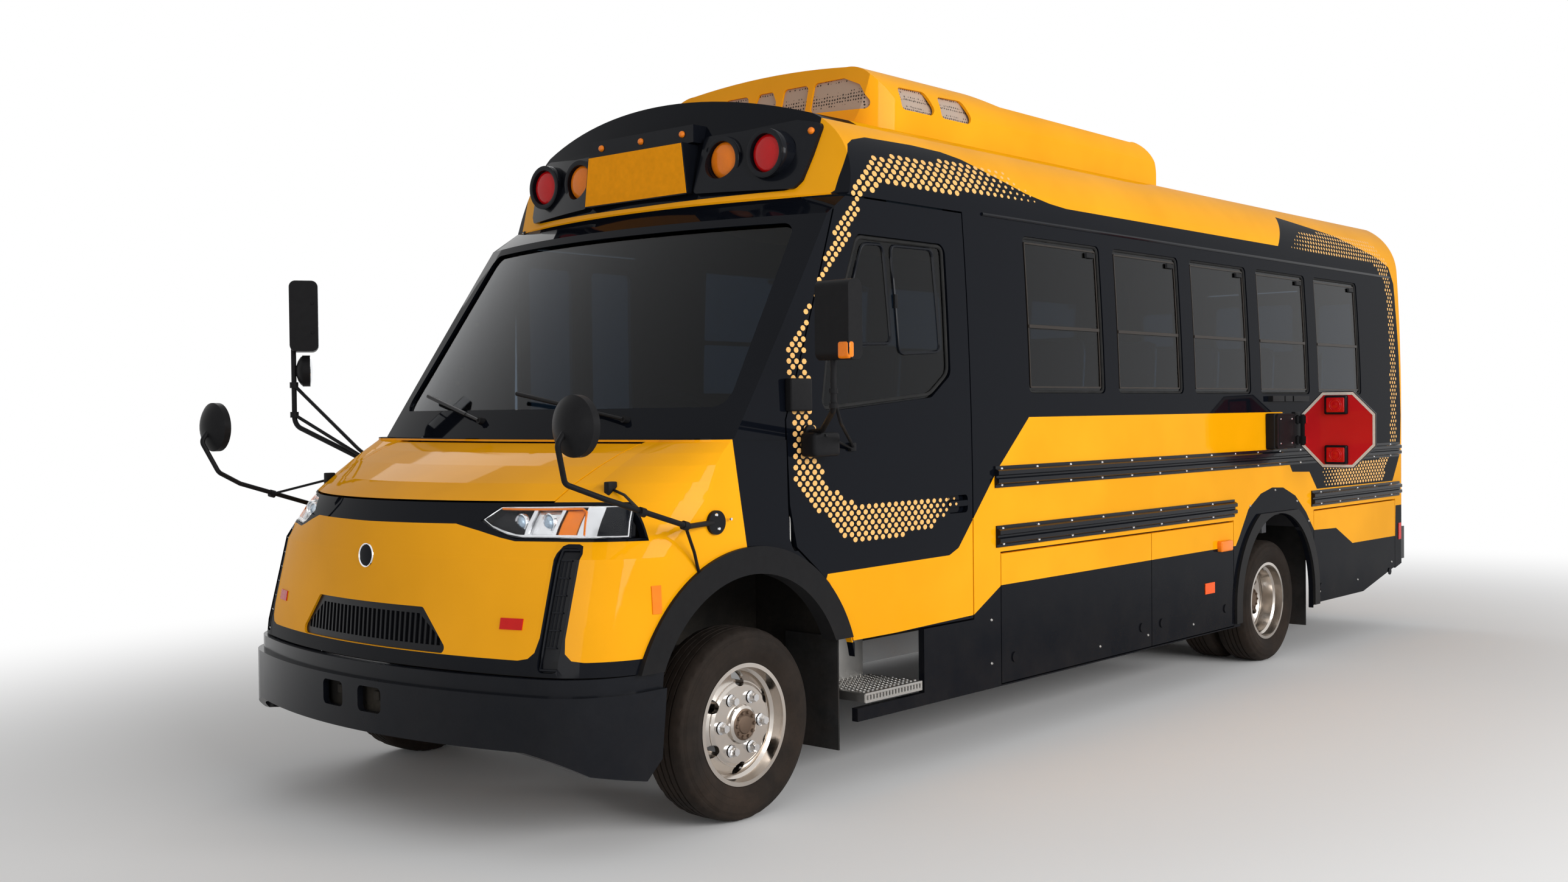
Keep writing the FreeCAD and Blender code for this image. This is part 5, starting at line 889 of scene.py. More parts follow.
def rail_bolts():
    """Pairs of plated screws along every rub rail."""
    low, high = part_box("rub_rails")
    rows = []
    for sign in (1, -1):
        y = low.y + 0.05
        while y < high.y:
            for start, end in rail_runs(y, sign):
                for z in (start + 0.012, end - 0.012):
                    hit, _ = outside(RAIL_SKIN, y, z, sign)
                    rows.append((hit + Vector((sign * 0.001, 0, 0)), Vector((sign, 0, 0))))
            y += 0.305
    bolts("rub_rail_screws", rows, 0.0065, 0.004, 10, CHROME, "coach")


rail_bolts()


def add_sheet(bm, places, proud, sink):
    """Closed thin sheet over a grid of (point, way out) on a skin."""
    outer = [[bm.verts.new(hit + way * proud) for hit, way in row] for row in places]
    inner = [[bm.verts.new(hit - way * sink) for hit, way in row] for row in places]
    close_sheet(bm, outer, inner)


def side_patch(name, y0, y1, z0, z1, sign, material):
    """Thin patch on a side, between two distances behind the front axle and two heights."""
    bm = bmesh.new()
    rows = []
    for i in range(5):
        y = FRONT_AXLE + y0 + (y1 - y0) * i / 4
        rows.append([outside(BODY_SKIN, y, z0 + (z1 - z0) * k / 4, sign) for k in range(5)])
    add_sheet(bm, rows, 0.004, 0.004)
    build_piece(name, bm, material)


def front_patch(name, skin, corners, steps, proud, sink, material):
    """Four-cornered sheet on the front, through (x, z) corners in order round it."""
    bm = bmesh.new()
    a, b, c, d = corners
    rows = []
    for i in range(steps + 1):
        foot, top = between(a, b, i / steps), between(d, c, i / steps)
        rows.append([ahead_of(skin, *between(foot, top, k / steps)) for k in range(steps + 1)])
    add_sheet(bm, rows, proud, sink)
    build_piece(name, bm, material)


# Halftone bands, set out by Geometry Nodes
DOOR_BAND = [
    (0.717, 2.493), (0.634, 2.391), (0.532, 2.258), (0.454, 2.118), (0.400, 2.029), (0.337, 1.941),
    (0.267, 1.855), (0.217, 1.770), (0.230, 1.687), (0.233, 1.574), (0.256, 1.496), (0.253, 1.281),
    (0.315, 1.231), (0.441, 1.139), (0.573, 1.045), (0.662, 1.026), (0.837, 1.033), (1.118, 1.040),
    (1.449, 1.187), (1.215, 1.188), (0.950, 1.181), (0.781, 1.173), (0.659, 1.177), (0.561, 1.207),
    (0.468, 1.272), (0.405, 1.348), (0.385, 1.494), (0.363, 1.591), (0.353, 1.749), (0.341, 1.869),
    (0.374, 1.943), (0.438, 2.043), (0.501, 2.108), (0.576, 2.199), (0.651, 2.280), (0.746, 2.433),
]
ROOF_BAND = [
    (0.717, 2.493), (0.776, 2.577), (0.843, 2.624), (0.920, 2.654), (0.994, 2.663), (1.400, 2.685),
    (1.902, 2.692), (2.180, 2.554), (1.989, 2.550), (1.654, 2.547), (1.222, 2.532), (0.912, 2.520),
    (0.840, 2.493), (0.798, 2.476), (0.746, 2.433),
]
REAR_BAND = [
    (5.341, 2.689), (5.949, 2.703), (6.536, 2.701), (6.605, 2.655), (6.690, 2.587), (6.716, 2.534),
    (6.716, 2.467), (6.755, 2.298), (6.760, 2.148), (6.756, 1.965), (6.740, 1.635), (6.728, 1.305),
    (6.604, 1.305), (6.628, 1.635), (6.640, 1.965), (6.648, 2.144), (6.640, 2.314), (6.600, 2.450),
    (6.553, 2.468), (6.478, 2.528), (6.373, 2.558), (5.875, 2.551), (5.375, 2.546), (5.060, 2.558),
]
REAR_PATCH = [
    (5.384, 1.160), (6.012, 1.192), (6.600, 1.209), (6.440, 1.050), (5.960, 1.046), (5.471, 1.050),
]


def halftone_dot(wrap, entry):
    """Flat rounded lozenge laid along the skin; a stored size fades it."""
    sizes = {"Vertices": 8, "Radius": 0.5, "Depth": entry["Film thickness"]}
    disc = wrap.add("GeometryNodeMeshCylinder", sizes, fill_type="NGON").outputs[0]
    size = wrap.stored("size", "FLOAT")
    spread = {"X": wrap.times(entry["Dot length"], size), "Y": wrap.times(entry["Dot height"], size),
              "Z": 1.0}
    scale = wrap.add("ShaderNodeCombineXYZ", spread).outputs[0]
    return {"Instance": disc, "Rotation": wrap.facing_and("X", (0.0, 1.0, 0.0)), "Scale": scale}


DOT_INPUTS = [
    ("Dot length", "Float", 0.027), ("Dot height", "Float", 0.021), ("Film thickness", "Float", 0.0008),
]
DOT_TREE = point_tree("halftone_dots", "Dots", DOT_INPUTS, halftone_dot)


def inside(outline, y, z):
    """Whether a point lies in a closed outline."""
    held = False
    for (y0, z0), (y1, z1) in zip(outline, outline[1:] + outline[:1]):
        if (z0 > z) != (z1 > z) and y < (y1 - y0) * (z - z0) / (z1 - z0) + y0:
            held = not held
    return held


def lattice(outline, pitch, rise, fade):
    """Staggered rows of points in an outline, with a size for each from fade(y, z)."""
    ys, zs = zip(*outline)
    low_y, high_y = min(ys), max(ys)
    z, top = min(zs) + rise * 0.5, max(zs)
    row = 0
    points = []
    while z < top:
        y = low_y + (pitch / 2 if row % 2 else 0.0)
        while y < high_y:
            if inside(outline, y, z):
                size = fade(y, z)
                if size > 0.15:
                    points.append((y, z, size))
            y += pitch
        z += rise
        row += 1
    return points


def fall(value, start, end):
    """1 before start and 0 after end."""
    return min(1.0, max(0.0, (end - value) / (end - start)))


def door_fade(y, z):
    return 0.35 + 0.65 * fall(y, 1.14, 1.46)


def roof_fade(y, z):
    return 0.30 + 0.70 * fall(y, 1.62, 2.16)


def rear_fade(y, z):
    return 0.35 + 0.65 * (1.0 - fall(y, 5.08, 5.42)) if z > 2.5 else 1.0


def patch_fade(y, z):
    return 0.45 + 0.55 * (1.0 - fall(y, 5.42, 5.70))


DOOR_SKIN = skin_of("driver_door")
WALL_SKIN = skin_of("left_side_wall", "front_cap", "nose", "roof", "rear_wall", "right_side_wall")


def dots(name, points, skin, body, length, height, sign=1):
    rows = []
    sizes = []
    for y, z, size in points:
        hit, normal = outside(skin, FRONT_AXLE + y, z, sign)
        if hit is None or abs(hit.x) < 0.9:
            continue
        rows.append((hit + normal * 0.0002, normal))
        sizes.append(size)
    cloud = point_cloud(name, rows)
    cloud.attributes.new("size", "FLOAT", "POINT").data.foreach_set("value", sizes)
    values = {"Dot length": length, "Dot height": height, "Film thickness": 0.0010, "Finish": DOT_VINYL}
    link_piece(name, grown(name, DOT_TREE, cloud, values), DOT_VINYL, body, 30.0)


def on_door(point):
    """Whether the outermost skin there is the driver's door."""
    door, _ = outside(DOOR_SKIN, FRONT_AXLE + point[0], point[1], 1)
    return door is not None and door.x > 1.0


def halftone():
    """The fading dot bands of both sides."""
    band = lattice(DOOR_BAND, 0.0460, 0.0220, door_fade)
    sweep = lattice(ROOF_BAND, 0.0570, 0.0240, roof_fade)
    rear = lattice(REAR_BAND, 0.0420, 0.0270, rear_fade)
    patch = lattice(REAR_PATCH, 0.0480, 0.0210, patch_fade)
    door = [p for p in band if on_door(p)]
    wall = [p for p in band if not on_door(p)]
    over = [p for p in sweep if not on_door(p)]
    dots("halftone_on_door", door, DOOR_SKIN, "driver_door", 0.0290, 0.0225)
    dots("halftone_by_door", wall, WALL_SKIN, "coach", 0.0290, 0.0225)
    dots("halftone_over_door", over, WALL_SKIN, "coach", 0.0350, 0.0260)
    dots("halftone_rear_left", rear, WALL_SKIN, "coach", 0.0215, 0.0215)
    dots("halftone_patch_left", patch, WALL_SKIN, "coach", 0.0300, 0.0200)
    dots("halftone_rear_right", rear, WALL_SKIN, "coach", 0.0250, 0.0250, -1)
    dots("halftone_patch_right", patch, WALL_SKIN, "coach", 0.0300, 0.0200, -1)


halftone()


# Roof lamps, markers and the blank board
def lamp_dome(bm, centre, axis, radius, bulge, rim=0.004):
    """Shallow lens with a stepped rim, standing on its base plane."""
    rows = [(-rim * 2, radius * 0.98), (0.0, radius), (rim * 0.8, radius * 0.98)]
    for k in range(1, 9):
        turn = k / 8 * math.pi / 2
        rows.append((rim * 0.8 + bulge * math.sin(turn), radius * 0.97 * math.cos(turn)))
    add_revolve(bm, centre, axis, rows, 40)


WARNING_LAMPS = [("red", 0.716, 0.571, 2.657, RED_LENS), ("amber", 0.463, 0.575, 2.655, AMBER_LENS)]


def roof_lamps():
    """Red outer and amber inner warning lamps in their pods, front."""
    bm = bmesh.new()
    outer = [(0.002, 0.0820), (0.0245, 0.0840), (0.0262, 0.0900), (0.0250, 0.1005), (0.0200, 0.1042),
             (-0.006, 0.1044)]
    for colour, x, y, z, material in WARNING_LAMPS:
        lens = bmesh.new()
        for sign in (1, -1):
            lamp_dome(lens, at(sign * x, y - 0.0005, z), (0, -1, 0), 0.0815, 0.016)
            for rows in (outer, (outer[0], outer[-1])):
                add_revolve(bm, at(sign * x, y, z), (0, -1, 0), rows, 56)
        build_piece("warning_lens_" + colour, lens, material, 50.0)
    build_piece("lamp_ring_seals", bm, GLOSS_TRIM)


PANEL_SKIN = skin_of("lamp_panel", "front_cap")


def sign_board():
    """Blank yellow board between the lamps."""
    corners = [(-0.328, 2.520), (0.328, 2.520), (0.299, 2.739), (-0.299, 2.739)]
    front_patch("blank_sign_board", PANEL_SKIN, corners, 8, 0.003, 0.002, BOARD_YELLOW)


def marker_lamps():
    """Small amber lamps on the strip, at the roof's corners and on the sides."""
    bm = bmesh.new()
    for x, z in ((-0.262, 2.786), (0.0, 2.786), (0.262, 2.786), (0.872, 2.745), (-0.872, 2.745)):
        hit, normal = ahead_of(PANEL_SKIN, x, z)
        lamp_dome(bm, hit, normal, 0.0155, 0.012, 0.003)
    build_piece("marker_lamps", bm, AMBER_LENS, 50.0)
    bm = bmesh.new()
    for sign in (1, -1):
        hit, _ = outside(BODY_SKIN, FRONT_AXLE + 3.995, 0.770, sign)
        add_block(bm, (hit.x - sign * 0.004 if sign > 0 else hit.x - 0.030, hit.y - 0.073, hit.z - 0.031),
                  (hit.x + 0.030 if sign > 0 else hit.x + 0.004, hit.y + 0.073, hit.z + 0.031), 0.011, 3)
    build_piece("side_markers", bm, AMBER_LENS, 50.0)


roof_lamps()
sign_board()
marker_lamps()
for sign, side in SIDES:
    side_patch("side_reflector_" + side, 3.764, 3.881, 0.512, 0.573, sign, ORANGE_REFLECTOR)
    side_patch("rear_reflector_" + side, 6.752, 6.800, 0.618, 0.734, sign, RED_REFLECTOR)


FAIRING_SHELL = skin_of("roof_fairing")


def fairing_side_sheets():
    """Perforated sheets behind the side openings of the roof fairing; their holes are painted dark as
    painted shade.
    """
    bm = bmesh.new()
    for sign in (1, -1):
        for y0, y1 in ((1.500, 1.8125), (1.8125, 2.118)):
            rows = [[outside(FAIRING_SHELL, FRONT_AXLE + y, z, sign) for z in (2.962, 3.098)]
                    for y in (y0, y1)]
            add_sheet(bm, rows, -0.011, 0.013)
    build_piece("fairing_side_sheets", bm, GRILLE_MOULDING, 30.0)


fairing_side_sheets()


# Small blocks set out by Geometry Nodes: rungs, latches and teeth
def set_block(wrap, entry):
    """Chamfered block, turned along its point's way; a stored vector gives its size."""
    sizes = {"Vertices": 4, "Radius Bottom": 0.70711, "Radius Top": entry["Taper"], "Depth": 1.0}
    cone = wrap.add("GeometryNodeMeshCone", sizes, fill_type="NGON").outputs[0]
    eighth = (0.0, 0.0, math.radians(45.0))
    block = wrap.add("GeometryNodeTransform", {"Geometry": cone, "Rotation": eighth}).outputs[0]
    return {"Instance": block, "Rotation": wrap.facing_and("Y", (0.0, 0.0, 1.0)),
            "Scale": wrap.stored("size")}


BLOCK_TREE = point_tree("set_blocks", "Blocks", [("Taper", "Float", 0.62)], set_block)


def blocks(name, rows, material):
    """One piece with a block at each (place, way, (across, up, deep))."""
    cloud = point_cloud(name, [(place, way) for place, way, _ in rows])
    stored = cloud.attributes.new("size", "FLOAT_VECTOR", "POINT")
    for point, (_, _, size) in zip(stored.data, rows):
        point.vector = size
    mesh = grown(name, BLOCK_TREE, cloud, {"Taper": 0.62, "Finish": material})
    link_piece(name, mesh, material, "coach", 20.0)


# Headlamps
LAMP_SKIN = skin_of("headlamps")


def height_at(x, points):
    """Height on an open line of (x, z) points."""
    for (x0, z0), (x1, z1) in zip(points, points[1:]):
        if x0 <= x <= x1:
            return z0 + (z1 - z0) * (x - x0) / (x1 - x0)
    return points[-1][1] if x > points[-1][0] else points[0][1]


LENS_TIP, LENS_END, LENS_LEAN = 0.546, 1.050, 0.036
LENS_TOP = [(0.546, 1.182), (0.600, 1.2305), (1.052, 1.2360)]
LENS_FOOT = [(0.546, 1.178), (0.640, 1.1365), (0.700, 1.1205), (1.052, 1.1215)]


def lens_point(sign, x, share, depth):
    """Place on the lamp's face: x across, share from foot to top, depth behind the face."""
    low, high = height_at(x, LENS_FOOT), height_at(x, LENS_TOP)
    z = low + (high - low) * share
    x -= LENS_LEAN * share * ((x - LENS_TIP) / (LENS_END - LENS_TIP)) ** 2
    inward = 1.0 if x < 0.8 else -1.0
    for step in range(30):
        toward = (low + high) / 2 + (z - (low + high) / 2) * (1.0 - 0.02 * step)
        hit, _ = ahead_of(LAMP_SKIN, sign * (x + inward * 0.0008 * step), toward)
        if hit is not None:
            break
    return Vector((sign * (x - depth * 0.35), hit.y + depth * 0.94, z))


def lamp_sheet(bm, sign, x0, x1, share0, share1, depth, thick, columns=14, rows=4):
    """Closed sheet that follows the lamp's face at a depth."""
    front, back = [], []
    for i in range(columns + 1):
        x = x0 + (x1 - x0) * i / columns
        shares = [share0 + (share1 - share0) * k / rows for k in range(rows + 1)]
        front.append([bm.verts.new(lens_point(sign, x, s, depth)) for s in shares])
        back.append([bm.verts.new(lens_point(sign, x, s, depth + thick)) for s in shares])
    for grid in (front, back):
        for first, second in zip(grid, grid[1:]):
            bridge(bm, first, second, closed=False)
    bridge(bm, front[0], back[0], closed=False)
    bridge(bm, front[-1], back[-1], closed=False)
    bridge(bm, [row[0] for row in front], [row[0] for row in back], closed=False)
    bridge(bm, [row[-1] for row in front], [row[-1] for row in back], closed=False)


def lamp_loop(sign, places, depth):
    return [lens_point(sign, x, share, depth) for x, share in places]


def headlamp(sign, side):
    """Housing, reflectors, projectors, indicator and clear cover of one headlamp."""
    bucket = bmesh.new()
    lamp_sheet(bucket, sign, 0.549, 1.050, 0.0, 1.0, 0.036, 0.003, 24)
    lamp_sheet(bucket, sign, 0.549, 1.050, 0.955, 1.0, 0.004, 0.034, 24, 1)
    lamp_sheet(bucket, sign, 0.549, 1.050, 0.0, 0.045, 0.004, 0.034, 24, 1)
    lamp_sheet(bucket, sign, 0.600, 0.722, 0.12, 0.86, 0.026, 0.004)
    lamp_sheet(bucket, sign, 0.968, 1.050, 0.03, 0.97, 0.004, 0.006)
    housing = build_piece("headlamp_housing_" + side, bucket, GLOSS_TRIM, 35.0)
    bright = bmesh.new()
    lamp_sheet(bright, sign, 0.738, 0.818, 0.10, 0.84, 0.024, 0.004)
    lamp_sheet(bright, sign, 0.905, 0.966, 0.04, 0.96, 0.006, 0.022)
    lamp_sheet(bright, sign, 0.722, 0.735, 0.06, 0.86, 0.006, 0.020, 2)
    lamp_sheet(bright, sign, 0.818, 0.830, 0.06, 0.86, 0.006, 0.020, 2)
    lamp_sheet(bright, sign, 0.592, 0.905, 0.035, 0.10, 0.006, 0.014, 16, 1)
    stations = (0.60, 0.66, 0.72, 0.78, 0.84, 0.90, 0.96, 1.02)
    outline = [(x, 0.955) for x in (*stations, 1.044)] + [(1.044, 0.5), (1.044, 0.045)]
    outline += [(x, 0.045) for x in reversed(stations)] + [(0.556, 0.5)]
    add_tube(bright, lamp_loop(sign, outline, 0.0045), 0.0032, 8, closed=True)
    for x, radius in ((0.690, 0.0290), (0.786, 0.0320)):
        centre = lens_point(sign, x, 0.47, 0.020)
        rows = [(-0.010, radius * 1.12), (0.003, radius * 1.10), (0.006, radius), (0.002, radius * 0.84),
                (-0.012, radius * 0.80), (-0.012, radius * 1.0), (-0.010, radius * 1.12)]
        add_revolve(bright, centre, (0, -1, 0), rows, 36)
    build_piece("headlamp_reflectors_" + side, bright, CHROME, 35.0)
    glass = bmesh.new()
    for x, radius in ((0.690, 0.0245), (0.786, 0.0270)):
        centre = lens_point(sign, x, 0.47, 0.024)
        turns = [math.pi / 2 * k / 8 for k in range(9)]
        rows = [(radius * 0.62 * math.sin(turn), radius * math.cos(turn)) for turn in turns]
        add_revolve(glass, centre, (0, -1, 0), [(0.0, 0.0)] + rows, 32)
    build_piece("headlamp_projectors_" + side, glass, PROJECTOR_GLASS, 60.0)
    amber = bmesh.new()
    lamp_sheet(amber, sign, 0.836, 0.898, 0.08, 0.82, 0.012, 0.006)
    strip = [(x, 0.895) for x in (0.603, 0.66, 0.72, 0.78, 0.84, 0.885)]
    strip += [(0.905, 0.80), (0.918, 0.45), (0.928, 0.10)]
    add_tube(amber, lamp_loop(sign, strip, 0.0055), 0.0040, 8)
    build_piece("headlamp_indicator_" + side, amber, AMBER_LENS, 35.0)
    cover = bmesh.new()
    lamp_sheet(cover, sign, 0.5475, 1.0515, 0.0, 1.0, -0.0005, 0.0022, 30, 6)
    build_piece("headlamp_cover_" + side, cover, CLEAR_COVER, 60.0)
    return housing


for sign, side in SIDES:
    lamp_housing = headlamp(sign, side)
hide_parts("headlamps")


# Nose: louvres, badge and reflectors
NOSE_SKIN = skin_of("nose", "grilles", "hood", "front_bumper")
LOUVRE_EDGE = [(0.877, 0.668), (0.941, 0.668), (0.941, 1.080), (0.877, 1.080)]
REFLECTOR_EDGE = [(0.700, 0.802), (0.790, 0.802), (0.790, 0.842), (0.700, 0.842)]


def mirrored(sign, places):
    return [(sign * x, z) for x, z in places]


def louvre_ribs():
    """Three upright ribs tied by short rungs in each corner louvre."""
    bm = bmesh.new()
    rows = []
    for sign in (1, -1):
        for x in (0.892, 0.906, 0.920):
            path = []
            for k in range(12):
                hit, normal = ahead_of(NOSE_SKIN, sign * x, 0.745 + 0.300 * k / 11)
                path.append(hit + normal * 0.0015)
            add_tube(bm, path, 0.0026, 6)
        for z in (0.745, 0.805, 0.865, 0.925, 0.985, 1.045):
            hit, normal = ahead_of(NOSE_SKIN, sign * 0.906, z)
            rows.append((hit + normal * 0.002, normal, (0.046, 0.005, 0.006)))
    build_piece("louvre_ribs", bm, GLOSS_TRIM, 50.0)
    blocks("louvre_rungs", rows, GLOSS_TRIM)


def louvre_frames():
    bm = bmesh.new()
    for sign in (1, -1):
        path = mirrored(sign, LOUVRE_EDGE)
        points = []
        for first, second in zip(path, path[1:] + path[:1]):
            for k in range(8):
                hit, normal = ahead_of(NOSE_SKIN, *between(first, second, k / 8))
                points.append(hit + normal * 0.004)
        add_tube(bm, points, 0.0055, 8, closed=True)
    build_piece("louvre_frames", bm, GLOSS_TRIM, 50.0)


def badge():
    """Round dished badge, left bare, in a bright ring."""
    hit, normal = ahead_of(NOSE_SKIN, 0.0, 1.035)
    bm = bmesh.new()
    rows = [(-0.006, 0.046), (0.002, 0.047), (0.0055, 0.0455), (0.0055, 0.0425), (0.0035, 0.0405),
            (-0.006, 0.0405), (-0.006, 0.046)]
    add_revolve(bm, hit, normal, rows, 56)
    build_piece("badge_ring", bm, CHROME, 30.0)
    bm = bmesh.new()
    rows = [(-0.005, 0.0), (-0.005, 0.0403), (0.0025, 0.0403), (0.0035, 0.036), (0.0055, 0.020),
            (0.0062, 0.0)]
    add_revolve(bm, hit, normal, rows, 48)
    build_piece("badge_disc", bm, BLACK_LACQUER)


def nose_reflectors():
    for sign, side in SIDES:
        edge = mirrored(sign, REFLECTOR_EDGE)
        front_patch("nose_reflector_" + side, BODY_SKIN, edge, 6, 0.004, 0.003, RED_REFLECTOR)
        side_patch("corner_reflector_" + side, -0.520, -0.480, 0.850, 0.950, sign, AMBER_LENS)


louvre_ribs()
louvre_frames()
badge()
nose_reflectors()


# Bumper pockets: dark liners behind the openings
def bumper_liners():
    bm = bmesh.new()
    for sign in (1, -1):
        middle = sign * 0.120
        add_block(bm, at(middle - 0.118, -0.985, 0.432), at(middle + 0.118, -0.965, 0.584), 0.003)
        add_block(bm, at(middle - 0.018, -1.000, 0.500), at(middle + 0.018, -0.960, 0.535), 0.006)
    build_piece("bumper_liners", bm, CHASSIS_BLACK, 30.0)


bumper_liners()


# Stop arm
SIGN_X, SIGN_Y, SIGN_Z = 1.430, FRONT_AXLE + 4.900, 1.420


def on_sign(x, y, z):
    """A place given from the middle of the sign, but for its distance from the bus's middle."""
    return (x, SIGN_Y + y, SIGN_Z + z)


def octagon_ring(bm, across, inner, y0, y1):
    corners = [math.radians(22.5 + 45 * k) for k in range(8)]
    loops = []
    for size, y in ((across, y0), (across, y1), (inner, y1), (inner, y0)):
        radius = size / 2 / math.cos(corners[0])
        places = [on_sign(SIGN_X + radius * math.cos(a), y, radius * math.sin(a)) for a in corners]
        loops.append(add_ring(bm, places))
    for first, second in zip(loops, loops[1:] + loops[:1]):
        bridge(bm, first, second)


LAMP_RISES, HINGE_RISES = (0.150, -0.150), (0.062, -0.062)
LENS_STEPS = [(-0.004, 0.040), (0.0010, 0.040), (0.0022, 0.037), (0.0012, 0.033), (0.0030, 0.028),
              (0.0018, 0.022), (0.0036, 0.012), (0.0040, 0.0)]


def stop_sign():
    """Reflective border, black lamp cases and red lamps on both faces."""
    left, right = SIGN_X - 0.0770, SIGN_X + 0.0630
    border, cases, lamps = bmesh.new(), bmesh.new(), bmesh.new()
    octagon_ring(border, 0.452, 0.420, -0.0052, -0.0035)
    octagon_ring(border, 0.452, 0.420, 0.0035, 0.0052)
    build_piece("sign_border", border, REFLECTIVE_WHITE, 20.0, "stop_arm")
    octagon_ring(cases, 0.4608, 0.4530, -0.0060, 0.0060)
    for dz in LAMP_RISES:
        add_block(cases, on_sign(left, -0.0262, dz - 0.0575), on_sign(right, 0.0262, dz + 0.0575), 0.012, 4)
    build_piece("sign_lamp_cases", cases, GLOSS_TRIM, 40.0, "stop_arm")
    left, right = left + 0.0120, right - 0.0120
    for dz in LAMP_RISES:
        add_block(lamps, on_sign(left, -0.0285, dz - 0.0460), on_sign(right, 0.0285, dz + 0.0460), 0.010, 4)
        for way in (1, -1):
            add_revolve(lamps, on_sign(SIGN_X - 0.0070, way * 0.0275, dz), (0, way, 0), LENS_STEPS, 40)
    build_piece("sign_lamps", lamps, RED_LENS, 30.0, "stop_arm")
    bm = bmesh.new()
    for dz in HINGE_RISES:
        add_block(bm, on_sign(1.166, -0.0115, dz - 0.0235), on_sign(1.236, 0.0115, dz + 0.0235), 0.004, 2)
        add_revolve(bm, on_sign(1.178, 0, dz), (0, 0, 1), collar(0.0228, 0.0168), 28)
    add_block(bm, on_sign(1.200, -0.0135, -0.095), on_sign(1.226, 0.0135, 0.095), 0.006, 2)
    build_piece("sign_brackets", bm, SATIN_BLACK, 30.0, "stop_arm")
    bm = bmesh.new()
    add_block(bm, on_sign(1.116, -0.325, -0.113), on_sign(1.176, -0.165, 0.103), 0.012, 3)
    add_block(bm, on_sign(1.186, -0.290, -0.095), on_sign(1.1925, -0.100, 0.085), 0.003, 2)
    build_piece("arm_motor_case", bm, SATIN_BLACK, 30.0)
    places = [on_sign(1.1925, dy, dz) for dy in (-0.275, -0.115) for dz in (-0.078, 0.068)]
    rows = [(Vector(place), Vector((1, 0, 0))) for place in places]
    bolts("motor_case_screws", rows, 0.0055, 0.004, 8, CHROME, "coach")


stop_sign()


# Mirrors
MIRROR_Y = FRONT_AXLE + 0.080


def left_mirror_trim():
    """Glass, corner lamp, base boxes and braces of the driver's mirror."""
    bm = bmesh.new()
    add_block(bm, (1.426, MIRROR_Y + 0.0385, 1.835), (1.556, MIRROR_Y + 0.0425, 2.034), 0.0015, 2)
    add_block(bm, (1.426, MIRROR_Y + 0.0385, 1.768), (1.556, MIRROR_Y + 0.0425, 1.826), 0.0015, 2)
    build_piece("mirror_glass_left", bm, MIRROR_GLASS, 30.0, "driver_door")
    bm = bmesh.new()
    add_block(bm, (1.516, MIRROR_Y - 0.0412, 1.756), (1.5722, MIRROR_Y - 0.0060, 1.822), 0.012, 3)
    build_piece("mirror_corner_lamp", bm, AMBER_LENS, 40.0, "driver_door")
    bm = bmesh.new()
    add_block(bm, at(1.1145, 0.292, 1.386), at(1.196, 0.452, 1.482), 0.020, 4)
    add_block(bm, at(1.1105, 0.210, 1.566), at(1.148, 0.338, 1.695), 0.010, 3)
    add_tube(bm, rounded_path([(1.452, MIRROR_Y + 0.010, 1.640), (1.400, MIRROR_Y + 0.120, 1.520),
                               at(1.128, 0.612, 1.420)], 0.03), 0.0065, 8)
    add_tube(bm, [at(1.196, 0.350, 1.470), at(1.128, 0.604, 1.412)], 0.0060, 8)
    add_block(bm, at(1.1105, 0.592, 1.400), at(1.134, 0.628, 1.436), 0.006, 2)
    for z in (1.640, 1.585):
        add_revolve(bm, (1.465, MIRROR_Y, z), (0, 0, 1), collar(0.009, 0.0165), 20)
    build_piece("mirror_brace_left", bm, SATIN_BLACK, 40.0, "driver_door")


left_mirror_trim()


def right_mirror_trim():
    """Braces, clamps and glass of the passenger side mirrors."""
    turn = math.radians(-32.0)
    centre = Vector(at(-1.568, -0.237, 2.045))

    def way(x, y, z):
        across, along = x * math.cos(turn) - y * math.sin(turn), x * math.sin(turn) + y * math.cos(turn)
        return Vector((across, along, z))

    def turned(x, y, z):
        return centre + way(x, y, z)

    bm = bmesh.new()
    for z0, z1 in ((-0.040, 0.150), (-0.150, -0.052)):
        corners = ((-0.070, z0), (0.070, z0), (0.070, z1), (-0.070, z1))
        add_slab(bm, [turned(x, 0.0655, z) for x, z in corners], way(0, 0.0030, 0))
    rows = [(0.0, 0.071), (0.004, 0.066), (0.010, 0.045), (0.013, 0.020), (0.014, 0.0)]
    add_revolve(bm, turned(0, 0.025, -0.260), way(0, 1, 0), [(0.0, 0.0)] + rows, 40)
    build_piece("mirror_glass_right", bm, MIRROR_GLASS)
    bm = bmesh.new()
    for z, reach in ((1.717, 1.372), (1.575, 1.350)):
        clamp = at(-1.588, -0.283, z)
        bend, foot = at(-1.180, -0.190, reach + 0.030), at(-1.118, -0.175, reach)
        add_tube(bm, rounded_path([clamp, bend, foot], 0.03), 0.0085, 8)
        add_revolve(bm, clamp, (0, 0, 1), collar(0.014, 0.020), 20)
    rows = [(0.0, 0.073), (0.010, 0.066), (0.022, 0.048), (0.030, 0.024), (0.032, 0.0)]
    add_revolve(bm, turned(0, -0.008, -0.260), way(0, -1, 0), [(0.0, 0.0)] + rows, 40)
    for z in (-0.08, 0.06):
        rows = [(-0.004, 0.0), (-0.004, 0.007), (0.003, 0.006), (0.003, 0.0)]
        add_revolve(bm, turned(0.086, 0.040, z), way(1, 0, 0), rows, 12)
    build_piece("mirror_brace_right", bm, SATIN_BLACK)


right_mirror_trim()


CROSSVIEW_STAYS = [
    [(1.198, -0.430, 1.158), (1.150, -0.340, 1.060), (1.122, -0.290, 0.985)],
    [(1.194, -0.640, 1.222), (1.000, -0.540, 1.272), (0.912, -0.520, 1.290)],
]


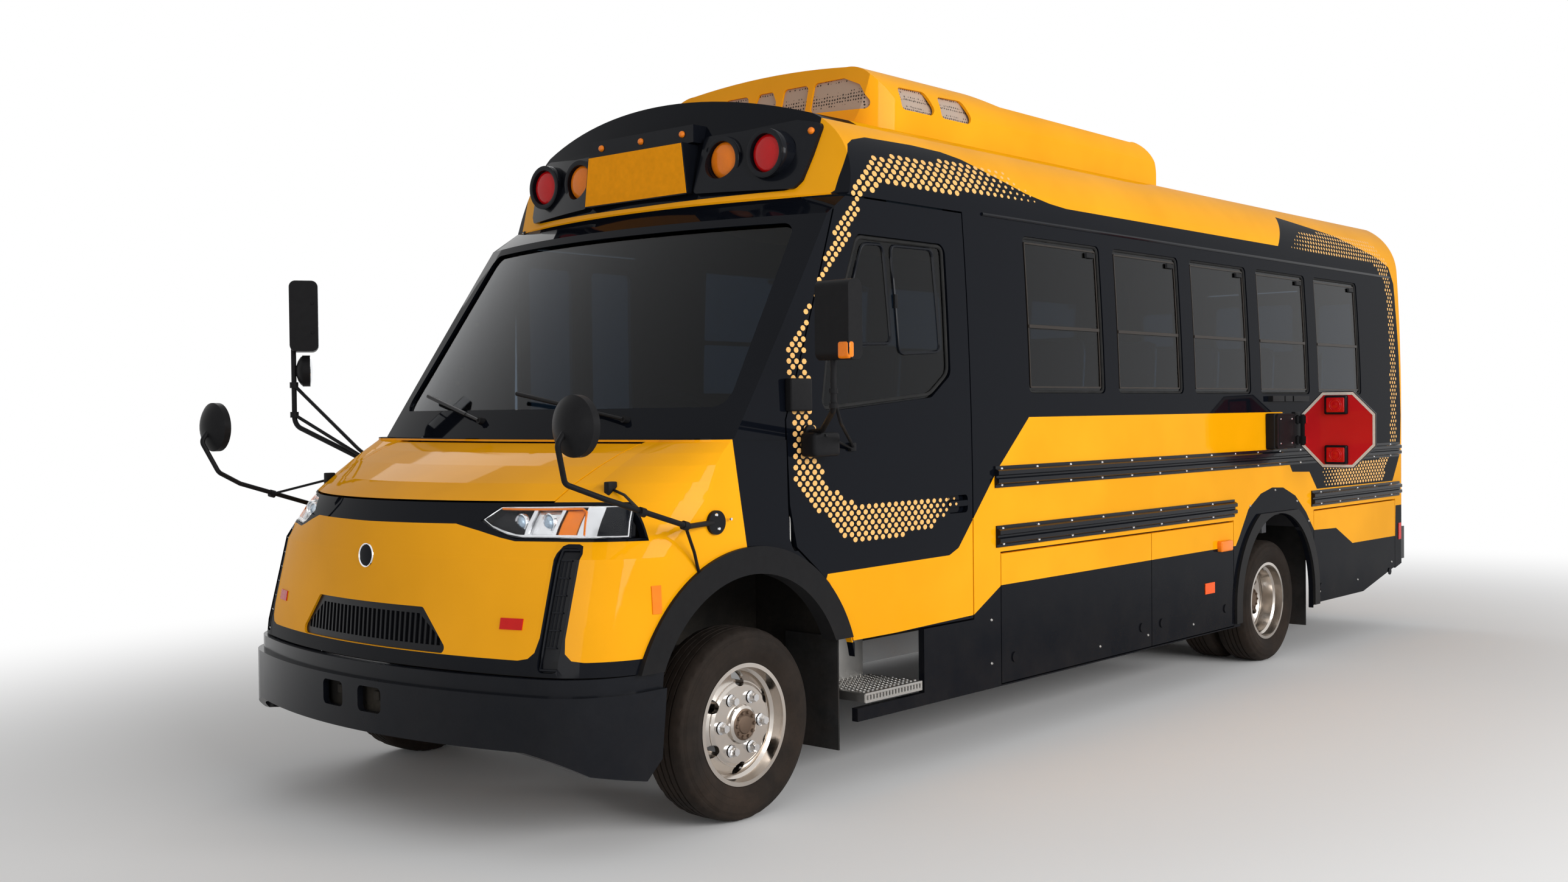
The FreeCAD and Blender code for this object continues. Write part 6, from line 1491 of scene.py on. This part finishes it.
def crossview_trim():
    """Bolted feet, clamps, a thin second stay and the small hood bracket of both crossview mirrors."""
    bm = bmesh.new()
    rows = []
    for sign in (1, -1):
        for y, z in ((-0.207, 1.187), (-0.129, 1.167), (-0.194, 1.135)):
            rows.append((Vector(at(sign * 1.135, y, z)), Vector((sign, 0, 0))))
        for stay, radius in zip(CROSSVIEW_STAYS, (0.0060, 0.0055)):
            add_tube(bm, [at(sign * x, along, z) for x, along, z in stay], radius, 8)
        foot = sign * 0.912
        add_block(bm, at(foot - 0.014, -0.548, 1.262), at(foot + 0.014, -0.505, 1.318), 0.005, 2)
        for y, z in ((-0.640, 1.223), (-0.430, 1.163)):
            add_revolve(bm, at(sign * 1.195, y, z), (0, 1, -0.28), collar(0.012, 0.0165), 20)
    build_piece("crossview_stays", bm, SATIN_BLACK)
    bolts("crossview_foot_bolts", rows, 0.0075, 0.005, 6, CHROME, "coach")


crossview_trim()


# Doors and windows
DOOR_GLASS_SKIN = skin_of("driver_door_glass")
GLASS_SKIN = skin_of("body_glass")
SHELL_SKIN = skin_of("driver_door", "left_side_wall", "right_side_wall", "front_cap", "nose", "roof")


def skin_path(skin, places, sign, proud, closed=True, step=0.05):
    """Points along a line of (distance behind the front axle, height), laid on a side's skin."""
    rounded_line = rounded_path([(0.0, y, z) for y, z in places], 0.035, 4, closed)
    points = []
    count = len(rounded_line)
    for i in range(count if closed else count - 1):
        start, end = rounded_line[i], rounded_line[(i + 1) % count]
        pieces = max(1, int((end - start).length / step))
        for k in range(pieces):
            place = start.lerp(end, k / pieces)
            hit, normal = outside(skin, FRONT_AXLE + place.y, place.z, sign)
            if hit is not None:
                points.append(hit + normal * proud)
    if not closed:
        hit, normal = outside(skin, FRONT_AXLE + end.y, end.z, sign)
        if hit is not None:
            points.append(hit + normal * proud)
    return points


DOOR_WINDOW_EDGE = [
    (0.712, 2.288), (0.484, 1.798), (0.438, 1.575), (1.178, 1.634), (1.317, 1.728), (1.317, 2.288),
]
DOOR_FIXED_PANE = [(0.748, 2.262), (0.892, 2.268), (0.918, 1.850), (0.560, 1.836)]
DOOR_SLIDING_PANE = [(0.945, 2.268), (1.246, 2.272), (1.272, 1.822), (0.972, 1.806)]


def door_window():
    """Sash frames of the driver's window and its seals."""
    bm = bmesh.new()
    for places in (DOOR_FIXED_PANE, DOOR_SLIDING_PANE):
        add_tube(bm, skin_path(DOOR_GLASS_SKIN, places, 1, 0.0010), 0.0070, 6, closed=True)
    build_piece("driver_window_sashes", bm, GLOSS_TRIM, 40.0, "driver_door")
    bm = bmesh.new()
    add_tube(bm, skin_path(DOOR_GLASS_SKIN, DOOR_WINDOW_EDGE, 1, 0.0015), 0.0085, 8, closed=True)
    build_piece("driver_window_seal", bm, FLAP_RUBBER, 40.0, "driver_door")
    bm = bmesh.new()
    y, z = FRONT_AXLE + 0.958, 2.030
    hit, _ = outside(DOOR_GLASS_SKIN, y, z, 1)
    add_block(bm, (hit.x - 0.002, y - 0.008, z - 0.030), (hit.x + 0.010, y + 0.014, z + 0.030), 0.003, 2)
    build_piece("driver_window_latch", bm, SATIN_BLACK, 30.0, "driver_door")


door_window()

WINDOW_STARTS = [1.972 + 0.853 * k for k in range(5)]
PANE_FOOT, PANE_HEAD, PANE_RAIL = 1.640, 2.388, 1.960
PANE_BARS = [(PANE_RAIL, 0.0110), (PANE_FOOT + 0.030, 0.0055), (PANE_HEAD - 0.030, 0.0055)]


def side_windows():
    """Seals, divider bars and latches of the side windows."""
    seals, bars = bmesh.new(), bmesh.new()
    rows = []
    for sign in (1, -1):
        for start in WINDOW_STARTS:
            end = start + 0.716
            edge = [(start + 0.006, PANE_FOOT + 0.006), (end - 0.006, PANE_FOOT + 0.006),
                    (end - 0.006, PANE_HEAD - 0.006), (start + 0.006, PANE_HEAD - 0.006)]
            places = skin_path(GLASS_SKIN, edge, sign, 0.0015, step=0.10)
            if len(places) < 20:
                continue
            add_tube(seals, places, 0.0075, 6, closed=True)
            first, last = start + 0.030, end - 0.030
            lines = [((first, z), (last, z), 0.12, radius) for z, radius in PANE_BARS]
            lines += [((y, PANE_BARS[1][0]), (y, PANE_BARS[2][0]), 0.15, 0.0050) for y in (first, last)]
            for one_end, other_end, step, radius in lines:
                bar = skin_path(GLASS_SKIN, [one_end, other_end], sign, 0.0008, False, step)
                if len(bar) > 1:
                    add_tube(bars, bar, radius, 4)
            hit, normal = outside(GLASS_SKIN, FRONT_AXLE + end - 0.085, PANE_HEAD - 0.052, sign)
            if hit is not None:
                rows.append((hit + normal * 0.004, normal, (0.085, 0.026, 0.010)))
    build_piece("side_window_seals", seals, FLAP_RUBBER, 50.0)
    build_piece("side_window_sashes", bars, SASH_BRONZE, 50.0)
    blocks("side_window_latches", rows, SATIN_BLACK)


side_windows()


def drip_rails():
    """Drip rail along the roof edge."""
    bm = bmesh.new()
    for sign in (1, -1):
        front = 1.64 if sign > 0 else 0.62
        rail = skin_path(SHELL_SKIN, [(front, 2.463), (6.720, 2.463)], sign, 0.0020, False, 0.08)
        add_tube(bm, rail, 0.0080, 6)
    build_piece("drip_rails", bm, GLOSS_TRIM, 50.0)


drip_rails()


# Driver's step
def step_tread():
    """Bright tread plate with raised round grips and a toothed nosing."""
    bm = bmesh.new()
    front, back = FRONT_AXLE + 0.644, FRONT_AXLE + 1.036
    add_block(bm, (0.870, front, 0.4000), (1.1540, back, 0.4045), 0.001, 1)
    add_block(bm, (1.1500, front, 0.3640), (1.1560, back, 0.4045), 0.0015, 1)
    build_piece("step_tread", bm, STEEL, 30.0)
    rows = []
    for i in range(9):
        for k in range(13):
            x = 0.888 + 0.030 * i
            y = front + 0.018 + 0.0295 * k + (0.0147 if i % 2 else 0.0)
            if y < back - 0.012:
                rows.append((Vector((x, y, 0.4058)), Vector((0, 0, 1))))
    bolts("step_grips", rows, 0.0088, 0.0034, 14, STEEL, "coach")
    rows = []
    for k in range(18):
        place = Vector((1.1575, front + 0.016 + 0.0212 * k, 0.386))
        rows.append((place, Vector((1, 0, 0)), (0.012, 0.020, 0.004)))
    blocks("step_nosing_teeth", rows, STEEL)


step_tread()


# Screws along the skirt and arch panels
SCREW_PLACES = [
    (1.62, 0.60), (1.62, 0.40), (2.60, 0.36), (3.10, 0.36), (3.62, 0.36), (4.20, 0.40), (5.37, 0.38),
    (6.62, 0.47), (6.00, 0.40), (4.35, 0.98), (4.70, 1.058), (5.02, 0.975), (5.20, 0.84),
]


def skirt_screws():
    rows = []
    for sign in (1, -1):
        for y, z in SCREW_PLACES:
            hit, normal = outside(BODY_SKIN, FRONT_AXLE + y, z, sign)
            if hit is not None and abs(hit.x) > 1.05:
                rows.append((hit + normal * 0.0012, normal))
    bolts("skirt_screws", rows, 0.0070, 0.0040, 12, STEEL, "coach")


skirt_screws()


# Seats: padded cushions puffed by cloth, then frames under them
CLOTH = {"quality": 4, "mass": 0.25, "tension_stiffness": 22.0, "compression_stiffness": 22.0,
         "bending_stiffness": 1.2, "use_pressure": True, "uniform_pressure_force": 4.0}
LAST_FRAME = 20
SEAM_WIDTH = 0.010


def plump(mesh, name, cap, foot):
    """Swells a closed pad by cloth pressure; no point moves past the cap or below the foot."""
    pad = new_object(name, mesh)
    start = [vert.co.copy() for vert in mesh.vertices]
    scene = bpy.context.scene
    cloth = pad.modifiers.new("puff", "CLOTH")
    for setting, value in CLOTH.items():
        setattr(cloth.settings, setting, value)
    cloth.settings.effector_weights.gravity = 0.0
    cloth.collision_settings.use_self_collision = False
    cloth.collision_settings.use_collision = False
    for number in range(1, LAST_FRAME + 1):
        scene.frame_set(number)
    swelled = baked(pad)
    scene.frame_set(1)
    for vert, home in zip(swelled.vertices, start):
        move = vert.co - home
        if move.length > cap:
            move = move.normalized() * cap
        vert.co = home + move
        vert.co.z = max(vert.co.z, foot)
    return swelled


def block_pad(name, low, high, voxel, round_edge):
    """Rounded block as an even mesh of small quads, ready to be swelled."""
    bm = bmesh.new()
    add_block(bm, low, high, round_edge, 4)
    holder = new_object(name + "_form", mesh_from(name, bm))
    remesh = holder.modifiers.new("even", "REMESH")
    remesh.mode = "VOXEL"
    remesh.voxel_size = voxel
    even = baked(holder)
    even.name = name
    return even


def sewn(mesh, lines, face_axis, depth):
    """Presses sewn channels into one face of a pad, along lines at some distances across."""
    for vert in mesh.vertices:
        pull = max(math.exp(-((vert.co.x - line) / SEAM_WIDTH) ** 2) for line in lines)
        vert.co[face_axis] -= depth * pull


def soft_block(name, low, high, voxel, cap):
    pad = block_pad(name, low, high, voxel, 0.030)
    return plump(pad, name, cap, low[2])


def leaned(mesh, slope, foot):
    """Leans a back rearwards by its slope above a height."""
    for vert in mesh.vertices:
        vert.co.y += slope * (vert.co.z - foot)


BENCH_WIDTH, BENCH_DEPTH, PAN, TOP_OF_PAD, TOP_OF_BACK = 0.880, 0.400, 0.320, 0.420, 0.980
BACK_SLOPE = 0.09


def seat_piece(wrap, entry):
    """A seat piece on each point of a row."""
    size = entry["Size"]
    piece = wrap.add("GeometryNodeObjectInfo", {"Object": entry["Seat piece"]}).outputs["Geometry"]
    scale = wrap.add("ShaderNodeCombineXYZ", {"X": size, "Y": size, "Z": size}).outputs[0]
    return {"Instance": piece, "Scale": scale}


ROW_TREE = point_tree("seat_rows", "Rows", [("Seat piece", "Object", None), ("Size", "Float", 1.0)],
                      seat_piece)
SEAT_PLACES = [at(x, 2.180 + 0.760 * row, 0.960) for row in range(5) for x in (0.150, -1.030)]


def seat_rows(name, mesh, material, smooth):
    """The same seat piece at all ten places, as one mesh."""
    model = new_object(name + "_model", mesh)
    cloud = point_cloud(name, [(Vector(place), Vector((0, 0, 1))) for place in SEAT_PLACES])
    made = grown(name, ROW_TREE, cloud, {"Seat piece": model, "Size": 1.0, "Finish": material})
    bpy.data.objects.remove(model)
    return link_piece(name, made, material, "coach", smooth)


def bench_frame():
    """Legs, rails, shell of the back and grab rail of one bench."""
    bm = bmesh.new()
    for x in (0.070, BENCH_WIDTH - 0.070):
        add_tube(bm, rounded_path([(x, 0.060, 0.004), (x, 0.060, PAN - 0.030), (x, 0.370, PAN - 0.030),
                                   (x, 0.370, 0.004)], 0.04), 0.014, 10)
        add_block(bm, (x - 0.035, 0.035, 0.0), (x + 0.035, 0.395, 0.008), 0.002, 1)
    add_block(bm, (0.020, 0.020, PAN - 0.018), (BENCH_WIDTH - 0.020, 0.400, PAN - 0.001), 0.004, 2)
    path = rounded_path([(0.030, 0.425, PAN), (0.030, 0.490, 0.960), (BENCH_WIDTH - 0.030, 0.490, 0.960),
                         (BENCH_WIDTH - 0.030, 0.425, PAN)], 0.07)
    add_tube(bm, path, 0.012, 10)
    shell = [(0.030, 0.425, PAN), (BENCH_WIDTH - 0.030, 0.425, PAN), (BENCH_WIDTH - 0.030, 0.488, 0.955),
             (0.030, 0.488, 0.955)]
    add_slab(bm, shell, (0, 0.006, 0))
    return mesh_from("bench_frame", bm)


def passenger_benches():
    corner = (BENCH_WIDTH - 0.014, BENCH_DEPTH - 0.020, TOP_OF_PAD - 0.022)
    pad = soft_block("bench_pad", (0.014, 0.012, PAN), corner, 0.0125, 0.022)
    sewn(pad, (BENCH_WIDTH / 2,), 2, 0.006)
    cushions = seat_rows("bench_cushions", pad, SEAT_CLOTH, 0)
    corner = (BENCH_WIDTH - 0.014, 0.414, TOP_OF_BACK - 0.012)
    back = soft_block("bench_back", (0.014, 0.372, TOP_OF_PAD - 0.060), corner, 0.0135, 0.014)
    sewn(back, (BENCH_WIDTH / 2,), 1, -0.005)
    leaned(back, BACK_SLOPE, TOP_OF_PAD - 0.060)
    backs = seat_rows("bench_backs", back, SEAT_CLOTH, 0)
    return seat_rows("bench_frames", bench_frame(), STEEL, 35.0)


def driver_seat():
    """Sprung seat with bolstered cushion, tall back and pedestal."""
    x0, x1 = 0.230, 0.730
    y0 = FRONT_AXLE + 0.620
    pad = soft_block("driver_pad", (x0 + 0.012, y0 + 0.012, 1.070), (x1 - 0.012, y0 + 0.418, 1.148),
                     0.0085, 0.022)
    sewn(pad, (x0 + 0.12, x1 - 0.12), 2, 0.007)
    cushion = link_piece("driver_cushion", pad, SEAT_CLOTH, "coach", 0)
    back = soft_block("driver_back_pad", (x0 + 0.016, y0 + 0.412, 1.120), (x1 - 0.016, y0 + 0.466, 1.780),
                      0.0095, 0.016)
    sewn(back, (x0 + 0.12, x1 - 0.12), 1, -0.006)
    leaned(back, 0.085, 1.120)
    rest = link_piece("driver_backrest", back, SEAT_CLOTH, "coach", 0)
    bm = bmesh.new()
    add_block(bm, at(0.310, 0.680, 0.690), at(0.650, 1.010, 0.720), 0.008, 2)
    for k in range(6):
        z = 0.725 + 0.042 * k
        grow = 0.012 * (k % 2)
        low, high = at(0.345 - grow, 0.715 - grow, z), at(0.615 + grow, 0.975 + grow, z + 0.042)
        add_block(bm, low, high, 0.012, 3)
    add_block(bm, at(0.260, 0.640, 0.985), at(0.700, 1.040, 1.069), 0.015, 3)
    shell = [(x0 + 0.03, y0 + 0.474, 1.060), (x1 - 0.03, y0 + 0.474, 1.060),
             (x1 - 0.05, y0 + 0.530, 1.770), (x0 + 0.05, y0 + 0.530, 1.770)]
    add_slab(bm, shell, (0, 0.010, 0))
    build_piece("driver_seat_base", bm, CAB_PLASTIC, 35.0)


bench_frames = passenger_benches()
driver_seat()
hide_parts("seats")


# Studio
def camera_at(yaw, pitch, roll, place, focal):
    """Camera turned by yaw to the left of straight ahead, pitched down and rolled, in degrees."""
    yaw, pitch, roll = (math.radians(a) for a in (yaw, pitch, roll))
    ahead = Vector((-math.sin(yaw) * math.cos(pitch), math.cos(yaw) * math.cos(pitch), -math.sin(pitch)))
    right = Vector((math.cos(yaw), math.sin(yaw), 0.0))
    up = right.cross(ahead)
    turned_right = math.cos(roll) * right + math.sin(roll) * up
    turned_up = -math.sin(roll) * right + math.cos(roll) * up
    turn = Matrix((turned_right, turned_up, -ahead)).transposed()
    data = bpy.data.cameras.new("camera")
    data.lens, data.sensor_width, data.clip_end = focal, 36.0, 200.0
    camera = new_object("camera", data)
    camera.matrix_world = Matrix.Translation(place) @ turn.to_4x4()
    bpy.context.scene.camera = camera


camera_at(41.29, 1.087, -0.610, at(5.118, -4.359, 1.566), 35.79)


def seen_rays(wrap):
    """Mask of what the camera sees, straight, through glass or mirrored."""
    path = wrap.add("ShaderNodeLightPath").outputs
    return wrap.either(path["Is Camera Ray"], path["Is Transmission Ray"], path["Is Glossy Ray"])


def stage_material(name, shade):
    """Matt ground that keeps the shadow near the vehicle and turns plain white farther off."""
    material, wrap, shader, place = new_material(name)
    tone = wrap.noise(place, 0.8, 3.0, 0.5)
    wrap.put(shader.inputs["Base Color"], wrap.blend(tone, (shade,) * 3, (shade * 0.985,) * 3))
    wrap.put(shader.inputs["Roughness"], 0.95)
    wrap.put(shader.inputs["Specular IOR Level"], 0.05)
    flat = wrap.stretch(place, (1.0, 0.62, 0.0))
    reach = wrap.add("ShaderNodeVectorMath", {0: flat}, operation="LENGTH").outputs["Value"]
    far = wrap.remap(reach, 2.6, 6.5, smooth=True)
    glow = wrap.add("ShaderNodeEmission", {"Color": (*WHITE, 1.0), "Strength": 1.0}).outputs[0]
    share = wrap.times(far, seen_rays(wrap))
    mixed = wrap.add("ShaderNodeMixShader", {0: share, 1: shader.outputs[0], 2: glow})
    wrap.put(material.node_tree.nodes["Material Output"].inputs["Surface"], mixed.outputs[0])
    return material


def floor_sheet():
    mesh = bpy.data.meshes.new("studio_floor")
    half = 60.0
    corners = [(-half, -half, 0), (half, -half, 0), (half, half, 0), (-half, half, 0)]
    mesh.from_pydata(corners, [], [(0, 1, 2, 3)])
    mesh.materials.append(stage_material("pale_floor", 0.90))
    new_object("studio_floor", mesh)


floor_sheet()


def soft_light(name, place, aim, size, power):
    data = bpy.data.lights.new(name, "AREA")
    data.shape = "RECTANGLE"
    data.size, data.size_y = size
    data.energy = power
    data.color = WHITE
    lamp = new_object(name, data)
    lamp.location = place
    lamp.rotation_euler = (Vector(aim) - Vector(place)).to_track_quat("-Z", "Y").to_euler()


soft_light("key_softbox", (11.5, -1.5, 4.6), (0.0, -0.3, 1.3), (12.0, 4.0), 980.0)
soft_light("nose_softbox", (4.5, -13.5, 3.0), (0.0, -3.0, 1.2), (6.0, 4.0), 150.0)
soft_light("far_softbox", (-9.0, 4.0, 7.0), (0.0, 0.0, 1.0), (8.0, 4.0), 200.0)


AMBIENT = 0.38


def studio_world():
    """White behind the vehicle, dimmer as the light that falls on it."""
    world = bpy.data.worlds.new("studio_world")
    bpy.context.scene.world = world
    world.use_nodes = True
    wrap = Tree(world.node_tree)
    background = world.node_tree.nodes["Background"]
    wrap.put(background.inputs["Strength"], wrap.remap(seen_rays(wrap), 0.0, 1.0, AMBIENT, 1.0))
    wrap.put(background.inputs["Color"], (*WHITE, 1.0))


studio_world()
bpy.context.scene.view_settings.view_transform = "Standard"
